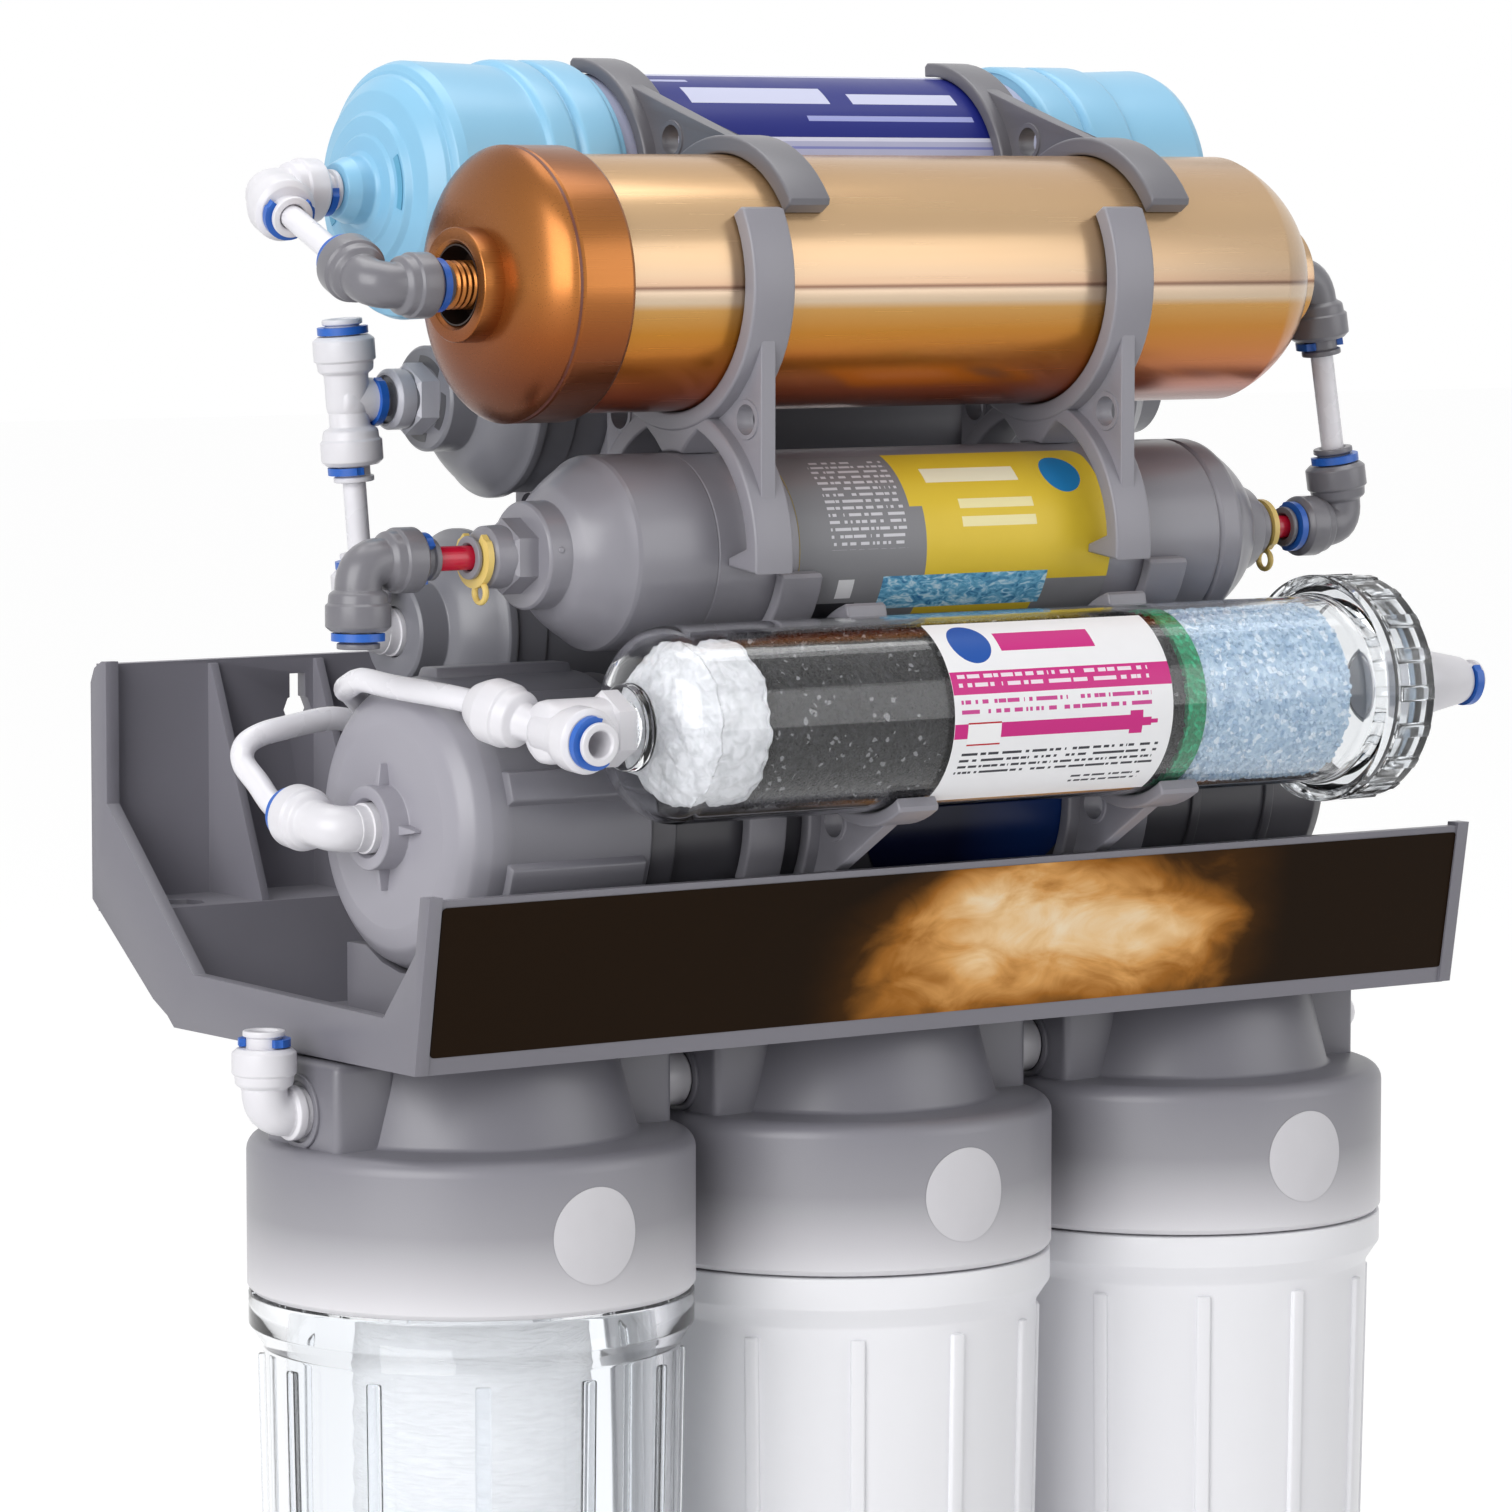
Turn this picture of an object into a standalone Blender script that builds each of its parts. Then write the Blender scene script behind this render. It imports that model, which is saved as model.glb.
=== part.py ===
import math

import bmesh
import bpy

# Reverse osmosis water filter, in metres. +X runs along the row of housings, -Y is the
# front and +Z is up. The origin is on the ground, in the middle of the filter's outline.

# Clearances and cuts
SEAT_GAP = 0.0003
THREAD_GAP = 0.0005
CUT_OVERRUN = 0.002
JOIN_DEPTH = 0.001

# Facets around a turned piece
HOUSING_STEPS = 22
VESSEL_STEPS = 18
INSERT_STEPS = 12
SEAL_SIDES = 5
FITTING_STEPS = 8
CLIP_FACET = 28.0
WEB_FACET = 20.0

# Row of three housings
HOUSING_PITCH = 0.1186
ROW_Y = -0.0072

HEAD_RADIUS = 0.059
HEAD_WALL = 0.0045
HEAD_HEIGHT = 0.0637
SKIRT_HEIGHT = 0.041
SKIRT_ROUND = 0.0045
NECK_TOP_RADIUS = 0.038
NECK_BASE_RADIUS = 0.044
BOSS_REACH = 0.0525
BOSS_WIDTH = 0.035
BOSS_BASE = 0.036
PORT_HEIGHT = 0.050
PORT_DEPTH = 0.012
SEAL_TUBE_RADIUS = 0.0125
SEAL_TUBE_BORE = 0.0095

SUMP_RIM_RADIUS = 0.0587
SUMP_RIM_HEIGHT = 0.0105
SUMP_SHOULDER_RADIUS = 0.0550
SUMP_FOOT_RADIUS = 0.0505
SUMP_FOOT_ROUND = 0.006
SUMP_WALL = 0.0035
SUMP_NECK_HEIGHT = 0.030
SUMP_RIB_COUNT = 12
SUMP_RIB_WIDTH = 0.004
SUMP_RIB_HEIGHT = 0.0016
SUMP_RIB_LENGTH = 0.150
SUMP_SEAL_THICKNESS = 0.0032
SUMP_SEAL_DROP = 0.006

CARTRIDGE_LENGTH = 0.250
CARTRIDGE_RISE = 0.0158
CARTRIDGE_BORE = 0.014
SEDIMENT_RADIUS = 0.0315
CARBON_BLOCK_RADIUS = 0.0305
CARBON_CAP_RADIUS = 0.0345
CARBON_CAP_HEIGHT = 0.010

# Quarter inch push-fit fittings
TUBE_RADIUS = 0.003175
SOCKET_DEPTH = 0.011
COLLET_RADIUS = 0.0055
COLLET_REACH = 0.0045
COLLAR_RADIUS = 0.0084
COLLAR_LENGTH = 0.0105
FITTING_RADIUS = 0.0060
FITTING_HEEL = 0.0045
ARM_LENGTH = 0.022
THREAD_RADIUS = 0.0066
NIPPLE_RADIUS = 0.0068
HEX_RADIUS = 0.0098
SLEEVE_RADIUS = 0.0082

# Bracket
TRAY_LENGTH = 0.3466
TRAY_CENTRE_X = 0.0057
TRAY_WALL = 0.0035
BACK_WALL = 0.0040
LIP_BASE_Y = -0.0485
LIP_LEAN = 0.0075
LIP_HEIGHT = 0.0450
FLOOR_BACK_Y = 0.0735
LEDGE_FRONT_Y = 0.0810
LEDGE_HEIGHT = 0.0310
BACK_Y = 0.1135
BACK_HEIGHT = 0.0960
END_WALL = 0.0040
END_BORDER_LIP = 0.0315
END_BORDER_FLOOR = 0.0137
END_BORDER_BACK = 0.0045
END_CORNER_ROUND = 0.0060
GUSSET_COUNT = 9
GUSSET_CENTRE_X = 0.0032
GUSSET_PITCH = 0.0337
GUSSET_WALL = 0.0025
GUSSET_TOP_WIDTH = 0.0012
CRADLE_WALL = 0.0040
CRADLE_RISE = 0.0167
CRADLE_REACH = 0.030
KEYHOLE_PITCH = 0.220
KEYHOLE_RADIUS = 0.0045
KEYHOLE_SLOT = 0.0050
KEYHOLE_LENGTH = 0.010
KEYHOLE_DROP = 0.016
LEDGE_DISH_RADIUS = 0.0070
LEDGE_DISH_DEPTH = 0.0012

# Membrane housing, lying in the tray
MEMBRANE_Y = -0.0060
MEMBRANE_LEFT_X = -0.1480
MEMBRANE_RIGHT_X = 0.1430
MEMBRANE_RADIUS = 0.0340
MEMBRANE_WALL = 0.0040
MEMBRANE_CAP_RADIUS = 0.0385
MEMBRANE_CAP_LENGTH = 0.0570
MEMBRANE_CAP_WALL = 0.0040
MEMBRANE_CAP_ROUND = 0.0060
MEMBRANE_HUB_RADIUS = 0.0110
MEMBRANE_HUB_HEIGHT = 0.0065
GRIP_COUNT = 10
GRIP_HEIGHT = 0.0022
GRIP_WIDTH = 0.0105
GRIP_LENGTH = 0.0430
HUB_FIN_COUNT = 4
HUB_FIN_HEIGHT = 0.0030
HUB_FIN_LENGTH = 0.0080
HUB_FIN_WIDTH = 0.0030
ELEMENT_RADIUS = 0.0240
ELEMENT_LENGTH = 0.2600

# Clips
CLIP_WIDTH = 0.0130
CLIP_WEB = 0.0045
CLIP_HOLE_RADIUS = 0.0040
CLIP_HOLE_EDGE = 0.0055
CLIP_PAD_ANGLE = 10.0
CLIP_WEB_BITE = 0.0003
COPPER_HOOK_WALL = 0.0048
ALKALINE_HOOK_WALL = 0.0038
MEMBRANE_HOOK_WALL = 0.0040
SMALL_HOOK_WALL = 0.0036
LOOSE_HOOK_GAP = 0.0078
LOOSE_HOOK_FLAT = 22.0
CLIP_LEAST_FLANK = 70.0

# Inline cartridges: radii, X ends of their bodies, and the webs and angles between their axes
COPPER_RADIUS = 0.0333
COPPER_BAND_RADIUS = 0.0355
COPPER_LEFT_X = -0.1430
COPPER_RIGHT_X = 0.1305
COPPER_HUB_RADIUS = 0.0147
COPPER_HUB_WELL = 0.0105
COPPER_HUB_LENGTH = 0.0060
COPPER_WELL_DEPTH = 0.0090
COPPER_BAND_START = 0.0146
COPPER_BAND_LENGTH = 0.0361
COPPER_DOME = 0.0190

ALKALINE_RADIUS = 0.0315
ALKALINE_CAP_RADIUS = 0.0345
ALKALINE_CENTRE_X = 0.0080
ALKALINE_LENGTH = 0.2540
ALKALINE_HUB_HEIGHT = 0.0165
ALKALINE_HUB_RADIUS = 0.0090
ALKALINE_CAP_LENGTH = 0.0560

MINERAL_RADIUS = 0.0254
MINERAL_LEFT_X = -0.1230
MINERAL_LENGTH = 0.2390
MINERAL_HUB_RADIUS = 0.0140
MINERAL_HUB_LENGTH = 0.0070
MINERAL_DOME = 0.0127
MINERAL_SEAM_DEPTH = 0.0010
MINERAL_SEAM_X = 0.0890
MINERAL_SLEEVE_LENGTH = 0.0098

REAR_RADIUS = 0.0254
REAR_RIM_RADIUS = 0.0275
REAR_CAP_RADIUS = 0.0262
REAR_LENGTH = 0.2470
REAR_UPPER_LEFT_X = -0.0900
REAR_LOWER_LEFT_X = -0.1000
REAR_HUB_RADIUS = 0.0144
REAR_HUB_LENGTH = 0.0090
REAR_DOME = 0.0110
REAR_RIM_WIDTH = 0.0030
REAR_CAP_LENGTH = 0.0100
REAR_SLEEVE_LENGTH = 0.0082

CLEAR_RADIUS = 0.0254
CLEAR_WALL = 0.0025
CLEAR_LEFT_X = -0.1140
CLEAR_RIGHT_X = 0.1245
CLEAR_DOME = 0.0120
CLEAR_PORT_LENGTH = 0.0030
CLEAR_PORT_RADIUS = 0.0110
CLEAR_FLANGE_RADIUS = 0.0310
CLEAR_FLANGE_X = 0.1120
CLEAR_FLANGE_WIDTH = 0.0040
CLEAR_NECK_RADIUS = 0.0275
CLEAR_CAP_RADIUS = 0.0305
CLEAR_CAP_WALL = 0.0022
CLEAR_CAP_END = 0.0030
CLEAR_CAP_RIB_COUNT = 12
CLEAR_SEAL_THICKNESS = 0.0024
CLEAR_OUTLET_LENGTH = 0.0395
CLEAR_OUTLET_TAPER = 0.0130
WOOL_END_X = -0.0800
CARBON_END_X = 0.0460
SPONGE_LENGTH = 0.0092
MINERAL_BED_END_X = 0.1060

FRONT_CLIP_WEB = 0.00875
FRONT_CLIP_ANGLE = 155.5
RISER_CLIP_WEB = 0.0153
RISER_CLIP_ANGLE = 109.55
STACK_CLIP_WEB = 0.0107
TOP_CLIP_WEB = 0.0086
TOP_CLIP_ANGLE = 19.1
REAR_NEST_GAP = 0.0011
REAR_NEST_ANGLE = -63.0
REAR_CLIP_WEB = 0.0122

FRONT_CLIP_X = (-0.0350, 0.0520)
RISER_CLIP_X = (-0.0540, 0.0680)
STACK_CLIP_X = (-0.0700, 0.0480)
TOP_CLIP_X = (-0.0540, 0.0655)
REAR_CLIP_X = (-0.0400, 0.0840)
BACK_ARM_GUSSET_BAYS = (3, 5)

# Corners of the fittings and the middle of the shut-off valve
PORT_STANDOFF = 0.0107
INLET_TRAY_GAP = 0.0040
COPPER_ELBOW_X = -0.1674
ALKALINE_ELBOW_X = -0.1578
COPPER_RIGHT_ELBOW_X = 0.1419
MINERAL_RIGHT_ELBOW_X = 0.1534
MINERAL_LEFT_ELBOW_X = -0.1720
TEE_X = -0.1138
REAR_LOWER_ELBOW_X = -0.1085
CLEAR_TEE_X = -0.1380
MEMBRANE_ELBOW_X = -0.1640
MEMBRANE_ELBOW_LENGTH = 0.0250
MEMBRANE_ELBOW_BACK = (0.0, 1.0, 0.12)
CLEAR_TEE_FRONT = (0.0, -1.0, -0.08)
CLEAR_TEE_BACK = (-0.26, 0.93, 0.22)
CLEAR_TEE_BACK_LENGTH = 0.0260
CLEAR_TEE_NECK_RADIUS = 0.0043
CLEAR_TEE_NECK_LENGTH = 0.0110
CLEAR_TEE_COLLAR_LENGTH = 0.0110
VALVE_X = -0.0620
VALVE_Y = 0.0500
VALVE_HEIGHT = 0.0300
VALVE_RADIUS = 0.0150
VALVE_LENGTH = 0.0260
VALVE_PORT_SPREAD = 0.0190
VALVE_PORT_LENGTH = 0.0270

# Bent tubes, as points from the middle of the row at the height of the heads' rims
MEMBRANE_TUBE_BEND = (
    (-0.1640, 0.0320, 0.1325), (-0.1645, 0.0380, 0.1370), (-0.1638, 0.0392, 0.1410),
    (-0.1600, 0.0395, 0.1437), (-0.1520, 0.0400, 0.1455), (-0.1335, 0.0430, 0.1472),
    (-0.1220, 0.0480, 0.1430), (-0.1110, 0.0540, 0.1300), (-0.1040, 0.0585, 0.1130),
    (-0.0990, 0.0595, 0.1020),
)
SUPPLY_TUBE_BEND = (
    (0.1830, 0.0450, 0.0520), (0.1855, 0.0590, 0.0600), (0.1860, 0.0660, 0.0760),
    (0.1840, 0.0680, 0.0940), (0.1760, 0.0685, 0.1080), (0.1620, 0.0690, 0.1150),
    (0.1400, 0.0690, 0.1165), (0.0800, 0.0680, 0.1160), (0.0300, 0.0660, 0.1140),
    (0.0000, 0.0630, 0.1060), (-0.0120, 0.0605, 0.1000),
)
POST_TUBE_BEND = (
    (-0.1520, -0.0160, 0.1600), (-0.1545, -0.0050, 0.1612), (-0.1525, 0.0050, 0.1590),
    (-0.1460, 0.0170, 0.1570), (-0.1380, 0.0270, 0.1550), (-0.1280, 0.0350, 0.1480),
    (-0.1180, 0.0390, 0.1320), (-0.1070, 0.0405, 0.1120), (-0.0995, 0.0405, 0.1010),
)


def polar(centre, distance, degrees):
    """The point at a distance and angle from a centre in the Y-Z plane."""
    angle = math.radians(degrees)
    return (centre[0] + distance * math.cos(angle), centre[1] + distance * math.sin(angle))


# Heights and axes that follow from the sizes above
CARTRIDGE_Z = SUMP_WALL + SEAT_GAP
CARTRIDGE_TOP_Z = CARTRIDGE_Z + CARTRIDGE_LENGTH
SUMP_DROP = CARTRIDGE_TOP_Z - CARTRIDGE_RISE
SKIRT_Z = SUMP_DROP
BRACKET_Z = SKIRT_Z + HEAD_HEIGHT + SEAT_GAP
FLOOR_Z = BRACKET_Z + TRAY_WALL
MEMBRANE_AXIS = (ROW_Y + MEMBRANE_Y, FLOOR_Z + CRADLE_RISE + SEAT_GAP + MEMBRANE_CAP_RADIUS)
CLEAR_AXIS = polar(MEMBRANE_AXIS, MEMBRANE_RADIUS + CLEAR_RADIUS + FRONT_CLIP_WEB, FRONT_CLIP_ANGLE)
MINERAL_AXIS = polar(MEMBRANE_AXIS, MEMBRANE_RADIUS + MINERAL_RADIUS + RISER_CLIP_WEB, RISER_CLIP_ANGLE)
COPPER_AXIS = polar(MINERAL_AXIS, MINERAL_RADIUS + COPPER_RADIUS + STACK_CLIP_WEB, 90.0)
ALKALINE_AXIS = polar(COPPER_AXIS, COPPER_RADIUS + ALKALINE_RADIUS + TOP_CLIP_WEB, TOP_CLIP_ANGLE)
REAR_UPPER_AXIS = polar(ALKALINE_AXIS, ALKALINE_CAP_RADIUS + REAR_RIM_RADIUS + REAR_NEST_GAP, REAR_NEST_ANGLE)
REAR_LOWER_AXIS = polar(REAR_UPPER_AXIS, 2 * REAR_RADIUS + REAR_CLIP_WEB, -90.0)
HOUSING_XS = (-HOUSING_PITCH, 0.0, HOUSING_PITCH)
HOUSING_NAMES = ("left", "middle", "right")


def clear_scene():
    for item in list(bpy.data.objects):
        bpy.data.objects.remove(item, do_unlink=True)


def make_collection(name):
    collection = bpy.data.collections.new(name)
    bpy.context.scene.collection.children.link(collection)
    return collection


clear_scene()
PARTS = make_collection("reverse_osmosis_water_filter")
CUTTERS = make_collection("cutters")


def material(name, colour, roughness, metallic=0.0, transmission=0.0):
    made = bpy.data.materials.new(name)
    made.use_nodes = True
    shader = made.node_tree.nodes["Principled BSDF"]
    shader.inputs["Base Color"].default_value = (*colour, 1.0)
    shader.inputs["Roughness"].default_value = roughness
    shader.inputs["Metallic"].default_value = metallic
    shader.inputs["Transmission Weight"].default_value = transmission
    return made


def place(item, collection=PARTS, cutter=False):
    collection.objects.link(item)
    if cutter:
        item.hide_render = True
        item.display_type = "WIRE"
    return item


def mesh_object(name, mesh, finish, cutter=False):
    item = bpy.data.objects.new(name, mesh)
    if finish:
        mesh.materials.append(finish)
    return place(item, CUTTERS if cutter else PARTS, cutter)


def turned(name, outline, steps, finish, ring=False, cutter=False):
    """A solid turned about local Z from (radius, height) points, outer side top to bottom."""
    mesh = bpy.data.meshes.new(name)
    count = len(outline)
    edges = [(index, index + 1) for index in range(count - 1)]
    if ring:
        edges.append((count - 1, 0))
    mesh.from_pydata([(radius, 0.0, height) for radius, height in outline], edges, [])
    item = mesh_object(name, mesh, finish, cutter)
    spin = item.modifiers.new("Spin", "SCREW")
    spin.steps = steps
    spin.render_steps = steps
    spin.use_merge_vertices = True
    spin.merge_threshold = 0.00001
    spin.use_smooth_shade = True
    return item


def turned_along_x(name, outline, axis, steps, finish, ring=False, cutter=False):
    """A solid turned about an axis along +X from (x, radius) points, listed from +X to -X."""
    points = [(radius, along) for along, radius in outline]
    item = turned(name, points, steps, finish, ring, cutter)
    item.rotation_euler = (0.0, math.pi / 2, 0.0)
    item.location = (0.0, axis[0], axis[1])
    return item


def plate(name, outlines, thickness, centre_x, finish, cutter=False):
    """A flat piece across X: closed (y, z) outlines, the first solid and the rest holes."""
    curve = bpy.data.curves.new(name, "CURVE")
    curve.dimensions = "2D"
    curve.fill_mode = "BOTH"
    curve.extrude = thickness / 2
    for outline in outlines:
        spline = curve.splines.new("POLY")
        spline.points.add(len(outline) - 1)
        for point, (across, up) in zip(spline.points, outline):
            point.co = (across, up, 0.0, 1.0)
        spline.use_cyclic_u = True
    guide = bpy.data.objects.new(name + "_outline", curve)
    PARTS.objects.link(guide)
    guide.rotation_euler = (math.pi / 2, 0.0, math.pi / 2)
    guide.location = (centre_x, 0.0, 0.0)
    return solid_from_curve(name, guide, finish, cutter)


def solid_from_curve(name, guide, finish, cutter=False):
    """Turns a filled curve into a closed mesh object and removes the curve."""
    bpy.context.view_layer.update()
    graph = bpy.context.evaluated_depsgraph_get()
    mesh = bpy.data.meshes.new_from_object(guide.evaluated_get(graph))
    work = bmesh.new()
    work.from_mesh(mesh)
    bmesh.ops.remove_doubles(work, verts=work.verts, dist=0.000001)
    bmesh.ops.recalc_face_normals(work, faces=work.faces)
    work.to_mesh(mesh)
    work.free()
    mesh.name = name
    matrix = guide.matrix_world.copy()
    curve = guide.data
    bpy.data.objects.remove(guide, do_unlink=True)
    bpy.data.curves.remove(curve)
    item = mesh_object(name, mesh, finish, cutter)
    item.matrix_world = matrix
    return item


def cylinder(name, radius, length, centre, direction, sides=FITTING_STEPS, finish=None, cutter=True):
    """A round bar, or a prism with few sides, centred on a point along a direction."""
    mesh = bpy.data.meshes.new(name)
    work = bmesh.new()
    bmesh.ops.create_cone(
        work, cap_ends=True, segments=sides, radius1=radius, radius2=radius, depth=length
    )
    work.to_mesh(mesh)
    work.free()
    item = mesh_object(name, mesh, finish, cutter)
    aim(item, direction)
    item.location = centre
    return item


def box(name, low, high, finish=None, cutter=True):
    mesh = bpy.data.meshes.new(name)
    work = bmesh.new()
    bmesh.ops.create_cube(work, size=1.0)
    size = [top - bottom for bottom, top in zip(low, high)]
    bmesh.ops.scale(work, verts=work.verts, vec=size)
    work.to_mesh(mesh)
    work.free()
    item = mesh_object(name, mesh, finish, cutter)
    item.location = [(bottom + top) / 2 for bottom, top in zip(low, high)]
    return item


def aim(item, direction):
    """Turns an object so that its local Z points along a direction."""
    length = math.sqrt(sum(value * value for value in direction))
    lean = math.acos(direction[2] / length)
    heading = math.atan2(direction[1], direction[0])
    item.rotation_euler = (0.0, lean, heading)


def boolean(target, operand, operation):
    step = target.modifiers.new(operation.title(), "BOOLEAN")
    step.operation = operation
    step.solver = "EXACT"
    step.object = operand


def join(target, *operands):
    for operand in operands:
        boolean(target, operand, "UNION")


def cut(target, *operands):
    for operand in operands:
        boolean(target, operand, "DIFFERENCE")


def arc(centre, radius, start, end, facet, outside=False):
    """Points along an arc in the Y-Z plane, no facet over so many degrees.

    With outside set, the middles of the facets are on the arc and the points outside it.
    """
    count = math.ceil(abs(end - start) / facet)
    turn = (end - start) / count
    if outside:
        radius /= math.cos(math.radians(turn / 2))
    return [polar(centre, radius, start + turn * index) for index in range(count + 1)]


def toward(start, end):
    return tuple(b - a for a, b in zip(start, end))


def along(start, direction, distance):
    length = math.sqrt(sum(value * value for value in direction))
    return tuple(a + value * distance / length for a, value in zip(start, direction))


def within(radius):
    """The largest radius that clears the facets of a vessel's bore by a seat gap."""
    return radius * math.cos(math.pi / VESSEL_STEPS) - SEAT_GAP


# Finishes
GREY = material("grey_plastic", (0.27, 0.27, 0.285), 0.45)
DARK_GREY = material("dark_grey_plastic", (0.20, 0.20, 0.215), 0.5)
WHITE = material("white_plastic", (0.85, 0.86, 0.88), 0.35)
CLEAR = material("clear_plastic", (0.85, 0.92, 0.97), 0.08, transmission=0.9)
COPPER = material("copper_mirror", (0.80, 0.45, 0.16), 0.15, metallic=1.0)
SKY_BLUE = material("sky_blue_plastic", (0.36, 0.68, 0.84), 0.4)
RED = material("red_tube", (0.72, 0.02, 0.06), 0.3)
RUBBER = material("black_rubber", (0.02, 0.02, 0.02), 0.6)
FOAM = material("white_wool", (0.9, 0.9, 0.9), 0.9)
CARBON = material("black_carbon", (0.02, 0.02, 0.02), 0.7)
GREEN = material("green_sponge", (0.05, 0.5, 0.28), 0.8)
PALE_BLUE = material("pale_mineral", (0.55, 0.7, 0.85), 0.8)


# Heads and sumps
HEAD_BORE = HEAD_RADIUS - HEAD_WALL
SUMP_NECK_RADIUS = HEAD_BORE * math.cos(math.pi / HOUSING_STEPS) - SEAT_GAP
CAVITY_TOP = HEAD_HEIGHT - HEAD_WALL


def head_outline():
    """Skirt, rounded shoulder and neck outside; thread bore, seat and seal tube inside."""
    shoulder = SKIRT_HEIGHT - SKIRT_ROUND
    bore_end = SUMP_NECK_HEIGHT + SKIRT_ROUND
    seal_end = CARTRIDGE_TOP_Z + SEAT_GAP - SKIRT_Z
    return [
        (0.0, HEAD_HEIGHT),
        (NECK_TOP_RADIUS, HEAD_HEIGHT),
        (NECK_BASE_RADIUS, SKIRT_HEIGHT + JOIN_DEPTH),
        (HEAD_RADIUS - SKIRT_ROUND, SKIRT_HEIGHT),
        (HEAD_RADIUS, shoulder),
        (HEAD_RADIUS, 0.0),
        (HEAD_BORE, 0.0),
        (HEAD_BORE, bore_end),
        (NECK_BASE_RADIUS - HEAD_WALL, bore_end),
        (NECK_TOP_RADIUS - HEAD_WALL, CAVITY_TOP),
        (SEAL_TUBE_RADIUS, CAVITY_TOP),
        (SEAL_TUBE_RADIUS, seal_end),
        (SEAL_TUBE_BORE, seal_end),
        (SEAL_TUBE_BORE, PORT_HEIGHT),
        (0.0, PORT_HEIGHT),
    ]


def make_head(name, centre_x):
    """A turned head with a square port boss on each side and a round port in each boss."""
    head = turned(name, head_outline(), HOUSING_STEPS, GREY)
    head.location = (centre_x, ROW_Y, SKIRT_Z)
    inner = NECK_TOP_RADIUS - HEAD_WALL / 2
    for side in (-1, 1):
        ends = sorted((centre_x + side * inner, centre_x + side * BOSS_REACH))
        low = (ends[0], ROW_Y - BOSS_WIDTH / 2, SKIRT_Z + BOSS_BASE)
        high = (ends[1], ROW_Y + BOSS_WIDTH / 2, SKIRT_Z + HEAD_HEIGHT)
        join(head, box(f"{name}_boss", low, high))
    for side in (-1, 1):
        face = centre_x + side * BOSS_REACH
        port_z = SKIRT_Z + PORT_HEIGHT
        port_radius = THREAD_RADIUS + SEAT_GAP
        cut(head, cylinder(f"{name}_port", port_radius, 2 * PORT_DEPTH, (face, ROW_Y, port_z), (1, 0, 0)))
    return head


def sump_outline():
    """Neck with its seal groove, rim, tapering wall and rounded foot, then the inside."""
    neck_top = SUMP_NECK_HEIGHT
    groove_top = neck_top - SUMP_SEAL_DROP
    groove_bottom = groove_top - SUMP_SEAL_THICKNESS - 2 * SEAT_GAP
    groove_radius = SUMP_NECK_RADIUS - SUMP_SEAL_THICKNESS
    rim_top = -2 * SEAT_GAP
    rim_bottom = rim_top - SUMP_RIM_HEIGHT
    foot = -SUMP_DROP
    inner_neck = groove_radius - SUMP_WALL / 2
    return [
        (SUMP_NECK_RADIUS, neck_top),
        (SUMP_NECK_RADIUS, groove_top),
        (groove_radius, groove_top),
        (groove_radius, groove_bottom),
        (SUMP_NECK_RADIUS, groove_bottom),
        (SUMP_NECK_RADIUS, rim_top),
        (SUMP_RIM_RADIUS, rim_top),
        (SUMP_RIM_RADIUS, rim_bottom),
        (SUMP_SHOULDER_RADIUS, rim_bottom - SUMP_WALL),
        (SUMP_FOOT_RADIUS, foot + SUMP_FOOT_ROUND),
        (SUMP_FOOT_RADIUS - SUMP_FOOT_ROUND, foot),
        (0.0, foot),
        (0.0, foot + SUMP_WALL),
        (SUMP_FOOT_RADIUS - SUMP_FOOT_ROUND, foot + SUMP_WALL),
        (inner_neck, rim_bottom - SUMP_WALL),
        (inner_neck, neck_top),
    ]


def make_sump(name, centre_x, finish):
    """A turned sump with upright grip ribs on its tapering wall."""
    outline = sump_outline()
    sump = turned(name, outline, HOUSING_STEPS, finish, ring=True)
    sump.location = (centre_x, ROW_Y, SKIRT_Z)
    top = -SUMP_RIM_HEIGHT - SUMP_WALL * 2
    slope = (SUMP_SHOULDER_RADIUS - SUMP_FOOT_RADIUS) / (SUMP_DROP - SUMP_RIM_HEIGHT)
    middle = top - SUMP_RIB_LENGTH / 2
    wall_radius = SUMP_SHOULDER_RADIUS + slope * middle
    mesh = bpy.data.meshes.new(f"{name}_ribs")
    work = bmesh.new()
    for index in range(SUMP_RIB_COUNT):
        angle = 2 * math.pi * index / SUMP_RIB_COUNT
        made = bmesh.ops.create_cube(work, size=1.0)["verts"]
        depth = SUMP_RIB_HEIGHT + SUMP_WALL / 2
        bmesh.ops.scale(work, verts=made, vec=(depth, SUMP_RIB_WIDTH, SUMP_RIB_LENGTH))
        for vert in made:
            reach = wall_radius + SUMP_RIB_HEIGHT - depth / 2 + slope * vert.co.z
            across = vert.co.x + reach
            side = vert.co.y
            vert.co.x = across * math.cos(angle) - side * math.sin(angle)
            vert.co.y = across * math.sin(angle) + side * math.cos(angle)
            vert.co.z += middle
    work.to_mesh(mesh)
    work.free()
    ribs = mesh_object(f"{name}_ribs", mesh, None, cutter=True)
    ribs.location = (centre_x, ROW_Y, SKIRT_Z)
    join(sump, ribs)
    return sump


def make_sump_seal(name, centre_x):
    """A rubber ring in the groove of the sump's neck, one seat gap from its walls."""
    tube_radius = SUMP_SEAL_THICKNESS / 2
    radius = SUMP_NECK_RADIUS - tube_radius
    height = SUMP_NECK_HEIGHT - SUMP_SEAL_DROP - SEAT_GAP - tube_radius
    outline = []
    for index in range(SEAL_SIDES):
        angle = math.pi / 2 - 2 * math.pi * index / SEAL_SIDES
        across = (tube_radius - SEAT_GAP) * math.cos(angle)
        outline.append((radius + across, tube_radius * math.sin(angle)))
    seal = turned(name, outline, HOUSING_STEPS, RUBBER, ring=True)
    seal.location = (centre_x, ROW_Y, SKIRT_Z + height)
    return seal


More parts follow.
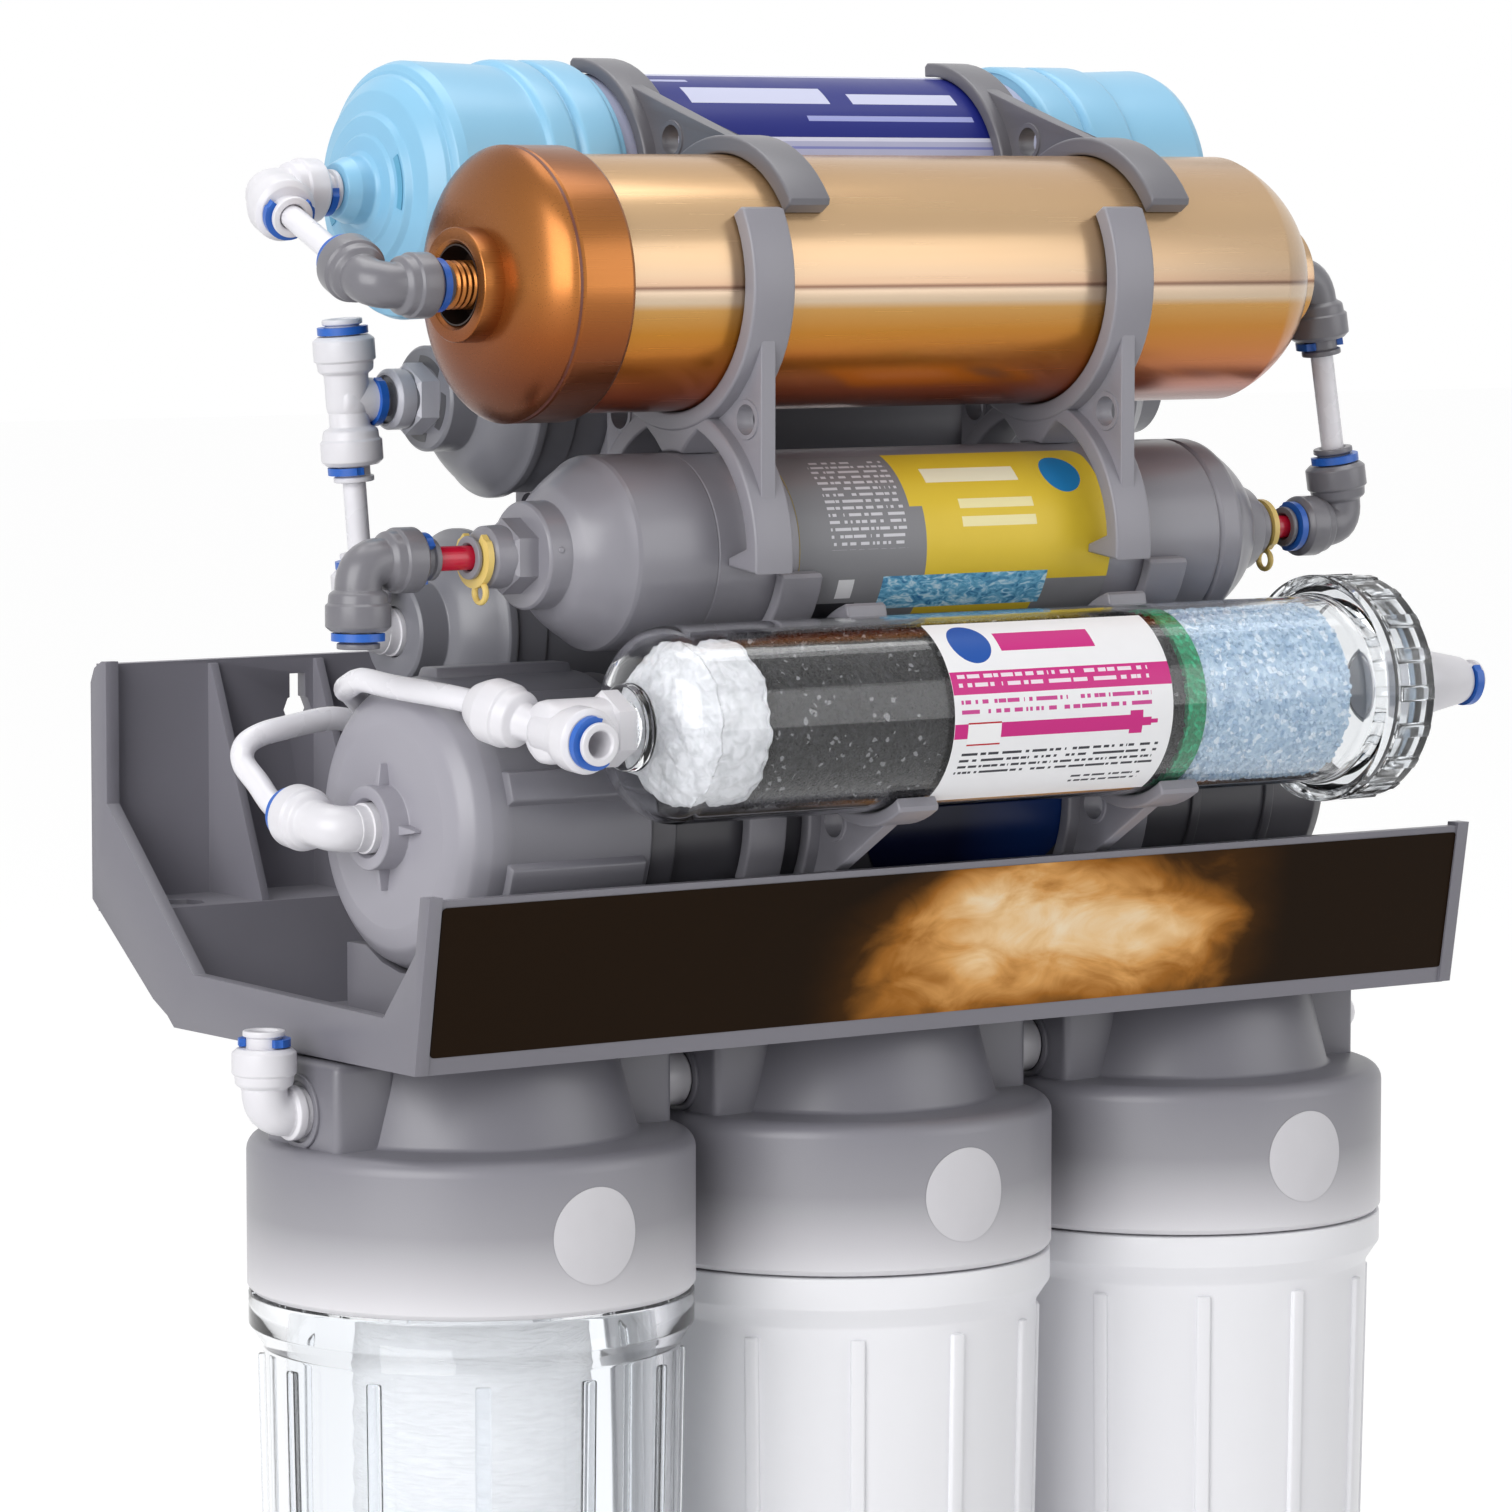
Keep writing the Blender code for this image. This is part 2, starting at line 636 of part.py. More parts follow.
def make_cartridge(name, centre_x, radius, finish, cap_radius=0.0):
    """A hollow round cartridge, with wider end caps where it has them."""
    if cap_radius:
        outline = [
            (cap_radius, CARTRIDGE_LENGTH),
            (cap_radius, CARTRIDGE_LENGTH - CARBON_CAP_HEIGHT),
            (radius, CARTRIDGE_LENGTH - CARBON_CAP_HEIGHT),
            (radius, CARBON_CAP_HEIGHT),
            (cap_radius, CARBON_CAP_HEIGHT),
            (cap_radius, 0.0),
        ]
    else:
        outline = [(radius, CARTRIDGE_LENGTH), (radius, 0.0)]
    outline += [(CARTRIDGE_BORE, 0.0), (CARTRIDGE_BORE, CARTRIDGE_LENGTH)]
    item = turned(name, outline, INSERT_STEPS, finish, ring=True)
    item.location = (centre_x, ROW_Y, CARTRIDGE_Z)
    return item


def make_housings():
    sump_finishes = (CLEAR, WHITE, WHITE)
    for name, centre_x, sump_finish in zip(HOUSING_NAMES, HOUSING_XS, sump_finishes):
        make_head(f"head_{name}", centre_x)
        make_sump(f"sump_{name}", centre_x, sump_finish)
        make_sump_seal(f"sump_seal_{name}", centre_x)
    make_cartridge("sediment_cartridge", HOUSING_XS[0], SEDIMENT_RADIUS, FOAM)
    make_cartridge("carbon_block_cartridge", HOUSING_XS[1], CARBON_BLOCK_RADIUS, CARBON, CARBON_CAP_RADIUS)
    make_cartridge("fine_sediment_cartridge", HOUSING_XS[2], SEDIMENT_RADIUS, FOAM)
    for name, start in zip(("left", "right"), HOUSING_XS):
        middle = (start + HOUSING_PITCH / 2, ROW_Y, SKIRT_Z + PORT_HEIGHT)
        length = HOUSING_PITCH - 2 * (BOSS_REACH - PORT_DEPTH) - 2 * SEAT_GAP
        cylinder(f"nipple_{name}", THREAD_RADIUS, length, middle, (1, 0, 0), finish=WHITE, cutter=False)


# Push-fit fittings
SOCKET_RADIUS = (TUBE_RADIUS + SEAT_GAP) / math.cos(math.pi / FITTING_STEPS)


def collar_outline(length, body_radius=FITTING_RADIUS):
    """An arm with a tube socket, a collet and a collar, from its mouth to the corner."""
    collar_top = length - COLLET_REACH
    collar_bottom = collar_top - COLLAR_LENGTH
    return [
        (0.0, length - SOCKET_DEPTH),
        (SOCKET_RADIUS, length - SOCKET_DEPTH),
        (SOCKET_RADIUS, length),
        (COLLET_RADIUS, length),
        (COLLET_RADIUS, collar_top),
        (COLLAR_RADIUS, collar_top),
        (COLLAR_RADIUS, collar_bottom),
        (body_radius, collar_bottom),
        (body_radius, -FITTING_HEEL),
        (0.0, -FITTING_HEEL),
    ]


def stem_outline(length, stem_length, stem_radius, body_radius=FITTING_RADIUS):
    """A plain arm that ends in a stem."""
    return [
        (0.0, length),
        (stem_radius, length),
        (stem_radius, length - stem_length),
        (body_radius, length - stem_length),
        (body_radius, -FITTING_HEEL),
        (0.0, -FITTING_HEEL),
    ]


def union_outline():
    """A straight union on a thin neck, from its mouth to the corner it is plugged into."""
    length = CLEAR_TEE_BACK_LENGTH
    collar_top = length - COLLET_REACH
    collar_bottom = collar_top - CLEAR_TEE_COLLAR_LENGTH
    return [
        (0.0, length - SOCKET_DEPTH),
        (SOCKET_RADIUS, length - SOCKET_DEPTH),
        (SOCKET_RADIUS, length),
        (COLLET_RADIUS, length),
        (COLLAR_RADIUS, collar_top),
        (COLLAR_RADIUS, collar_bottom),
        (CLEAR_TEE_NECK_RADIUS, collar_bottom),
        (CLEAR_TEE_NECK_RADIUS, collar_bottom - CLEAR_TEE_NECK_LENGTH),
        (0.0, collar_bottom - CLEAR_TEE_NECK_LENGTH),
    ]


def fitting(name, corner, arms, finish):
    """A fitting joined from arms, each a (direction, outline) turned about its own axis."""
    body = None
    for direction, outline in arms:
        is_body = body is None
        label = name if is_body else f"{name}_arm"
        arm = turned(label, outline, FITTING_STEPS, finish if is_body else None, cutter=not is_body)
        aim(arm, direction)
        arm.location = corner
        if is_body:
            body = arm
        else:
            join(body, arm)
    return body


def tube(name, points, finish, smooth=False):
    """A round tube along points; a bent one follows a smooth curve through them."""
    curve = bpy.data.curves.new(name, "CURVE")
    curve.dimensions = "3D"
    curve.bevel_depth = TUBE_RADIUS
    curve.bevel_resolution = 2
    curve.use_fill_caps = True
    route = smooth_route(points) if smooth else points
    spline = curve.splines.new("POLY")
    spline.points.add(len(route) - 1)
    for knot, place_at in zip(spline.points, route):
        knot.co = (*place_at, 1.0)
    guide = bpy.data.objects.new(name + "_route", curve)
    PARTS.objects.link(guide)
    return solid_from_curve(name, guide, finish)


def smooth_route(points, parts=2):
    """A curve through all points, with straight first and last stretches."""
    route = [points[0]]
    for index in range(1, len(points) - 2):
        before, start, end, after = points[index - 1:index + 3]
        for part in range(parts):
            share = part / parts
            route.append(tuple(
                spline_value(share, *values) for values in zip(before, start, end, after)
            ))
    return route + [points[-2], points[-1]]


def spline_value(share, before, start, end, after):
    """One coordinate of a Catmull-Rom curve between start and end."""
    leave = (end - before) / 2
    arrive = (after - start) / 2
    square = share * share
    cube = square * share
    return (
        (2 * cube - 3 * square + 1) * start
        + (cube - 2 * square + share) * leave
        + (3 * square - 2 * cube) * end
        + (cube - square) * arrive
    )


def mouth(corner, direction, length=ARM_LENGTH):
    """Where a tube's end stands in the socket of an arm."""
    return along(corner, direction, length - SOCKET_DEPTH + SEAT_GAP)


# Bracket
TRAY_LEFT_X = TRAY_CENTRE_X - TRAY_LENGTH / 2
TRAY_RIGHT_X = TRAY_CENTRE_X + TRAY_LENGTH / 2


def tray_point(across, up):
    return (ROW_Y + across, BRACKET_Z + up)


def tray_section():
    """The tray's wall seen from its end: lip, floor, riser, ledge and back plate."""
    lip_top = LIP_BASE_Y - LIP_LEAN
    floor_back = FLOOR_BACK_Y - TRAY_WALL
    under_ledge = LEDGE_HEIGHT - TRAY_WALL
    points = [
        (lip_top, LIP_HEIGHT),
        (LIP_BASE_Y, 0.0),
        (FLOOR_BACK_Y, 0.0),
        (LEDGE_FRONT_Y + TRAY_WALL, under_ledge),
        (BACK_Y, under_ledge),
        (BACK_Y, BACK_HEIGHT - JOIN_DEPTH),
        (BACK_Y - BACK_WALL, BACK_HEIGHT - JOIN_DEPTH),
        (BACK_Y - BACK_WALL, LEDGE_HEIGHT),
        (LEDGE_FRONT_Y, LEDGE_HEIGHT),
        (floor_back, TRAY_WALL),
        (LIP_BASE_Y + TRAY_WALL, TRAY_WALL),
        (lip_top + TRAY_WALL, LIP_HEIGHT),
    ]
    return [tray_point(*point) for point in points]


def end_border():
    """The border plate at each end, a little wider than the tray's wall all the way round."""
    lip_top = LIP_BASE_Y - LIP_LEAN
    lean_share = END_BORDER_LIP / LIP_HEIGHT
    back = BACK_Y - JOIN_DEPTH / 4
    back_inner = BACK_Y - BACK_WALL - END_BORDER_BACK
    knee_height = LEDGE_HEIGHT + LEDGE_HEIGHT - END_BORDER_BACK
    diagonal_foot_share = 0.9
    outer = [
        (lip_top - JOIN_DEPTH, LIP_HEIGHT + JOIN_DEPTH),
        (LIP_BASE_Y - JOIN_DEPTH, JOIN_DEPTH / 4),
        (FLOOR_BACK_Y - TRAY_WALL, JOIN_DEPTH / 4),
        (FLOOR_BACK_Y, TRAY_WALL * diagonal_foot_share),
        (LEDGE_FRONT_Y, END_BORDER_FLOOR / 2),
        (back, LEDGE_HEIGHT),
        (back, BACK_HEIGHT - END_CORNER_ROUND),
        (back - END_CORNER_ROUND / 3, BACK_HEIGHT - END_CORNER_ROUND / 3),
        (back - END_CORNER_ROUND, BACK_HEIGHT),
    ]
    inner = [
        (back_inner, BACK_HEIGHT),
        (back_inner, knee_height),
        (FLOOR_BACK_Y - END_BORDER_FLOOR, END_BORDER_FLOOR + TRAY_WALL / 2),
        (LIP_BASE_Y + END_BORDER_FLOOR, END_BORDER_FLOOR),
        (LIP_BASE_Y - LIP_LEAN * lean_share + TRAY_WALL, END_BORDER_LIP),
        (lip_top + TRAY_WALL, LIP_HEIGHT + JOIN_DEPTH),
    ]
    return [tray_point(*point) for point in outer + inner]


def gusset_outline():
    """A triangle between the ledge and the back plate."""
    front = LEDGE_FRONT_Y + JOIN_DEPTH
    back = BACK_Y - BACK_WALL / 2
    top = BACK_HEIGHT - 2 * JOIN_DEPTH
    top_front = BACK_Y - BACK_WALL - GUSSET_TOP_WIDTH
    points = [
        (front, LEDGE_HEIGHT - TRAY_WALL / 2),
        (back, LEDGE_HEIGHT - TRAY_WALL / 2),
        (back, top),
        (top_front, top),
        (front, LEDGE_HEIGHT + JOIN_DEPTH),
    ]
    return [tray_point(*point) for point in points]


def cradle_outline(radius):
    """An upright rib on the floor with a hollow for a round piece to lie in."""
    seat = radius + SEAT_GAP
    floor = BRACKET_Z + TRAY_WALL / 2
    centre_y, centre_z = MEMBRANE_AXIS
    rise_angle = 32.0
    left = centre_y - CRADLE_REACH
    right = centre_y + CRADLE_REACH
    hollow = arc(MEMBRANE_AXIS, seat, 270.0 - rise_angle, 270.0 + rise_angle, CLIP_FACET / 2, True)
    top = hollow[0][1]
    return [(right, floor), (right, top)] + hollow[::-1] + [(left, top), (left, floor)]


def back_arm_outlines():
    """An arm moulded on the back plate, ending in an open hook round the lower rear cartridge."""
    inner = REAR_RADIUS + SEAT_GAP
    bite = hook_bite(inner, 0.0)
    hook = hook_outline(REAR_LOWER_AXIS, inner, 0.0, SMALL_HOOK_WALL, -25.0, 100.0, 80.0)
    wall = ROW_Y + BACK_Y - BACK_WALL / 2
    low = BRACKET_Z + BACK_HEIGHT - 2 * REAR_RADIUS
    high = BRACKET_Z + BACK_HEIGHT - 3 * JOIN_DEPTH
    web = [(wall, low), (wall, high)] + arc(REAR_LOWER_AXIS, bite, -12.0, -72.0, WEB_FACET, True)
    return hook, web


def keyhole(name, centre_x):
    """A round hole for a screw head with a narrow slot above it."""
    hole_z = BRACKET_Z + BACK_HEIGHT - KEYHOLE_DROP
    wall_y = ROW_Y + BACK_Y - BACK_WALL / 2
    depth = BACK_WALL + 2 * CUT_OVERRUN
    hole = cylinder(f"{name}_hole", KEYHOLE_RADIUS, depth, (centre_x, wall_y, hole_z), (0, 1, 0))
    half = KEYHOLE_SLOT / 2
    slot = box(
        f"{name}_slot",
        (centre_x - half, wall_y - depth / 2, hole_z),
        (centre_x + half, wall_y + depth / 2, hole_z + KEYHOLE_LENGTH),
    )
    return hole, slot


def gusset_x(index):
    return GUSSET_CENTRE_X + (index - (GUSSET_COUNT - 1) / 2) * GUSSET_PITCH


def make_bracket():
    """The tray with its end borders, gussets, cradles, rear arms and keyholes."""
    inner_length = TRAY_LENGTH - END_WALL
    tray = plate("bracket", [tray_section()], inner_length, TRAY_CENTRE_X, GREY)
    for side in (TRAY_LEFT_X + END_WALL / 2, TRAY_RIGHT_X - END_WALL / 2):
        join(tray, plate("bracket_border", [end_border()], END_WALL, side, None, cutter=True))
    for index in range(GUSSET_COUNT):
        rib = plate("bracket_gusset", [gusset_outline()], GUSSET_WALL, gusset_x(index), None, cutter=True)
        join(tray, rib)
    cap_cradle_x = MEMBRANE_LEFT_X + MEMBRANE_CAP_ROUND + SEAT_GAP + CRADLE_WALL / 2
    end_cradle_x = MEMBRANE_RIGHT_X - MEMBRANE_CAP_ROUND - 2 * CRADLE_WALL
    for centre_x, radius in ((cap_cradle_x, MEMBRANE_CAP_RADIUS), (end_cradle_x, MEMBRANE_RADIUS)):
        rib = plate("bracket_cradle", [cradle_outline(radius)], CRADLE_WALL, centre_x, None, cutter=True)
        join(tray, rib)
    hook, web = back_arm_outlines()
    for bay in BACK_ARM_GUSSET_BAYS:
        centre_x = gusset_x(bay) + GUSSET_PITCH / 2
        join(tray, plate("bracket_arm_web", [web], CLIP_WEB, centre_x, None, cutter=True))
        join(tray, plate("bracket_arm_hook", [hook], CLIP_WIDTH, centre_x, None, cutter=True))
    for side in (-1, 1):
        cut(tray, *keyhole("bracket_keyhole", TRAY_CENTRE_X + side * KEYHOLE_PITCH / 2))
        dish_x = TRAY_CENTRE_X + side * (TRAY_LENGTH / 2 - 2 * END_WALL - LEDGE_DISH_RADIUS)
        dish_y = ROW_Y + LEDGE_FRONT_Y + LEDGE_DISH_RADIUS + END_WALL
        dish_at = (dish_x, dish_y, BRACKET_Z + LEDGE_HEIGHT)
        cut(tray, cylinder("bracket_dish", LEDGE_DISH_RADIUS, 2 * LEDGE_DISH_DEPTH, dish_at, (0, 0, 1)))
    return tray


# Clips
def hook_outline(centre, pad_radius, loose, wall, facing, low_span, high_span):
    """An open hook round an axis: a loose one touches only with its tips and its middle."""
    low = facing - low_span
    high = facing + high_span
    arm_radius = pad_radius + loose
    outer_radius = arm_radius + wall
    if not loose:
        outer = arc(centre, outer_radius, low, high, CLIP_FACET)
        return outer + arc(centre, pad_radius, high, low, CLIP_FACET, True)
    tip, bead = CLIP_PAD_ANGLE, CLIP_PAD_ANGLE / 2
    outer = arc(centre, outer_radius, low, facing - LOOSE_HOOK_FLAT, CLIP_FACET)
    outer += arc(centre, outer_radius, facing + LOOSE_HOOK_FLAT, high, CLIP_FACET)
    inner = [
        (pad_radius, high), (pad_radius, high - bead), (arm_radius, high - tip),
        (arm_radius, facing + high_span / 2),
        (arm_radius, facing + 2 * tip), (pad_radius, facing + tip),
        (pad_radius, facing), (pad_radius, facing - tip), (arm_radius, facing - 2 * tip),
        (arm_radius, facing - low_span / 2),
        (arm_radius, low + tip), (pad_radius, low + bead), (pad_radius, low),
    ]
    return outer + [polar(centre, radius, angle) for radius, angle in inner]


def hook_bite(pad_radius, loose):
    """How far out a web must start to stay within the facets of a hook's wall."""
    inner = pad_radius + loose if loose else pad_radius / math.cos(math.radians(CLIP_FACET / 2))
    return inner + CLIP_WEB_BITE


def double_clip(name, centre_x, first, second, flanks=(90.0, 90.0)):
    """Two open hooks back to back on a thin web with a round hole in each wide end.

    Each side is (axis, radius, stand-off, wall, span below, span above), with the spans
    in degrees to either side of the line to the other axis. The flanks are how far round
    the first hook the web reaches below and above that line.
    """
    sides = []
    for (axis, radius, loose, wall, low_span, high_span), other in ((first, second[0]), (second, first[0])):
        facing = math.degrees(math.atan2(other[1] - axis[1], other[0] - axis[0]))
        sides.append((axis, radius + SEAT_GAP, loose, wall, facing, low_span, high_span))
    clip = plate(name, [web_outline(sides, flanks)] + web_holes(sides, flanks), CLIP_WEB, centre_x, GREY)
    for side, width in zip(sides, (CLIP_WIDTH, CLIP_WIDTH - JOIN_DEPTH)):
        join(clip, plate(f"{name}_hook", [hook_outline(*side)], width, centre_x, None, cutter=True))
    return clip


def web_outline(sides, flanks):
    """The web between two hooks: straight flanks, and a hollow for each round piece."""
    points = []
    for side, (below, above) in zip(sides, (flanks, flanks[::-1])):
        axis, pad_radius, loose, wall, facing, low_span, high_span = side
        bite = hook_bite(pad_radius, loose)
        low = facing - min(low_span, below)
        high = facing + min(high_span, above)
        points += arc(axis, bite, low, high, WEB_FACET, True)
    return points


def web_holes(sides, flanks):
    """A round hole in each wide end of the web, halfway between the hooks."""
    first, second = sides
    reaches = [pad_radius + loose + wall for axis, pad_radius, loose, wall, *spans in sides]
    across = min(reaches) - CLIP_HOLE_RADIUS - CLIP_HOLE_EDGE
    depths = [math.sqrt(reach ** 2 - across ** 2) for reach in reaches]
    span = math.dist(first[0], second[0])
    centre = polar(first[0], (span + depths[0] - depths[1]) / 2, first[4])
    holes = []
    for turn, flank in zip((-90.0, 90.0), flanks):
        if flank > CLIP_LEAST_FLANK:
            spot = polar(centre, across, first[4] + turn)
            holes.append(arc(spot, CLIP_HOLE_RADIUS, 0.0, 315.0, 45.0))
    return holes


def make_clips():
    """Two double clips for each pair of neighbouring round pieces."""
    copper = (COPPER_AXIS, COPPER_RADIUS, 0.0, COPPER_HOOK_WALL)
    alkaline = (ALKALINE_AXIS, ALKALINE_RADIUS, 0.0, ALKALINE_HOOK_WALL)
    mineral_loose = (MINERAL_AXIS, MINERAL_RADIUS, LOOSE_HOOK_GAP, COPPER_HOOK_WALL)
    mineral = (MINERAL_AXIS, MINERAL_RADIUS, 0.0, SMALL_HOOK_WALL)
    membrane = (MEMBRANE_AXIS, MEMBRANE_RADIUS, 0.0, MEMBRANE_HOOK_WALL)
    clear = (CLEAR_AXIS, CLEAR_RADIUS, 0.0, SMALL_HOOK_WALL)
    upper = (REAR_UPPER_AXIS, REAR_RADIUS, 0.0, SMALL_HOOK_WALL)
    lower = (REAR_LOWER_AXIS, REAR_RADIUS, 0.0, SMALL_HOOK_WALL)
    square = (90.0, 90.0)
    pairs = (
        ("top_clip", TOP_CLIP_X, (*copper, 95.0, 128.0), (*alkaline, 112.0, 84.0), square),
        ("stack_clip", STACK_CLIP_X, (*copper, 122.0, 100.0), (*mineral_loose, 97.0, 97.0), square),
        ("front_clip", FRONT_CLIP_X, (*clear, 101.0, 101.0), (*membrane, 95.0, 95.0), (90.0, 74.0)),
        ("riser_clip", RISER_CLIP_X, (*mineral, 98.0, 98.0), (*membrane, 95.0, 98.0), (38.0, 90.0)),
        ("rear_clip", REAR_CLIP_X, (*upper, 98.0, 98.0), (*lower, 98.0, 80.0), square),
    )
    for name, centres, first, second, flanks in pairs:
        for side, centre_x in zip(("left", "right"), centres):
            double_clip(f"{name}_{side}", centre_x, first, second, flanks)


# Membrane housing
MEMBRANE_NECK_RADIUS = MEMBRANE_CAP_RADIUS - MEMBRANE_CAP_WALL - THREAD_GAP


def make_membrane():
    """Housing, screw cap with its grips and hub, and the element inside."""
    make_membrane_housing()
    make_membrane_cap()
    bore = MEMBRANE_NECK_RADIUS - MEMBRANE_WALL
    left = MEMBRANE_LEFT_X + MEMBRANE_CAP_WALL + 2 * SEAT_GAP
    right = left + ELEMENT_LENGTH
    brine_ring = COLLAR_LENGTH / 2
    outline = [
        (right, TUBE_RADIUS), (right, ELEMENT_RADIUS), (left + 2 * brine_ring, ELEMENT_RADIUS),
        (left + 2 * brine_ring, within(bore)), (left + brine_ring, within(bore)),
        (left + brine_ring, ELEMENT_RADIUS), (left, ELEMENT_RADIUS), (left, TUBE_RADIUS),
    ]
    turned_along_x("membrane_element", outline, MEMBRANE_AXIS, INSERT_STEPS, WHITE, ring=True)


def make_membrane_housing():
    bore = MEMBRANE_NECK_RADIUS - MEMBRANE_WALL
    right = MEMBRANE_RIGHT_X
    open_end = MEMBRANE_LEFT_X + MEMBRANE_CAP_WALL + SEAT_GAP
    cap_end = MEMBRANE_LEFT_X + MEMBRANE_CAP_LENGTH + SEAT_GAP
    flange = MEMBRANE_CAP_RADIUS - MEMBRANE_WALL / 3
    outline = [
        (right, 0.0),
        (right, MEMBRANE_RADIUS - MEMBRANE_CAP_ROUND),
        (right - MEMBRANE_CAP_ROUND / 3, MEMBRANE_RADIUS - MEMBRANE_CAP_ROUND / 3),
        (right - MEMBRANE_CAP_ROUND, MEMBRANE_RADIUS),
        (cap_end + 2 * MEMBRANE_WALL, MEMBRANE_RADIUS),
        (cap_end + 2 * MEMBRANE_WALL, flange),
        (cap_end, flange),
        (cap_end, MEMBRANE_NECK_RADIUS),
        (open_end, MEMBRANE_NECK_RADIUS),
        (open_end, bore),
        (right - MEMBRANE_WALL, bore),
        (right - MEMBRANE_WALL, 0.0),
    ]
    housing = turned_along_x("membrane_housing", outline, MEMBRANE_AXIS, VESSEL_STEPS, GREY)
    port_x = right + COLLAR_RADIUS + JOIN_DEPTH
    axis_y, axis_z = MEMBRANE_AXIS
    for height in (-1, 1):
        corner = (port_x, axis_y + MEMBRANE_RADIUS / 4, axis_z + height * MEMBRANE_RADIUS / 3)
        back = turned("membrane_port", collar_outline(ARM_LENGTH), FITTING_STEPS, None, cutter=True)
        aim(back, (0, 1, 0))
        back.location = corner
        root_x = (right - MEMBRANE_WALL / 2 + port_x) / 2
        root_length = port_x - right + MEMBRANE_WALL / 2
        root_radius = FITTING_RADIUS - JOIN_DEPTH
        root = cylinder("membrane_port_root", root_radius, root_length, (root_x, *corner[1:]), (1, 0, 0))
        join(housing, root, back)
    return housing


def make_membrane_cap():
    left = MEMBRANE_LEFT_X
    right = left + MEMBRANE_CAP_LENGTH
    face_radius = MEMBRANE_CAP_RADIUS - MEMBRANE_CAP_ROUND * 2 / 3
    bore = MEMBRANE_NECK_RADIUS + THREAD_GAP
    hub = left - MEMBRANE_HUB_HEIGHT
    socket = THREAD_RADIUS + SEAT_GAP
    outline = [
        (left + MEMBRANE_CAP_WALL, 0.0),
        (left + MEMBRANE_CAP_WALL, bore),
        (right, bore),
        (right, MEMBRANE_CAP_RADIUS),
        (left + MEMBRANE_CAP_ROUND, MEMBRANE_CAP_RADIUS),
        (left + MEMBRANE_CAP_ROUND / 4, MEMBRANE_CAP_RADIUS - MEMBRANE_CAP_ROUND / 4),
        (left, face_radius),
        (left, MEMBRANE_HUB_RADIUS),
        (hub, MEMBRANE_HUB_RADIUS),
        (hub, socket),
        (left + MEMBRANE_CAP_WALL / 3, socket),
        (left + MEMBRANE_CAP_WALL / 3, 0.0),
    ]
    cap = turned_along_x("membrane_cap", outline, MEMBRANE_AXIS, VESSEL_STEPS, GREY)
    mesh = bpy.data.meshes.new("membrane_cap_grips")
    work = bmesh.new()
    depth = GRIP_HEIGHT + MEMBRANE_CAP_WALL / 2
    start = left + MEMBRANE_CAP_ROUND * 2
    for index in range(GRIP_COUNT):
        angle = 2 * math.pi * (index + 0.5) / GRIP_COUNT
        add_radial_bar(
            work, angle, MEMBRANE_CAP_RADIUS + GRIP_HEIGHT - depth / 2,
            (GRIP_LENGTH, depth, GRIP_WIDTH), start + GRIP_LENGTH / 2, 0.75,
        )
    for index in range(HUB_FIN_COUNT):
        angle = 2 * math.pi * index / HUB_FIN_COUNT
        fin_depth = HUB_FIN_HEIGHT + MEMBRANE_CAP_WALL / 4
        add_radial_bar(
            work, angle, MEMBRANE_HUB_RADIUS + HUB_FIN_LENGTH / 2 - JOIN_DEPTH,
            (fin_depth, HUB_FIN_LENGTH, HUB_FIN_WIDTH), left - HUB_FIN_HEIGHT + fin_depth / 2, 0.25,
        )
    work.to_mesh(mesh)
    work.free()
    grips = mesh_object("membrane_cap_grips", mesh, None, cutter=True)
    grips.location = (0.0, MEMBRANE_AXIS[0], MEMBRANE_AXIS[1])
    join(cap, grips)
    return cap


def add_radial_bar(work, angle, radius, size, centre_x, tip_share):
    """A block of (length, depth, width) set on a circle round X, narrower on its outside."""
    made = bmesh.ops.create_cube(work, size=1.0)["verts"]
    bmesh.ops.scale(work, verts=made, vec=size)
    for vert in made:
        outward = radius + vert.co.y
        side = vert.co.z * (tip_share if vert.co.y > 0 else 1.0)
        vert.co.y = outward * math.cos(angle) - side * math.sin(angle)
        vert.co.z = outward * math.sin(angle) + side * math.cos(angle)
        vert.co.x += centre_x


# Inline cartridges
def hex_nut(name, axis, start_x, length):
    """A six-sided nut along X, for joining to a turned piece."""
    centre = (start_x + length / 2, axis[0], axis[1])
    return cylinder(name, HEX_RADIUS, length, centre, (1, 0, 0), sides=6)


def make_copper():
    """A polished vessel with a wide band, domed ends and a threaded well in each hub."""
    left, right = COPPER_LEFT_X, COPPER_RIGHT_X
    dome_x = left + COPPER_BAND_START
    band_end = dome_x + COPPER_BAND_LENGTH
    rise = COPPER_BAND_RADIUS - COPPER_HUB_RADIUS
    left_span = dome_x - left - COPPER_HUB_LENGTH
    right_dome = right - COPPER_HUB_LENGTH - COPPER_DOME
    right_rise = COPPER_RADIUS - COPPER_HUB_RADIUS
    steps = 4
    outline = [(right - COPPER_WELL_DEPTH, 0.0), (right - COPPER_WELL_DEPTH, COPPER_HUB_WELL)]
    outline += [(right, COPPER_HUB_WELL), (right, COPPER_HUB_RADIUS)]
    for index in range(steps + 1):
        angle = math.pi / 2 * index / steps
        outline.append((
            right_dome + COPPER_DOME * math.cos(angle), COPPER_HUB_RADIUS + right_rise * math.sin(angle)
        ))
    outline += [(band_end, COPPER_RADIUS), (band_end, COPPER_BAND_RADIUS)]
    for index in range(steps + 1):
        angle = math.pi / 2 * (1 - index / steps)
        outline.append((dome_x - left_span * math.cos(angle), COPPER_HUB_RADIUS + rise * math.sin(angle)))
    outline += [(left, COPPER_HUB_RADIUS), (left, COPPER_HUB_WELL)]
    outline.append((left + COPPER_WELL_DEPTH, COPPER_HUB_WELL))
    tip = COPPER_ELBOW_X + ARM_LENGTH - SOCKET_DEPTH + SEAT_GAP
    outline += [(left + COPPER_WELL_DEPTH, TUBE_RADIUS), (tip, TUBE_RADIUS), (tip, 0.0)]
    turned_along_x("copper_cartridge", outline, COPPER_AXIS, VESSEL_STEPS, COPPER)


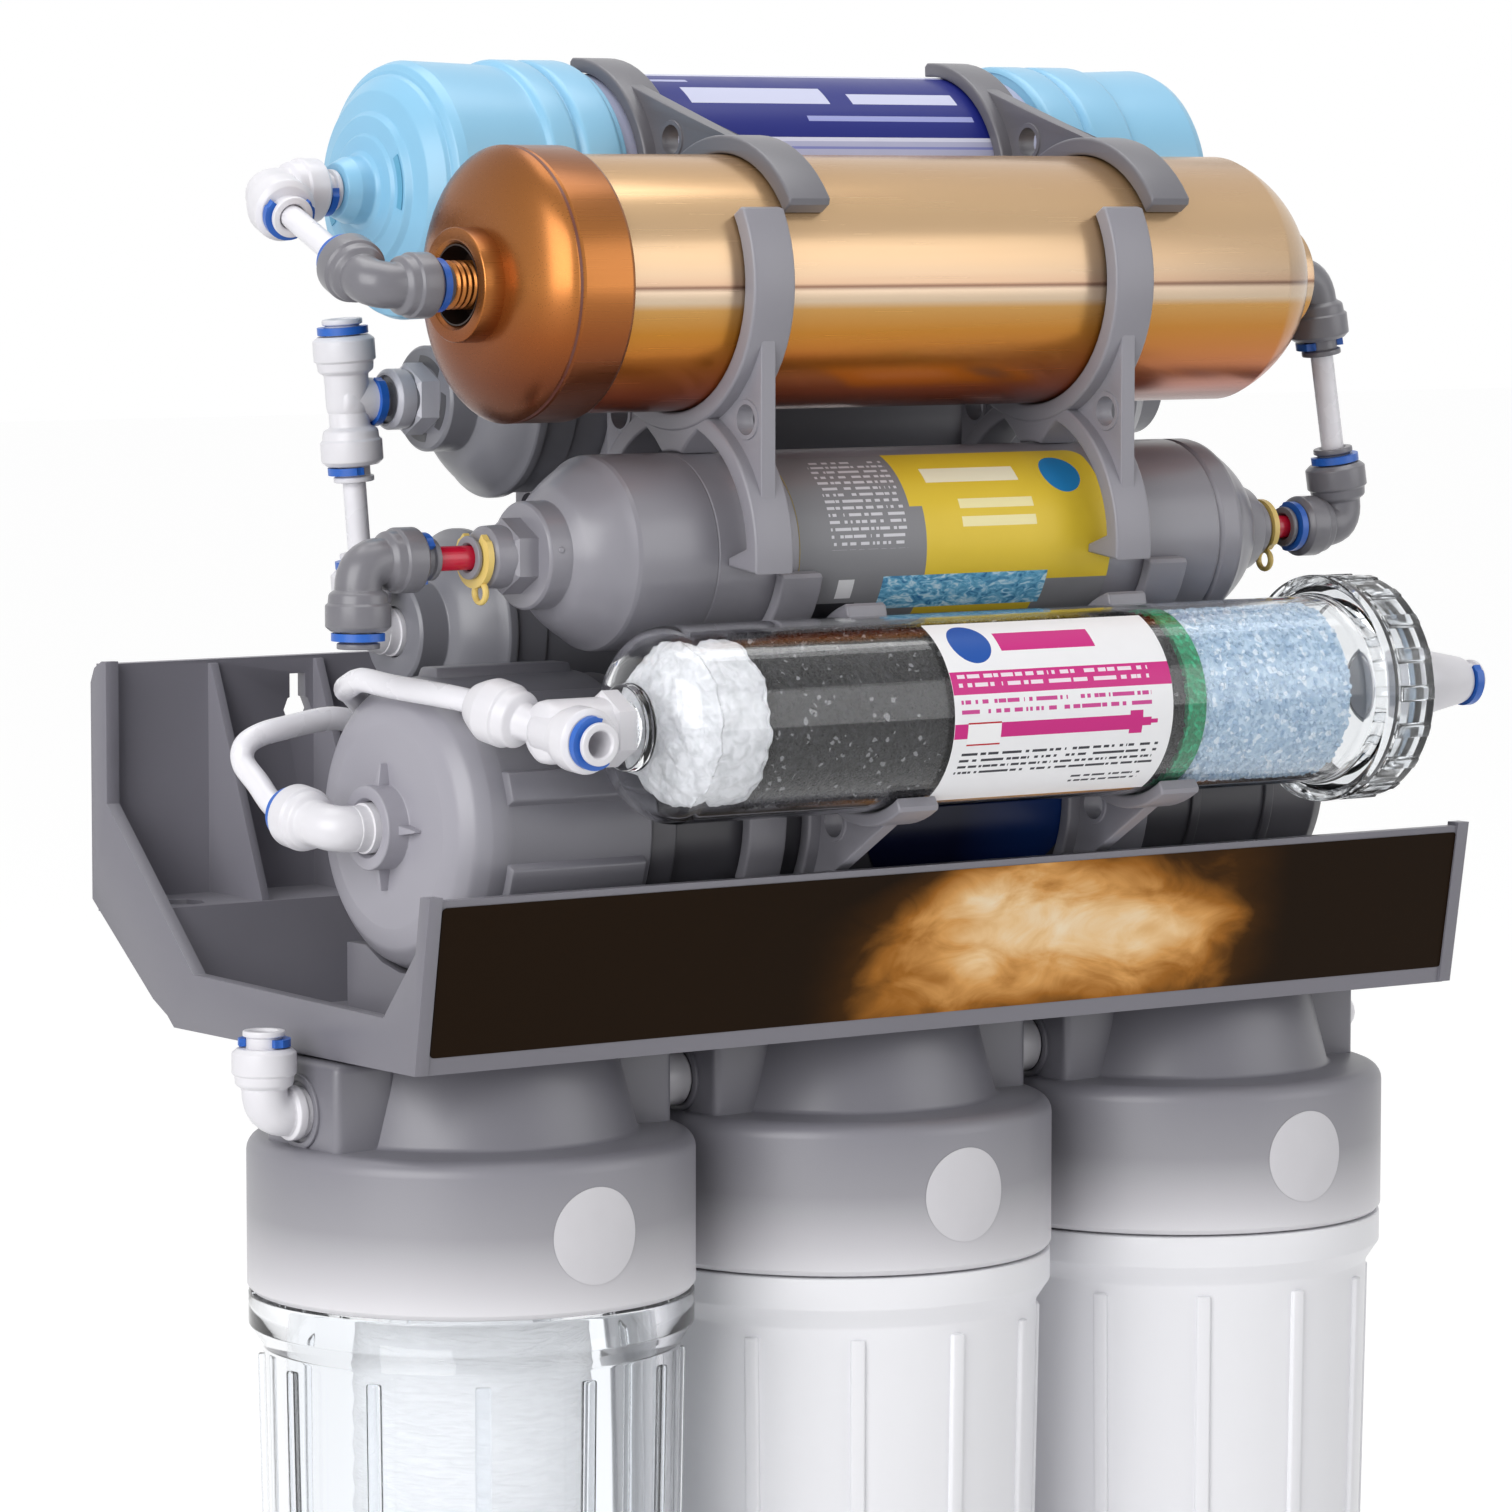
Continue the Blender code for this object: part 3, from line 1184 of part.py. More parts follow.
def alkaline_end():
    """Half of the alkaline cartridge's profile, as (distance from its middle, radius)."""
    half = ALKALINE_LENGTH / 2
    hub = half + ALKALINE_HUB_HEIGHT
    cap_start = half - ALKALINE_CAP_LENGTH
    edge = (ALKALINE_CAP_RADIUS - ALKALINE_RADIUS) / 3
    step_radius = (ALKALINE_HUB_RADIUS + ALKALINE_CAP_RADIUS) * 3 / 5
    return [
        (hub, ALKALINE_HUB_RADIUS),
        (half + ALKALINE_HUB_HEIGHT / 2, ALKALINE_HUB_RADIUS),
        (half + ALKALINE_HUB_HEIGHT / 4, step_radius),
        (half, ALKALINE_CAP_RADIUS - 4 * edge),
        (half - 4 * edge, ALKALINE_CAP_RADIUS),
        (cap_start + ALKALINE_CAP_LENGTH / 2, ALKALINE_CAP_RADIUS - edge),
        (cap_start + ALKALINE_CAP_LENGTH / 2, ALKALINE_CAP_RADIUS),
        (cap_start, ALKALINE_CAP_RADIUS),
        (cap_start, ALKALINE_RADIUS),
    ]


def make_alkaline():
    """A long white body with a stepped blue cap at each end and a stem on the left."""
    centre = ALKALINE_CENTRE_X
    end = alkaline_end()
    hub = end[0][0]
    tip = ALKALINE_ELBOW_X + ARM_LENGTH - SOCKET_DEPTH + SEAT_GAP
    outline = [(centre + hub - PORT_DEPTH, 0.0), (centre + hub - PORT_DEPTH, SOCKET_RADIUS)]
    outline.append((centre + hub, SOCKET_RADIUS))
    outline += [(centre + distance, radius) for distance, radius in end]
    outline += [(centre - distance, radius) for distance, radius in reversed(end)]
    outline += [(centre - hub, TUBE_RADIUS), (tip, TUBE_RADIUS), (tip, 0.0)]
    turned_along_x("alkaline_cartridge", outline, ALKALINE_AXIS, VESSEL_STEPS, SKY_BLUE)


def sleeve_points(end_x, inward, length):
    """Points of the push-fit sleeve on the end of a turned cartridge, socket first."""
    floor = end_x + inward * (length - SEAT_GAP)
    return [(floor, 0.0), (floor, SOCKET_RADIUS), (end_x, SOCKET_RADIUS), (end_x, SLEEVE_RADIUS)]


def make_mineral():
    """The labelled grey cartridge: hub, hex and push-fit sleeve at each end."""
    left = MINERAL_LEFT_X
    right = left + MINERAL_LENGTH
    hex_length = HEX_RADIUS * 2 / 3
    sleeve_length = MINERAL_SLEEVE_LENGTH
    left_end = left - hex_length - sleeve_length
    right_end = right + sleeve_length
    rim_left = left + MINERAL_HUB_LENGTH + MINERAL_DOME
    rim_right = right - MINERAL_HUB_LENGTH - MINERAL_DOME
    middle = (MINERAL_RADIUS + MINERAL_HUB_RADIUS) * 3 / 5
    seam = MINERAL_SEAM_X
    seam_radius = MINERAL_RADIUS - MINERAL_SEAM_DEPTH
    outline = sleeve_points(right_end, -1, sleeve_length) + [
        (right, SLEEVE_RADIUS),
        (right, MINERAL_HUB_RADIUS - MINERAL_HUB_LENGTH / 3),
        (right - MINERAL_HUB_LENGTH, MINERAL_HUB_RADIUS),
        (rim_right + MINERAL_DOME / 2, middle),
        (rim_right, MINERAL_RADIUS),
        (seam + MINERAL_SEAM_DEPTH, MINERAL_RADIUS),
        (seam, seam_radius),
        (seam - MINERAL_SEAM_DEPTH, MINERAL_RADIUS),
        (rim_left, MINERAL_RADIUS),
        (rim_left - MINERAL_DOME / 2, middle),
        (left + MINERAL_HUB_LENGTH, MINERAL_HUB_RADIUS),
        (left, MINERAL_HUB_RADIUS),
        (left, SLEEVE_RADIUS),
    ] + sleeve_points(left_end, 1, sleeve_length)[::-1]
    body = turned_along_x("mineral_cartridge", outline, MINERAL_AXIS, VESSEL_STEPS, GREY)
    join(body, hex_nut("mineral_hex", MINERAL_AXIS, left - hex_length, hex_length + JOIN_DEPTH))
    return left_end, right_end


def make_rear(name, axis, left, has_adaptor):
    """A rear cartridge with domed caps and a raised rim on each cap."""
    right = left + REAR_LENGTH
    hex_length = HEX_RADIUS * 2 / 3 if has_adaptor else 0.0
    sleeve_length = REAR_SLEEVE_LENGTH if has_adaptor else 0.0
    cap = [
        (0.0, REAR_HUB_RADIUS),
        (REAR_HUB_LENGTH, REAR_HUB_RADIUS),
        (REAR_HUB_LENGTH + REAR_DOME * 3 / 5, (REAR_HUB_RADIUS + REAR_RIM_RADIUS) * 5 / 9),
        (REAR_HUB_LENGTH + REAR_DOME, REAR_RIM_RADIUS),
        (REAR_HUB_LENGTH + REAR_DOME + REAR_RIM_WIDTH, REAR_RIM_RADIUS),
        (REAR_HUB_LENGTH + REAR_DOME + REAR_RIM_WIDTH, REAR_CAP_RADIUS),
        (REAR_HUB_LENGTH + REAR_DOME + REAR_RIM_WIDTH + REAR_CAP_LENGTH, REAR_CAP_RADIUS),
        (REAR_HUB_LENGTH + REAR_DOME + REAR_RIM_WIDTH + REAR_CAP_LENGTH, REAR_RADIUS),
    ]
    bore = THREAD_RADIUS + SEAT_GAP
    outline = [(right - SOCKET_DEPTH, 0.0), (right - SOCKET_DEPTH, bore), (right, bore)]
    outline += [(right - inward, radius) for inward, radius in cap]
    outline += [(left + inward, radius) for inward, radius in reversed(cap)]
    if has_adaptor:
        end = left - hex_length - sleeve_length
        outline += [(left, SLEEVE_RADIUS)] + sleeve_points(end, 1, sleeve_length)[::-1]
    else:
        outline += [(left, bore), (left + SOCKET_DEPTH, bore), (left + SOCKET_DEPTH, 0.0)]
    body = turned_along_x(name, outline, axis, VESSEL_STEPS, GREY)
    if has_adaptor:
        join(body, hex_nut(f"{name}_hex", axis, left - hex_length, hex_length + JOIN_DEPTH))
    return body


def make_clear():
    """The clear refillable cartridge: shell, screw cap, seal and its four beds."""
    left, right = CLEAR_LEFT_X, CLEAR_RIGHT_X
    inner = CLEAR_RADIUS - CLEAR_WALL
    barrel = left + CLEAR_DOME
    port = left - CLEAR_PORT_LENGTH
    dome_share = 0.80
    outline = [
        (left + CLEAR_WALL, 0.0),
        (left + CLEAR_WALL, CLEAR_PORT_RADIUS),
        (left + CLEAR_DOME / 3 + CLEAR_WALL / 2, CLEAR_RADIUS * dome_share - CLEAR_WALL),
        (barrel, inner),
        (right, inner),
        (right, CLEAR_NECK_RADIUS),
        (CLEAR_FLANGE_X + CLEAR_FLANGE_WIDTH, CLEAR_NECK_RADIUS),
        (CLEAR_FLANGE_X + CLEAR_FLANGE_WIDTH, CLEAR_FLANGE_RADIUS),
        (CLEAR_FLANGE_X, CLEAR_FLANGE_RADIUS),
        (CLEAR_FLANGE_X, CLEAR_RADIUS),
        (barrel, CLEAR_RADIUS),
        (left + CLEAR_DOME / 3, CLEAR_RADIUS * dome_share),
        (left, CLEAR_PORT_RADIUS),
        (port, CLEAR_PORT_RADIUS),
        (port, THREAD_RADIUS + SEAT_GAP),
        (left, THREAD_RADIUS + SEAT_GAP),
        (left, 0.0),
    ]
    turned_along_x("clear_shell", outline, CLEAR_AXIS, VESSEL_STEPS, CLEAR)
    make_clear_beds(barrel, inner)
    make_clear_cap(right)


def make_clear_beds(barrel, inner):
    radius = within(inner)
    start = barrel
    round_start = CLEAR_LEFT_X + CLEAR_DOME / 2
    wool = [
        (WOOL_END_X, 0.0), (WOOL_END_X, radius), (start + JOIN_DEPTH, radius),
        (round_start, CLEAR_PORT_RADIUS), (round_start, 0.0),
    ]
    turned_along_x("wool_plug", wool, CLEAR_AXIS, INSERT_STEPS, FOAM)
    sponge_end = CARBON_END_X + SPONGE_LENGTH
    beds = (
        ("carbon_bed", WOOL_END_X, CARBON_END_X, CARBON),
        ("green_sponge", CARBON_END_X, sponge_end, GREEN),
        ("mineral_bed", sponge_end, MINERAL_BED_END_X, PALE_BLUE),
    )
    for name, low, high, finish in beds:
        ends = [(high, 0.0), (high, radius), (low + SEAT_GAP, radius), (low + SEAT_GAP, 0.0)]
        turned_along_x(name, ends, CLEAR_AXIS, INSERT_STEPS, finish)


def make_clear_cap(shell_end):
    """A ribbed cup over the shell's neck, with the outlet port on its end and a face seal."""
    start = CLEAR_FLANGE_X + CLEAR_FLANGE_WIDTH + SEAT_GAP
    bore = CLEAR_CAP_RADIUS - CLEAR_CAP_WALL
    floor = shell_end + CLEAR_SEAL_THICKNESS + 2 * SEAT_GAP
    end = floor + CLEAR_CAP_END
    mouth_x = end + CLEAR_OUTLET_LENGTH
    collar = mouth_x - COLLET_REACH
    outline = [
        (mouth_x - SOCKET_DEPTH, 0.0),
        (mouth_x - SOCKET_DEPTH, SOCKET_RADIUS),
        (mouth_x, SOCKET_RADIUS),
        (mouth_x, COLLET_RADIUS),
        (collar, COLLET_RADIUS),
        (collar, FITTING_RADIUS),
        (collar - CLEAR_OUTLET_TAPER, SLEEVE_RADIUS + JOIN_DEPTH),
        (end, SLEEVE_RADIUS + JOIN_DEPTH),
        (end, CLEAR_CAP_RADIUS - CLEAR_CAP_WALL / 2),
        (end - CLEAR_CAP_WALL / 2, CLEAR_CAP_RADIUS),
        (start, CLEAR_CAP_RADIUS),
        (start, bore),
        (floor, bore),
        (floor, 0.0),
    ]
    cap = turned_along_x("clear_cap", outline, CLEAR_AXIS, VESSEL_STEPS, CLEAR)
    mesh = bpy.data.meshes.new("clear_cap_ribs")
    work = bmesh.new()
    length = (end - start) * 3 / 4
    for index in range(CLEAR_CAP_RIB_COUNT):
        add_radial_bar(
            work, 2 * math.pi * index / CLEAR_CAP_RIB_COUNT, CLEAR_CAP_RADIUS,
            (length, CLEAR_CAP_WALL / 2, CLEAR_CAP_WALL), (start + end) / 2, 0.75,
        )
    work.to_mesh(mesh)
    work.free()
    ribs = mesh_object("clear_cap_ribs", mesh, None, cutter=True)
    ribs.location = (0.0, CLEAR_AXIS[0], CLEAR_AXIS[1])
    join(cap, ribs)
    seal_low = shell_end + SEAT_GAP
    seal_high = seal_low + CLEAR_SEAL_THICKNESS
    seal_outer = within(bore)
    seal_inner = seal_outer - CLEAR_SEAL_THICKNESS
    seal = [
        (seal_high, seal_inner), (seal_high, seal_outer), (seal_low, seal_outer), (seal_low, seal_inner)
    ]
    turned_along_x("clear_cap_seal", seal, CLEAR_AXIS, INSERT_STEPS, RUBBER, ring=True)


# Plumbing
def point(x, axis):
    return (x, axis[0], axis[1])


def collar_arm(direction, body_radius=FITTING_RADIUS):
    return (direction, collar_outline(ARM_LENGTH, body_radius))


def thread_arm(direction, reach):
    """An arm that ends in a threaded stem a little longer than a port is deep."""
    return (direction, stem_outline(reach, PORT_DEPTH + JOIN_DEPTH, THREAD_RADIUS))


def make_port_elbows():
    """Elbows in the outer ports of the row and in the hub of the membrane cap."""
    port_z = SKIRT_Z + PORT_HEIGHT
    inside = PORT_DEPTH - 2 * SEAT_GAP
    beside_tray = HOUSING_XS[0] - TRAY_LEFT_X + INLET_TRAY_GAP + COLLAR_RADIUS - BOSS_REACH
    inlet_standoff = max(PORT_STANDOFF, beside_tray)
    left = (HOUSING_XS[0] - BOSS_REACH - inlet_standoff, ROW_Y, port_z)
    right = (HOUSING_XS[2] + BOSS_REACH + PORT_STANDOFF, ROW_Y, port_z)
    inlet_stem = thread_arm((1, 0, 0), inlet_standoff + inside)
    outlet_stem = thread_arm((-1, 0, 0), PORT_STANDOFF + inside)
    fitting("inlet_elbow", left, [collar_arm((0, 0, 1)), inlet_stem], WHITE)
    fitting("outlet_elbow", right, [collar_arm((0, 1, 0)), outlet_stem], WHITE)
    hub_floor = MEMBRANE_LEFT_X + MEMBRANE_CAP_WALL / 3
    corner = point(MEMBRANE_ELBOW_X, MEMBRANE_AXIS)
    stem = hub_floor - MEMBRANE_ELBOW_X - SEAT_GAP
    stem_length = stem - (MEMBRANE_LEFT_X - MEMBRANE_HUB_HEIGHT - MEMBRANE_ELBOW_X) + JOIN_DEPTH
    arm = ((1, 0, 0), stem_outline(stem, stem_length, THREAD_RADIUS))
    back = (MEMBRANE_ELBOW_BACK, collar_outline(MEMBRANE_ELBOW_LENGTH))
    fitting("membrane_elbow", corner, [back, arm], WHITE)
    return corner, right


def make_top_link():
    """Grey elbow on the copper cartridge, white elbow on the alkaline one, tube between."""
    low = point(COPPER_ELBOW_X, COPPER_AXIS)
    high = point(ALKALINE_ELBOW_X, ALKALINE_AXIS)
    rise = toward(low, high)
    fitting("copper_elbow_left", low, [collar_arm((1, 0, 0)), collar_arm(rise)], GREY)
    fall = toward(high, low)
    fitting("alkaline_elbow", high, [collar_arm((1, 0, 0)), collar_arm(fall)], WHITE)
    tube("top_link_tube", [mouth(low, rise), mouth(high, fall)], WHITE)


def make_right_link(mineral_end):
    """Elbow in the copper cartridge's right hub, white tube, elbow and red tube below."""
    high = point(COPPER_RIGHT_ELBOW_X, COPPER_AXIS)
    low = point(MINERAL_RIGHT_ELBOW_X, MINERAL_AXIS)
    fall = toward(high, low)
    rise = toward(low, high)
    reach = COPPER_RIGHT_ELBOW_X - COPPER_RIGHT_X + COPPER_WELL_DEPTH - SEAT_GAP
    stem = ((-1, 0, 0), stem_outline(reach, COPPER_WELL_DEPTH + JOIN_DEPTH, THREAD_RADIUS))
    fitting("copper_elbow_right", high, [collar_arm(fall), stem], GREY)
    fitting("mineral_elbow_right", low, [collar_arm(rise), collar_arm((-1, 0, 0))], GREY)
    tube("right_link_tube", [mouth(high, fall), mouth(low, rise)], WHITE)
    start = point(mineral_end - MINERAL_SLEEVE_LENGTH + 2 * SEAT_GAP, MINERAL_AXIS)
    tube("red_tube_right", [start, mouth(low, (-1, 0, 0))], RED)


def make_left_mineral(mineral_end):
    """Elbow with a free mouth pointing down, on a red tube."""
    corner = point(MINERAL_LEFT_ELBOW_X, MINERAL_AXIS)
    fitting("mineral_elbow_left", corner, [collar_arm((1, 0, 0)), collar_arm((0, 0, -1))], GREY)
    end = point(mineral_end + MINERAL_SLEEVE_LENGTH - 2 * SEAT_GAP, MINERAL_AXIS)
    tube("red_tube_left", [mouth(corner, (1, 0, 0)), end], RED)


def make_rear_link():
    """Tee on the upper rear cartridge, elbow on the lower one, tube between."""
    high = point(TEE_X, REAR_UPPER_AXIS)
    low = point(REAR_LOWER_ELBOW_X, REAR_LOWER_AXIS)
    fall = toward(high, low)
    rise = toward(low, high)
    sleeve_end = REAR_UPPER_LEFT_X - HEX_RADIUS * 2 / 3 - REAR_SLEEVE_LENGTH
    stem_end = sleeve_end + REAR_SLEEVE_LENGTH - 2 * SEAT_GAP
    stem = stem_outline(stem_end - TEE_X, stem_end - sleeve_end + JOIN_DEPTH, TUBE_RADIUS)
    arms = [collar_arm(rise), collar_arm(fall, FITTING_RADIUS - JOIN_DEPTH / 2), ((1, 0, 0), stem)]
    fitting("rear_tee", high, arms, WHITE)
    floor = REAR_LOWER_LEFT_X + SOCKET_DEPTH - SEAT_GAP
    thread_length = SOCKET_DEPTH + JOIN_DEPTH - SEAT_GAP
    thread = stem_outline(floor - REAR_LOWER_ELBOW_X, thread_length, THREAD_RADIUS)
    fitting("rear_elbow", low, [collar_arm(rise), ((1, 0, 0), thread)], WHITE)
    tube("rear_link_tube", [mouth(high, fall), mouth(low, rise)], WHITE)


def make_clear_tee():
    """Tee on the clear cartridge: free mouth in front, a union on a thin neck behind."""
    corner = point(CLEAR_TEE_X, CLEAR_AXIS)
    reach = CLEAR_LEFT_X - SEAT_GAP - CLEAR_TEE_X
    stem_length = CLEAR_PORT_LENGTH + JOIN_DEPTH
    stem = stem_outline(reach, stem_length, THREAD_RADIUS, SLEEVE_RADIUS)
    arms = [collar_arm(CLEAR_TEE_FRONT), (CLEAR_TEE_BACK, union_outline()), ((1, 0, 0), stem)]
    body = fitting("clear_tee", corner, arms, WHITE)
    nut_length = HEX_RADIUS * 2 / 3
    nut_start = CLEAR_LEFT_X - CLEAR_PORT_LENGTH - SEAT_GAP - nut_length
    join(body, hex_nut("clear_tee_hex", CLEAR_AXIS, nut_start, nut_length))
    return corner


def make_valve():
    """Round shut-off valve behind the membrane cap with two ports on each side."""
    centre = (VALVE_X, ROW_Y + VALVE_Y, FLOOR_Z + VALVE_HEIGHT)
    half = VALVE_LENGTH / 2
    lid = VALVE_LENGTH / 5
    outline = [
        (0.0, half), (VALVE_RADIUS, half), (VALVE_RADIUS, half - lid),
        (VALVE_RADIUS - JOIN_DEPTH, half - lid), (VALVE_RADIUS - JOIN_DEPTH, lid - half),
        (VALVE_RADIUS, lid - half), (VALVE_RADIUS, -half), (0.0, -half),
    ]
    body = turned("shutoff_valve", outline, VESSEL_STEPS, WHITE)
    body.location = centre
    mouth_x = VALVE_PORT_LENGTH
    root = VALVE_RADIUS / 5
    port_outline = [
        (0.0, mouth_x - SOCKET_DEPTH), (SOCKET_RADIUS, mouth_x - SOCKET_DEPTH),
        (SOCKET_RADIUS, mouth_x), (COLLET_RADIUS, mouth_x),
        (COLLAR_RADIUS, mouth_x - COLLET_REACH), (COLLAR_RADIUS, root), (0.0, root),
    ]
    ports = []
    for side in (-1, 1):
        for offset in (-1, 1):
            start = (centre[0], centre[1] + offset * VALVE_PORT_SPREAD / 2, centre[2])
            arm = turned("valve_port", port_outline, FITTING_STEPS, None, cutter=True)
            aim(arm, (side, 0, 0))
            arm.location = start
            join(body, arm)
            ports.append(start)
    return ports


def bent_tube(name, start_corner, start_direction, start_length, bend, end_corner, side):
    """A tube from a fitting's socket, through the points of a bend, to a valve port."""
    outward = (side, 0, 0)
    lead = SOCKET_DEPTH + TUBE_RADIUS
    start = mouth(start_corner, start_direction, start_length)
    end = mouth(end_corner, outward, VALVE_PORT_LENGTH)
    middle = [(x, ROW_Y + y, SKIRT_Z + z) for x, y, z in bend]
    route = [start, along(start, start_direction, lead)] + middle + [along(end, outward, lead), end]
    tube(name, route, WHITE, smooth=True)


def make_bent_tubes(membrane_corner, clear_corner, outlet_corner, ports):
    """Two bent tubes behind the membrane cap to the valve's left ports, one to its right."""
    front_port, back_port = ports[0], ports[1]
    bent_tube(
        "membrane_feed_tube", membrane_corner, MEMBRANE_ELBOW_BACK, MEMBRANE_ELBOW_LENGTH,
        MEMBRANE_TUBE_BEND, back_port, -1,
    )
    bent_tube(
        "post_feed_tube", clear_corner, CLEAR_TEE_BACK, CLEAR_TEE_BACK_LENGTH,
        POST_TUBE_BEND, front_port, -1,
    )
    bent_tube("supply_tube", outlet_corner, (0, 1, 0), ARM_LENGTH, SUPPLY_TUBE_BEND, back_port, 1)


def build():
    make_housings()
    make_bracket()
    make_clips()
    make_membrane()
    make_copper()
    make_alkaline()
    left_end, right_end = make_mineral()
    make_rear("rear_upper_cartridge", REAR_UPPER_AXIS, REAR_UPPER_LEFT_X, True)
    make_rear("rear_lower_cartridge", REAR_LOWER_AXIS, REAR_LOWER_LEFT_X, False)
    make_clear()
    membrane_corner, outlet_corner = make_port_elbows()
    make_top_link()
    make_right_link(right_end)
    make_left_mineral(left_end)
    make_rear_link()
    clear_corner = make_clear_tee()
    ports = make_valve()
    make_bent_tubes(membrane_corner, clear_corner, outlet_corner, ports)


build()
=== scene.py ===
import math

import bmesh
import bpy
from mathutils import Matrix, Vector


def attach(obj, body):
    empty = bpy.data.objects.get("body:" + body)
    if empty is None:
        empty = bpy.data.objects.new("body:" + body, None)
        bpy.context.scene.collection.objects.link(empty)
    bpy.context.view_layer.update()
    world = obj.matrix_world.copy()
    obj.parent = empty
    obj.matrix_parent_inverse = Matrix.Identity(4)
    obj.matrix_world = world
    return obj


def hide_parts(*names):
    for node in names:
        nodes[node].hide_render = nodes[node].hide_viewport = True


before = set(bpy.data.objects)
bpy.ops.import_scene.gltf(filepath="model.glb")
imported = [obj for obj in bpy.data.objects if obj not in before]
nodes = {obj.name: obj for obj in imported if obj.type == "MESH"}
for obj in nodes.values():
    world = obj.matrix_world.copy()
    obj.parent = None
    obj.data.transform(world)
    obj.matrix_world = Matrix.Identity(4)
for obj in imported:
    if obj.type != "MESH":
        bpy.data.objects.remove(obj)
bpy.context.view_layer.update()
scene = bpy.context.scene
print("frame loaded, %d nodes" % len(nodes))


# node helpers
def feed(tree, node, socket, value):
    # a socket is linked, anything else is set
    if isinstance(value, bpy.types.NodeSocket):
        tree.links.new(value, node.inputs[socket])
    else:
        node.inputs[socket].default_value = value


def addNode(tree, kind, inputs=None, **settings):
    node = tree.nodes.new(kind)
    for key, value in settings.items():
        setattr(node, key, value)
    for socket, value in (inputs or {}).items():
        feed(tree, node, socket, value)
    return node


def calc(tree, operation, *values):
    return addNode(tree, "ShaderNodeMath", dict(enumerate(values)), operation=operation).outputs[0]


def mixColour(tree, share, first, second):
    node = addNode(tree, "ShaderNodeMix", {0: share}, data_type="RGBA")
    for index, value in ((6, first), (7, second)):
        feed(tree, node, index, value if isinstance(value, bpy.types.NodeSocket) else (*value[:3], 1.0))
    return node.outputs[2]


def ramp(tree, share, stops, mode="LINEAR"):
    node = addNode(tree, "ShaderNodeValToRGB", {0: share})
    node.color_ramp.interpolation = mode
    while len(node.color_ramp.elements) < len(stops):
        node.color_ramp.elements.new(0.5)
    for element, (spot, colour) in zip(node.color_ramp.elements, stops):
        element.position = spot
        element.color = (*colour, 1.0)
    return node.outputs[0]


def noise(tree, spot, scale, detail, **more):
    extra = {key.title(): value for key, value in more.items()}
    values = {"Vector": spot, "Scale": scale, "Detail": detail, **extra}
    return addNode(tree, "ShaderNodeTexNoise", values).outputs[0]


def mapped(tree, value, start, end, **settings):
    values = {"Value": value, "From Min": start, "From Max": end}
    return addNode(tree, "ShaderNodeMapRange", values, **settings).outputs[0]


def split(tree, vector):
    return addNode(tree, "ShaderNodeSeparateXYZ", {0: vector}).outputs


def place(tree, kind="Object"):
    return addNode(tree, "ShaderNodeTexCoord").outputs[kind]


def newMaterial(name):
    material = bpy.data.materials.new(name)
    material.use_nodes = True
    tree = material.node_tree
    return material, tree, tree.nodes["Principled BSDF"]


def dress(tree, shader, **values):
    # the shader's sockets by name, with low lines for blanks
    for label, value in values.items():
        feed(tree, shader, label.replace("_", " "), value)


def bumped(tree, shader, height, strength, distance):
    bump = addNode(tree, "ShaderNodeBump", {"Height": height, "Strength": strength, "Distance": distance})
    tree.links.new(bump.outputs[0], shader.inputs["Normal"])


def linked(item):
    scene.collection.objects.link(item)
    return item


# camera and stage, in metres, degrees and watts
view = {
    "lens": 153.31, "sensor": 36, "far": 50, "place": (-1.0308, -1.4164, 0.5224),
    "turn": (85.06, 0.0, -35.47),
}
stageLook = {
    "ambient": 0.17, "white": 1.0, "floorWhite": 1.20, "floorShare": 0.78,
    "floorColour": (0.86, 0.86, 0.86, 1.0),
    "floorRoughness": 0.85, "floorReach": 12, "aim": (0.0, 0.0, 0.36),
}
lampList = (
    # name, place, size and watts
    ("leftSoftbox", (-2.10, -0.90, 1.15), (1.9, 1.7), 50.0),
    ("frontSoftbox", (1.35, -1.75, 0.95), (1.6, 1.5), 13.5),
    ("topSoftbox", (0.10, 0.10, 2.10), (1.7, 1.3), 22.0),
)
cameraData = bpy.data.cameras.new("camera")
cameraData.sensor_width = view["sensor"]
cameraData.lens = view["lens"]
cameraData.clip_end = view["far"]
camera = linked(bpy.data.objects.new("camera", cameraData))
camera.location = view["place"]
camera.rotation_euler = [math.radians(angle) for angle in view["turn"]]
scene.camera = camera
scene.view_settings.view_transform = "Standard"


def seenPlainly(tree):
    # 1 where the camera, gloss or clear plastic looks
    path = addNode(tree, "ShaderNodeLightPath").outputs
    seen = calc(tree, "MAXIMUM", path["Is Camera Ray"], path["Is Glossy Ray"])
    return calc(tree, "MAXIMUM", seen, path["Is Transmission Ray"])


scene.world = bpy.data.worlds.new("studio")
scene.world.use_nodes = True
sky = scene.world.node_tree
background = sky.nodes["Background"]
extra = stageLook["white"] - stageLook["ambient"]
feed(sky, background, "Color", (1.0, 1.0, 1.0, 1.0))
feed(sky, background, "Strength", calc(sky, "MULTIPLY_ADD", seenPlainly(sky), extra, stageLook["ambient"]))

for lampName, spot, (width, height), watts in lampList:
    lampData = bpy.data.lights.new(lampName, "AREA")
    lampData.shape = "RECTANGLE"
    lampData.size, lampData.size_y = width, height
    lampData.energy = watts
    lamp = linked(bpy.data.objects.new(lampName, lampData))
    lamp.location = spot
    lamp.rotation_euler = (Vector(spot) - Vector(stageLook["aim"])).to_track_quat("Z", "Y").to_euler()

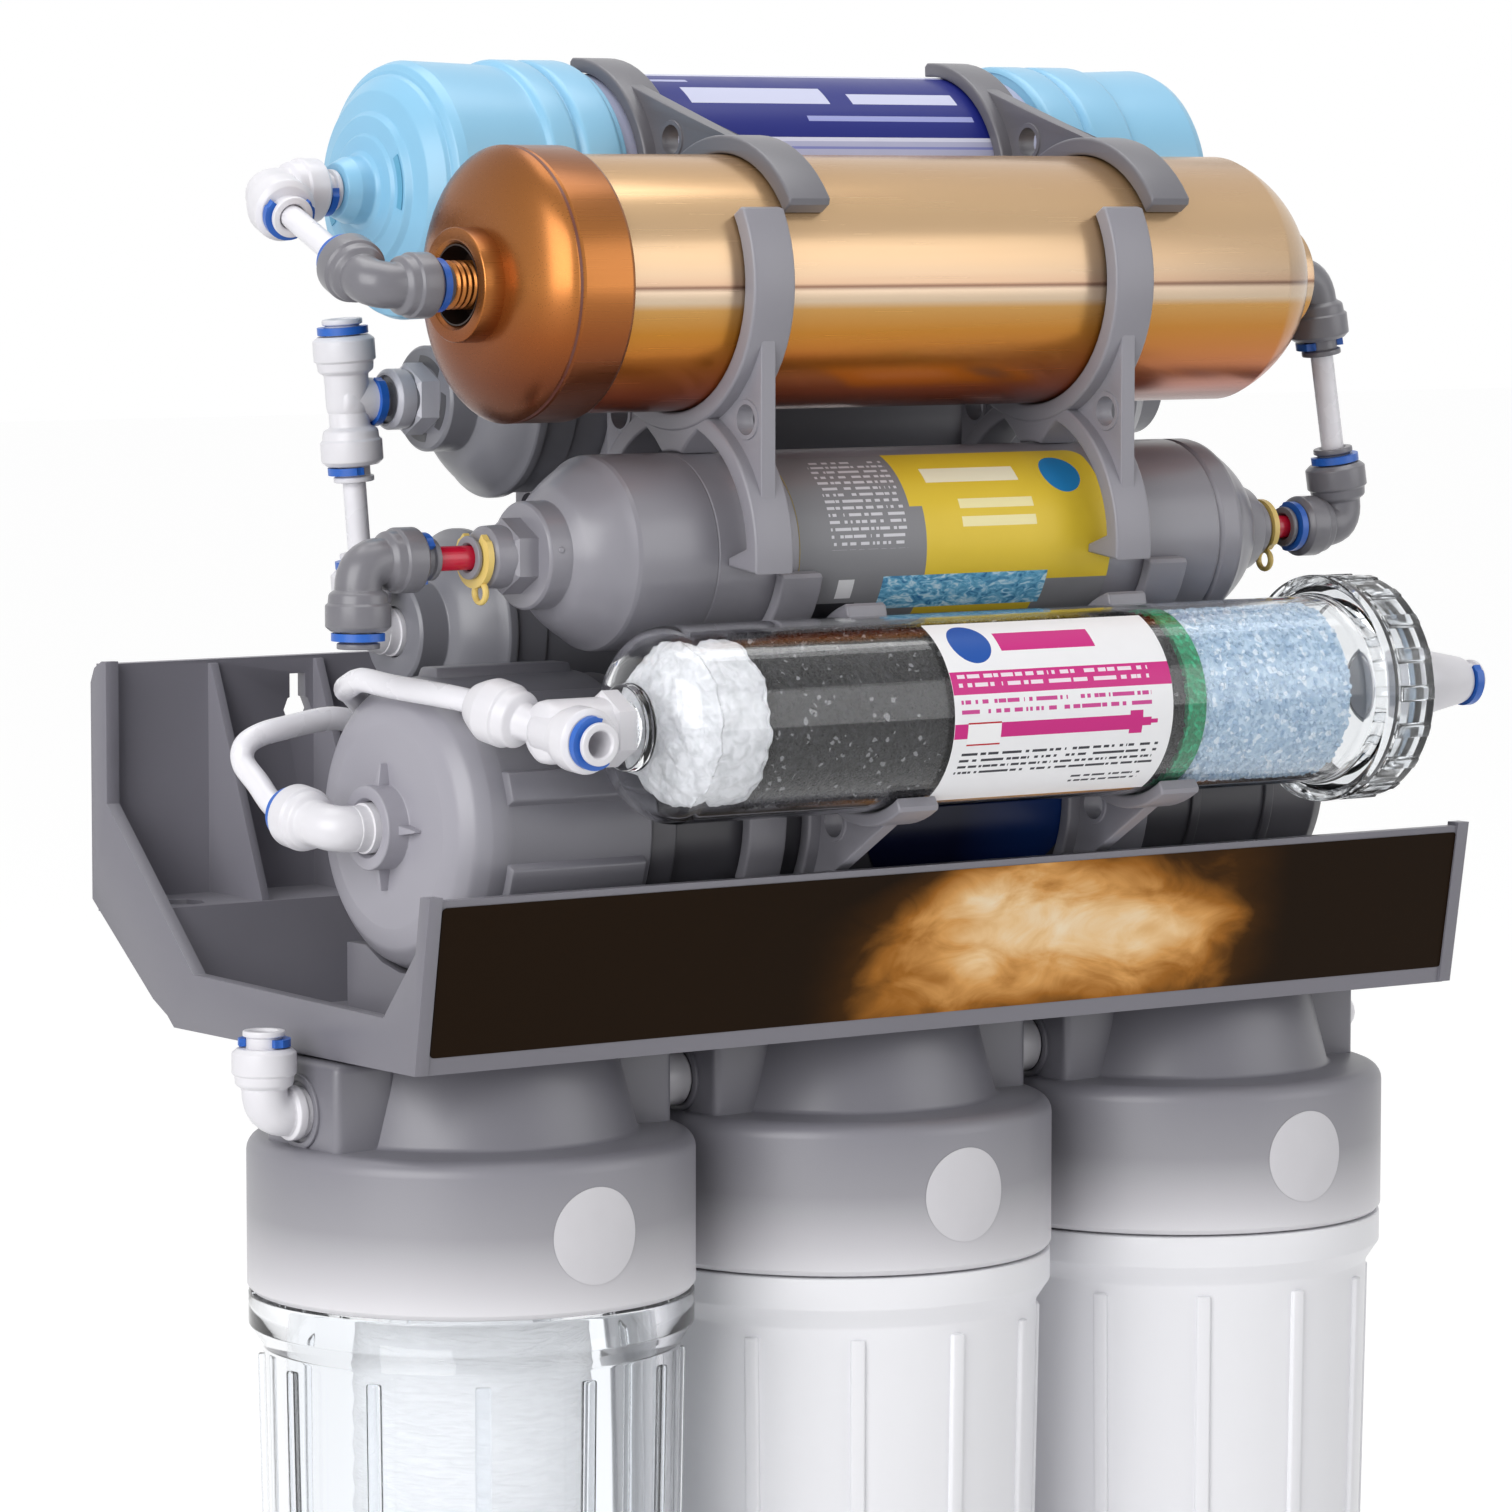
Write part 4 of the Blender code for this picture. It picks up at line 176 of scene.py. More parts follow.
reach = stageLook["floorReach"]
floorMesh = bpy.data.meshes.new("floor")
corners = [(-reach, -reach, 0), (reach, -reach, 0), (reach, reach, 0), (-reach, reach, 0)]
floorMesh.from_pydata(corners, [], [(0, 1, 2, 3)])
floor = linked(bpy.data.objects.new("floor", floorMesh))
floorMaterial, tree, shader = newMaterial("floorPaper")
dress(tree, shader, Base_Color=stageLook["floorColour"], Roughness=stageLook["floorRoughness"])
paper = addNode(tree, "ShaderNodeEmission", {"Strength": stageLook["floorWhite"]})
share = calc(tree, "MULTIPLY", seenPlainly(tree), stageLook["floorShare"])
blended = addNode(tree, "ShaderNodeMixShader", {0: share})
tree.links.new(shader.outputs[0], blended.inputs[1])
tree.links.new(paper.outputs[0], blended.inputs[2])
tree.links.new(blended.outputs[0], tree.nodes["Material Output"].inputs[0])
floorMesh.materials.append(floorMaterial)
print("camera, lamps and floor made")


# shader groups shared by the finishes
def newGroup(name, inputs, outputs, treeKind="ShaderNodeTree"):
    # an input is a name with its default value or its kind
    group = bpy.data.node_groups.new(name, treeKind)
    for label, value in inputs.items():
        kind = "Float" if isinstance(value, float) else value
        socket = group.interface.new_socket(label, in_out="INPUT", socket_type="NodeSocket" + kind)
        if isinstance(value, float):
            socket.default_value = value
    for label, kind in outputs.items():
        group.interface.new_socket(label, in_out="OUTPUT", socket_type="NodeSocket" + kind)
    return group, group.nodes.new("NodeGroupInput").outputs, group.nodes.new("NodeGroupOutput")


def makeMouldedGroup():
    # two tones mottled together, fine grain, and on what faces up dust specks with a painted sheen
    group, given, result = newGroup("mouldedSurface", {
        "Colour": "Color", "Second Colour": "Color", "Mottle Scale": 30.0, "Grain Scale": 2500.0,
        "Roughness": 0.4, "Roughness Spread": 0.1, "Dust And Sheen": 0.1,
    }, {"Colour": "Color", "Roughness": "Float", "Height": "Float"})
    spot = place(group)
    mottle = noise(group, spot, given["Mottle Scale"], 4.0)
    grain = noise(group, spot, given["Grain Scale"], 2.0)
    colour = mixColour(group, mottle, given["Colour"], given["Second Colour"])
    # what faces up is lightened: dust specks and a painted sheen from above
    upward = split(group, addNode(group, "ShaderNodeNewGeometry").outputs["Normal"])[2]
    specks = calc(group, "MULTIPLY", mapped(group, upward, 0.5, 1.0), grain)
    colour = mixColour(group, calc(group, "MULTIPLY", specks, given["Dust And Sheen"]), colour, (0.62, 0.61, 0.60))
    spread = calc(group, "SUBTRACT", mottle, 0.5)
    worn = calc(group, "MULTIPLY_ADD", spread, given["Roughness Spread"], given["Roughness"])
    feed(group, result, "Colour", colour)
    feed(group, result, "Roughness", worn)
    feed(group, result, "Height", grain)
    return group


def makeBlockGroup():
    # a mask that is 1 inside a rectangle of the label
    ends = {"Left": 0.0, "Right": 1.0, "Low": 0.0, "High": 1.0}
    group, given, result = newGroup("printedBlock", {"Place": "Vector", **ends}, {"Mask": "Float"})
    across, up = split(group, given["Place"])[:2]
    mask = calc(group, "GREATER_THAN", across, given["Left"])
    tests = ((across, "LESS_THAN", "Right"), (up, "GREATER_THAN", "Low"), (up, "LESS_THAN", "High"))
    for value, test, label in tests:
        mask = calc(group, "MULTIPLY", mask, calc(group, test, value, given[label]))
    feed(group, result, "Mask", mask)
    return group


def makeRuleGroup():
    # thin broken rules, as on the small print of a label but without letters
    values = {"Rows": 8.0, "Words": 30.0, "Weight": 0.4}
    group, given, result = newGroup("smallRules", {"Place": "Vector", **values}, {"Mask": "Float"})
    parts = split(group, given["Place"])
    rows = calc(group, "MULTIPLY", parts[1], given["Rows"])
    inRow = calc(group, "LESS_THAN", calc(group, "FRACT", rows), given["Weight"])
    spot = addNode(group, "ShaderNodeCombineXYZ", {0: calc(group, "MULTIPLY", parts[0], given["Words"])})
    rowStep, breakShare = 7.3, 0.44
    feed(group, spot, 1, calc(group, "MULTIPLY", calc(group, "FLOOR", rows), rowStep))
    breaks = noise(group, spot.outputs[0], 1.0, 0.0)
    words = calc(group, "GREATER_THAN", breaks, breakShare)
    feed(group, result, "Mask", calc(group, "MULTIPLY", inRow, words))
    return group


mouldedSurface = makeMouldedGroup()
printedBlock = makeBlockGroup()
smallRules = makeRuleGroup()


def mouldedPlastic(name, colour, second, roughness, mottle=30.0, bump=0.25, dustAndSheen=0.08, spread=0.12):
    material, tree, shader = newMaterial(name)
    surface = addNode(tree, "ShaderNodeGroup", {
        "Colour": (*colour, 1.0), "Second Colour": (*second, 1.0), "Mottle Scale": mottle,
        "Grain Scale": 2500.0, "Roughness": roughness, "Roughness Spread": spread, "Dust And Sheen": dustAndSheen,
    }, node_tree=mouldedSurface).outputs
    dress(tree, shader, Base_Color=surface["Colour"], Roughness=surface["Roughness"])
    bumped(tree, shader, surface["Height"], bump, 0.00008)
    return material, tree, shader, surface


plastics = {
    # colour, second colour, roughness and what differs from the usual
    "greyPlastic": ((0.222, 0.216, 0.246), (0.250, 0.244, 0.274), 0.38, {}),
    "greyGlossyPlastic": ((0.222, 0.216, 0.246), (0.250, 0.244, 0.274), 0.30,
                          {"spread": 0.03, "bump": 0.1, "dustAndSheen": 0.03}),
    "rearGreyPlastic": ((0.185, 0.185, 0.21), (0.21, 0.21, 0.235), 0.32, {}),
    "paleGreyPlastic": ((0.46, 0.46, 0.51), (0.50, 0.50, 0.55), 0.30, {}),
    "trayGreyPlastic": ((0.160, 0.155, 0.182), (0.180, 0.175, 0.202), 0.38, {}),
    # a darker copy of the clips' grey, painted shade on the top clips
    "topClipShadedGreyPlastic": ((0.112, 0.110, 0.126), (0.130, 0.127, 0.144), 0.38, {}),
    # a darker copy of the grey, painted shade on the membrane housing under the clear cartridge
    "housingShadedGreyPlastic": ((0.060, 0.058, 0.068), (0.076, 0.074, 0.085), 0.38, {}),
    # painted shade for the slots in the rear hubs
    "slotShadeGreyPlastic": ((0.065, 0.065, 0.072), (0.08, 0.08, 0.088), 0.38, {}),
    "fittingGreyPlastic": ((0.145, 0.142, 0.160), (0.168, 0.164, 0.183), 0.30,
                           {"mottle": 90.0, "bump": 0.12}),
    "fittingWhitePlastic": ((0.66, 0.65, 0.69), (0.73, 0.72, 0.75), 0.32,
                            {"mottle": 80.0, "bump": 0.12, "dustAndSheen": 0.0}),
    "whiteTube": ((0.74, 0.73, 0.77), (0.78, 0.77, 0.81), 0.28, {"mottle": 60.0, "bump": 0.08, "dustAndSheen": 0.0}),
    "redTube": ((0.52, 0.006, 0.03), (0.60, 0.012, 0.045), 0.20, {"mottle": 90.0, "bump": 0.05, "dustAndSheen": 0.0}),
    "blueLockingClip": ((0.01, 0.09, 0.42), (0.02, 0.13, 0.52), 0.35, {"mottle": 150.0, "dustAndSheen": 0.0}),
    "yellowLockingClip": ((0.70, 0.50, 0.13), (0.80, 0.60, 0.20), 0.38, {"mottle": 150.0, "dustAndSheen": 0.0}),
    "skyBluePlastic": ((0.215, 0.475, 0.68), (0.255, 0.52, 0.72), 0.33,
                       {"mottle": 25.0, "bump": 0.2, "dustAndSheen": 0.0}),
    # painted shade for the slots in the blue caps
    "slotShadeBluePlastic": ((0.10, 0.34, 0.52), (0.13, 0.38, 0.56), 0.4, {"dustAndSheen": 0.0}),
    "lilacWhitePlastic": ((0.42, 0.44, 0.60), (0.48, 0.50, 0.66), 0.30, {"mottle": 20.0, "dustAndSheen": 0.0}),
    "whiteSumpPlastic": ((0.78, 0.78, 0.81), (0.82, 0.82, 0.85), 0.36,
                         {"mottle": 15.0, "bump": 0.2, "dustAndSheen": 0.0}),
    "sealRubber": ((0.012, 0.012, 0.013), (0.025, 0.025, 0.026), 0.55, {"mottle": 200.0, "dustAndSheen": 0.0}),
    "redBrownLine": ((0.10, 0.018, 0.008), (0.14, 0.03, 0.012), 0.4, {"mottle": 300.0, "dustAndSheen": 0.0}),
    # a near black lining, painted shade down the copper vessel's well
    "paintedWellShade": ((0.010, 0.005, 0.003), (0.03, 0.012, 0.006), 0.45, {"mottle": 400.0, "dustAndSheen": 0.0}),
}
finish = {name: mouldedPlastic(name, *look[:3], **look[3])[0] for name, look in plastics.items()}
greyPlastic, sealRubber, clipBlue = finish["greyPlastic"], finish["sealRubber"], finish["blueLockingClip"]
fittingWhite = finish["fittingWhitePlastic"]


def paintedLightPlastic(name, axisIndex, start, end, stops, roughness, dustAndSheen):
    # a grey plastic whose tone runs along one axis, as painted light
    first, second = (0.24, 0.236, 0.262), (0.27, 0.266, 0.292)
    material, tree, shader, surface = mouldedPlastic(name, first, second, roughness, dustAndSheen=dustAndSheen)
    share = mapped(tree, split(tree, place(tree))[axisIndex], start, end)
    dress(tree, shader, Base_Color=mixColour(tree, 0.10, ramp(tree, share, stops), surface["Colour"]))
    return material


# the heads are painted lighter towards their rims, a painted fade of light; the membrane cap is painted
# lighter towards its face, painted light from the left
headPlastic = paintedLightPlastic("headPlastic", 2, 0.238, 0.303, (
    (0.0, (0.74, 0.73, 0.76)), (0.12, (0.56, 0.55, 0.58)), (0.33, (0.29, 0.285, 0.31)),
    (0.62, (0.20, 0.196, 0.225)), (1.0, (0.125, 0.122, 0.142)),
), 0.38, 0.06)
membraneCapPlastic = paintedLightPlastic("membraneCapPlastic", 0, -0.1480, -0.1340, (
    (0.0, (0.34, 0.33, 0.375)), (0.35, (0.27, 0.265, 0.30)), (1.0, (0.150, 0.147, 0.170)),
), 0.36, 0.04)


def clearFinish(name, tint, roughness):
    material, tree, shader = newMaterial(name)
    dress(tree, shader, Base_Color=(*tint, 1.0), Roughness=roughness, IOR=1.36, Transmission_Weight=1.0)
    bumped(tree, shader, noise(tree, place(tree), 45.0, 1.0), 0.10, 0.0006)
    return material


clearPlastic = clearFinish("clearPlastic", (0.965, 0.975, 0.985), 0.02)
clearCapPlastic = clearFinish("clearCapPlastic", (0.90, 0.915, 0.93), 0.12)
clearSumpPlastic = clearFinish("clearSumpPlastic", (0.95, 0.965, 0.985), 0.03)


def paintedCopperLight(name, stops, roughness, edge):
    # a polished surface whose tone runs with the height on the vessel as painted reflections and highlights,
    # with painted shade falling off at its edges
    middle, radius = 0.500794, 0.0333
    material, tree, shader = newMaterial(name)
    spot = place(tree)
    tone = ramp(tree, mapped(tree, split(tree, spot)[2], middle - radius, middle + radius), stops)
    clouds = calc(tree, "MULTIPLY", noise(tree, spot, 22.0, 3.0), 0.12)
    tone = mixColour(tree, clouds, tone, (0.50, 0.20, 0.04))
    # painted shade on the edges that turn away from the camera
    facing = addNode(tree, "ShaderNodeLayerWeight", {"Blend": 0.35}).outputs["Facing"]
    tone = mixColour(tree, calc(tree, "MULTIPLY", facing, edge), tone, (0.16, 0.045, 0.012))
    stretched = addNode(tree, "ShaderNodeMapping", {"Vector": spot, "Scale": (0.4, 30.0, 30.0)}).outputs[0]
    scratches = noise(tree, stretched, 60.0, 3.0)
    worn = calc(tree, "MULTIPLY_ADD", scratches, 0.12, roughness - 0.06)
    dress(tree, shader, Base_Color=tone, Metallic=0.72, Roughness=worn)
    bumped(tree, shader, scratches, 0.05, 0.00005)
    return material


# the body: painted reflections, dark below, a painted highlight band with a dark line across it, tan above
copperBodyPaintedLight = paintedCopperLight("polishedCopper", (
    (0.00, (0.16, 0.026, 0.008)), (0.07, (0.40, 0.075, 0.018)), (0.18, (0.46, 0.13, 0.012)),
    (0.31, (0.46, 0.185, 0.016)), (0.40, (0.50, 0.27, 0.075)), (0.43, (0.56, 0.44, 0.31)),
    (0.470, (0.58, 0.45, 0.33)), (0.487, (0.12, 0.060, 0.042)), (0.500, (0.40, 0.27, 0.18)),
    (0.54, (0.42, 0.305, 0.20)), (0.60, (0.47, 0.33, 0.20)), (0.80, (0.54, 0.365, 0.20)),
    (1.00, (0.46, 0.28, 0.13)),
), 0.25, 0.0)
# the dome: painted shade, darkest at its bottom and its edges
copperDomePaintedLight = paintedCopperLight("polishedCopperDome", (
    (0.00, (0.05, 0.010, 0.003)), (0.12, (0.10, 0.018, 0.004)), (0.30, (0.24, 0.060, 0.008)),
    (0.50, (0.38, 0.135, 0.028)), (0.72, (0.31, 0.112, 0.024)), (1.00, (0.23, 0.080, 0.016)),
), 0.29, 0.85)


def granules(name, scale, roughness, bump, tones, specular=0.4):
    # crushed grains: one tone per cell, a few bright ones
    material, tree, shader = newMaterial(name)
    cells = addNode(tree, "ShaderNodeTexVoronoi", {"Vector": place(tree), "Scale": scale}).outputs
    tone = addNode(tree, "ShaderNodeSeparateColor", {0: cells["Color"]}).outputs[0]
    dress(tree, shader, Base_Color=ramp(tree, tone, tones, "CONSTANT"), Specular_IOR_Level=specular,
          Roughness=calc(tree, "MULTIPLY_ADD", tone, 0.3, roughness))
    bumped(tree, shader, cells["Distance"], bump, 0.0006)
    return material


def fibre(name, scale, stretch, bump, tones):
    material, tree, shader = newMaterial(name)
    pulled = addNode(tree, "ShaderNodeMapping", {"Vector": place(tree), "Scale": stretch}).outputs[0]
    strands = noise(tree, pulled, scale, 5.0, distortion=1.2)
    dress(tree, shader, Base_Color=ramp(tree, strands, tones), Roughness=0.9, Sheen_Weight=0.3)
    bumped(tree, shader, strands, bump, 0.0008)
    return material


carbonGrains = granules("carbonGranules", 950.0, 0.35, 0.9, (
    (0.0, (0.006, 0.006, 0.007)), (0.45, (0.014, 0.014, 0.016)), (0.82, (0.030, 0.030, 0.034)),
    (0.965, (0.26, 0.26, 0.27)),
), 0.2)
mineralGrains = granules("paleMineralGranules", 700.0, 0.6, 0.7, (
    (0.0, (0.36, 0.50, 0.66)), (0.3, (0.44, 0.58, 0.72)), (0.65, (0.54, 0.67, 0.80)),
    (0.9, (0.72, 0.80, 0.88)),
))
spongeGreen = granules("greenSponge", 900.0, 0.6, 1.0, (
    (0.0, (0.004, 0.20, 0.08)), (0.5, (0.008, 0.30, 0.13)), (0.85, (0.02, 0.42, 0.20)),
))
woolFibre = fibre("cottonWool", 260.0, (1.0, 1.0, 1.0), 0.7, (
    (0.3, (0.58, 0.59, 0.61)), (0.62, (0.80, 0.80, 0.83)),
))
spunFibre = fibre("spunFibre", 120.0, (1.0, 1.0, 6.0), 0.6, (
    (0.3, (0.84, 0.845, 0.855)), (0.65, (0.92, 0.925, 0.935)),
))


# labels: their places run from 0 to 1 across and up
def printed(tree, uv, left, low, right, high):
    values = {"Place": uv, "Left": left, "Right": right, "Low": low, "High": high}
    return addNode(tree, "ShaderNodeGroup", values, node_tree=printedBlock).outputs[0]


def labelPaper(name, ground, blocks=(), rules=(), roughness=0.32):
    # blocks: left, low, right, high and colour; rules add words, rows and weight
    material, tree, shader = newMaterial(name)
    uv = place(tree, "UV")
    blotch = noise(tree, place(tree), 120.0, 2.0)
    colour = mixColour(tree, blotch, ground, [value * 0.94 for value in ground])
    for *ends, tone in blocks:
        colour = mixColour(tree, printed(tree, uv, *ends), colour, tone)
    for *ends, tone, words, rows, weight in rules:
        values = {"Place": uv, "Rows": rows, "Words": words, "Weight": weight}
        lines = addNode(tree, "ShaderNodeGroup", values, node_tree=smallRules).outputs[0]
        colour = mixColour(tree, calc(tree, "MULTIPLY", printed(tree, uv, *ends), lines), colour, tone)
    worn = calc(tree, "MULTIPLY_ADD", blotch, 0.1, roughness - 0.05)
    dress(tree, shader, Base_Color=colour, Specular_IOR_Level=0.22, Roughness=worn)
    bumped(tree, shader, blotch, 0.08, 0.0001)
    return material, tree, shader, colour, uv


def withDisc(tree, shader, colour, uv, centre, stretch, radius, tone):
    # a round spot on a label whose sides differ
    away = addNode(tree, "ShaderNodeVectorMath", {0: uv, 1: (*centre, 0.0)}, operation="SUBTRACT").outputs[0]
    values = {0: away, 1: (stretch, 1.0, 0.0)}
    scaled = addNode(tree, "ShaderNodeVectorMath", values, operation="MULTIPLY").outputs[0]
    far = addNode(tree, "ShaderNodeVectorMath", {0: scaled}, operation="LENGTH").outputs["Value"]
    dress(tree, shader, Base_Color=mixColour(tree, calc(tree, "LESS_THAN", far, radius), colour, tone))


# shape helpers: a shape is a dictionary of points, faces, material index and, for labels, label places
def polar(centre, distance, degrees):
    angle = math.radians(degrees)
    return (centre[0] + distance * math.cos(angle), centre[1] + distance * math.sin(angle))


def bow(start, corner, end, steps):
    # points from start to end on a bend pulled toward the corner
    made = []
    for share in (step / steps for step in range(steps + 1)):
        made.append((1 - share) ** 2 * start + 2 * share * (1 - share) * corner + share ** 2 * end)
    return made


def softened(points, radius=0.0003, parts=3):
    # rounds the corners of an outline; a third value in a point is its own radius
    straight, sharpest, mostOfSide, shortest = math.radians(174), math.radians(1), 0.48, 1e-7
    made = [tuple(Vector(points[0][:2]))]
    for before, point, after in zip(points, points[1:], points[2:]):
        here = Vector(point[:2])
        wanted = point[2] if len(point) > 2 else radius
        toBefore, toAfter = Vector(before[:2]) - here, Vector(after[:2]) - here
        sides = (toBefore.length, toAfter.length)
        angle = toBefore.angle(toAfter) if wanted > 0 and min(sides) >= shortest else 0.0
        if not sharpest <= angle <= straight:
            made.append(tuple(here))
            continue
        reach = min(wanted / math.tan(angle / 2), *(side * mostOfSide for side in sides))
        start, end = (here + way.normalized() * reach for way in (toBefore, toAfter))
        made += [tuple(spot) for spot in bow(start, here, end, parts)]
    return made + [tuple(Vector(points[-1][:2]))]


def turnedShape(outline, steps=96, closed=False, slot=0):
    # turned about local Z from (radius, height) points
    points, faces, rings = [], [], []
    turns = [2 * math.pi * index / steps for index in range(steps)]
    for radius, height in outline:
        if abs(radius) < 1e-9:
            rings.append([len(points)] * steps)
            points.append((0.0, 0.0, height))
            continue
        rings.append(list(range(len(points), len(points) + steps)))
        points += [(radius * math.cos(turn), radius * math.sin(turn), height) for turn in turns]
    pairs = list(zip(rings, rings[1:])) + ([(rings[-1], rings[0])] if closed else [])
    for low, high in pairs:
        for index in range(steps):
            after = (index + 1) % steps
            corners = tuple(dict.fromkeys((low[index], low[after], high[after], high[index])))
            if len(corners) > 2:
                faces.append(corners)
    return {"points": points, "faces": faces, "slot": slot}


def moved(shape, matrix):
    return {**shape, "points": [tuple(matrix @ Vector(point)) for point in shape["points"]]}


def shifted(shape, *distance):
    return moved(shape, Matrix.Translation(distance))


def aimed(shape, origin, direction, turn=0.0):
    matrix = Matrix.Translation(origin) @ Vector(direction).to_track_quat("Z", "Y").to_matrix().to_4x4()
    return moved(shape, matrix @ Matrix.Rotation(math.radians(turn), 4, "Z"))


def alongX(shape, x, axis, turn=0.0, side=1):
    return aimed(shape, (x, *axis), (side, 0, 0), turn)


def turnedX(outline, axis, steps=128, closed=False, slot=0):
    # turned about an axis along X from (x, radius) points
    return alongX(turnedShape([(radius, along) for along, radius in outline], steps, closed, slot), 0.0, axis)


def roundRing(centre, width, height, half, steps):
    # the closed outline of a ring's section; half is the number of its points in half a turn
    turns = [math.pi * step / half for step in range(2 * half)]
    points = [(centre[0] + width * math.cos(turn), centre[1] + height * math.sin(turn)) for turn in turns]
    return turnedShape(points, steps, closed=True)


def grabbed(work):
    bmesh.ops.remove_doubles(work, verts=work.verts, dist=1e-7)
    work.verts.index_update()
    faces = [[corner.index for corner in face.verts] for face in work.faces]
    shape = {"points": [tuple(corner.co) for corner in work.verts], "faces": faces, "slot": 0}
    work.free()
    return shape


def blockShape(low, high, bevel, parts=2):
    work = bmesh.new()
    bmesh.ops.create_cube(work, size=1.0)
    bmesh.ops.scale(work, verts=work.verts, vec=[top - bottom for bottom, top in zip(low, high)])
    bmesh.ops.translate(work, verts=work.verts, vec=[(top + bottom) / 2 for bottom, top in zip(low, high)])
    bmesh.ops.bevel(work, geom=list(work.edges), offset=bevel, segments=parts, profile=0.5, affect="EDGES")
    return grabbed(work)


def plainMesh(item):
    # the evaluated object as a mesh of its own
    bpy.context.view_layer.update()
    graph = bpy.context.evaluated_depsgraph_get()
    return bpy.data.meshes.new_from_object(item.evaluated_get(graph), depsgraph=graph)


def curveShape(lines, closed, **settings):
    curve = bpy.data.curves.new("outline", "CURVE")
    for key, value in settings.items():
        setattr(curve, key, value)
    for line in lines:
        spline = curve.splines.new("POLY")
        spline.points.add(len(line) - 1)
        for knot, spot in zip(spline.points, line):
            knot.co = (*spot, 0.0)[:3] + (1.0,)
        spline.use_cyclic_u = closed
    item = linked(bpy.data.objects.new("outline", curve))
    mesh = plainMesh(item)
    work = bmesh.new()
    work.from_mesh(mesh)
    bpy.data.objects.remove(item)
    bpy.data.curves.remove(curve)
    bpy.data.meshes.remove(mesh)
    return grabbed(work)


def plateShape(outlines, thickness, centreX, bevel, parts=2):
    # a plate across X with rounded rims, from (y, z) outlines, the first solid and the rest holes
    shape = curveShape(outlines, True, dimensions="2D", fill_mode="BOTH", extrude=thickness / 2 - bevel,
                       bevel_depth=bevel, bevel_resolution=parts, offset=-bevel)
    return {**shape, "points": [(centreX + z, x, y) for x, y, z in shape["points"]]}


tubeRadius = 0.003175


def tubeShape(route, radius=tubeRadius, sides=6):
    settings = {"bevel_depth": radius, "bevel_resolution": sides, "use_fill_caps": True}
    return curveShape([route], False, dimensions="3D", **settings)


def wrappedPatch(spotOf, columns, rows, corner=(0.0, 0.0), thickness=0.00015):
    # a thin sheet laid on a surface; spotOf(u, v, lift) gives its points, v 0 is the bottom edge
    cornerSteps, levels = 5, [0.0]
    if corner[1]:
        turns = [math.pi / 2 * step / cornerSteps for step in range(1, cornerSteps + 1)]
        levels += [corner[1] * (1 - math.cos(turn)) for turn in turns]
    inside = [1 - level for level in reversed(levels)]
    low, high = levels[-1], inside[0]
    levels += [low + (high - low) * step / rows for step in range(1, rows)] + inside
    points, places, faces = [], [], []
    for lift in (thickness, 0.0):
        for level in levels:
            edge = min(level, 1 - level)
            inset = 0.0
            if corner[1] and edge < corner[1]:
                inset = corner[0] * (1 - math.sqrt(max(0.0, 1 - (1 - edge / corner[1]) ** 2)))
            for column in range(columns + 1):
                across = inset + (1 - 2 * inset) * column / columns
                points.append(tuple(spotOf(across, level, lift)))
                places.append((across, level))
    wide, tall = columns + 1, len(levels)
    under = wide * tall
    for row in range(tall - 1):
        for column in range(columns):
            first = row * wide + column
            faces.append((first, first + 1, first + wide + 1, first + wide))
            faces.append((first + under, first + wide + under, first + wide + 1 + under, first + 1 + under))
    rim = [(0, column) for column in range(columns)] + [(row, columns) for row in range(tall - 1)]
    rim += [(tall - 1, column) for column in range(columns, 0, -1)]
    rim += [(row, 0) for row in range(tall - 1, 0, -1)]
    corners = [row * wide + column for row, column in rim]
    for first, second in zip(corners, corners[1:] + corners[:1]):
        faces.append((first, first + under, second + under, second))
    return {"points": points, "faces": faces, "slot": 0, "places": places}


def slotPatch(spotOf, thickness):
    # a thin patch in the piece's second finish, without label places; it is painted shade standing for a
    # slot's depth
    shape = wrappedPatch(spotOf, 2, 10, thickness=thickness)
    return {"points": shape["points"], "faces": shape["faces"], "slot": 1}


def onBarrel(axis, radius, startX, endX, lowAngle, highAngle):
    # label places on a vessel along X; the angles are seen along X, 90 is the top and 180 the front
    def spot(u, v, lift):
        spotY, spotZ = polar(axis, radius + lift, lowAngle + (highAngle - lowAngle) * v)
        return (startX + (endX - startX) * u, spotY, spotZ)
    return spot


def squareOnDisc(u, v):
    # the places of a square label as places on a round one
    a, b = 2 * u - 1, 2 * v - 1
    return a * math.sqrt(1 - b * b / 2), b * math.sqrt(1 - a * a / 2)


def meshOf(name, shapes, materials, sharpAngle):
    points, faces, slots, places = [], [], [], []
    for shape in shapes:
        first = len(points)
        points += shape["points"]
        places += shape.get("places") or [(0.0, 0.0)] * len(shape["points"])
        faces += [[first + index for index in face] for face in shape["faces"]]
        slots += [shape.get("slot", 0)] * len(shape["faces"])
    mesh = bpy.data.meshes.new(name)
    mesh.from_pydata(points, [], faces)
    mesh.polygons.foreach_set("material_index", slots)
    if any("places" in shape for shape in shapes):
        layer = mesh.uv_layers.new(name="label")
        for loop in mesh.loops:
            layer.data[loop.index].uv = places[loop.vertex_index]
    for material in materials:
        mesh.materials.append(material)
    work = bmesh.new()
    work.from_mesh(mesh)
    bmesh.ops.recalc_face_normals(work, faces=work.faces)
    work.to_mesh(mesh)
    work.free()
    mesh.shade_smooth()
    mesh.set_sharp_from_angle(angle=math.radians(sharpAngle))
    return mesh


def addPiece(name, shapes, materials, slot=None, stands=(), body="frame", sharpAngle=34.0):
    item = linked(bpy.data.objects.new(name, meshOf(name, shapes, materials, sharpAngle)))
    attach(item, body)
    if stands:
        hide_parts(*stands)


# geometry node trees
def newTree(name, inputs):
    ends = {"Geometry": "Geometry"}
    return newGroup(name, {**ends, **inputs, "Material": "Material"}, ends, "GeometryNodeTree")


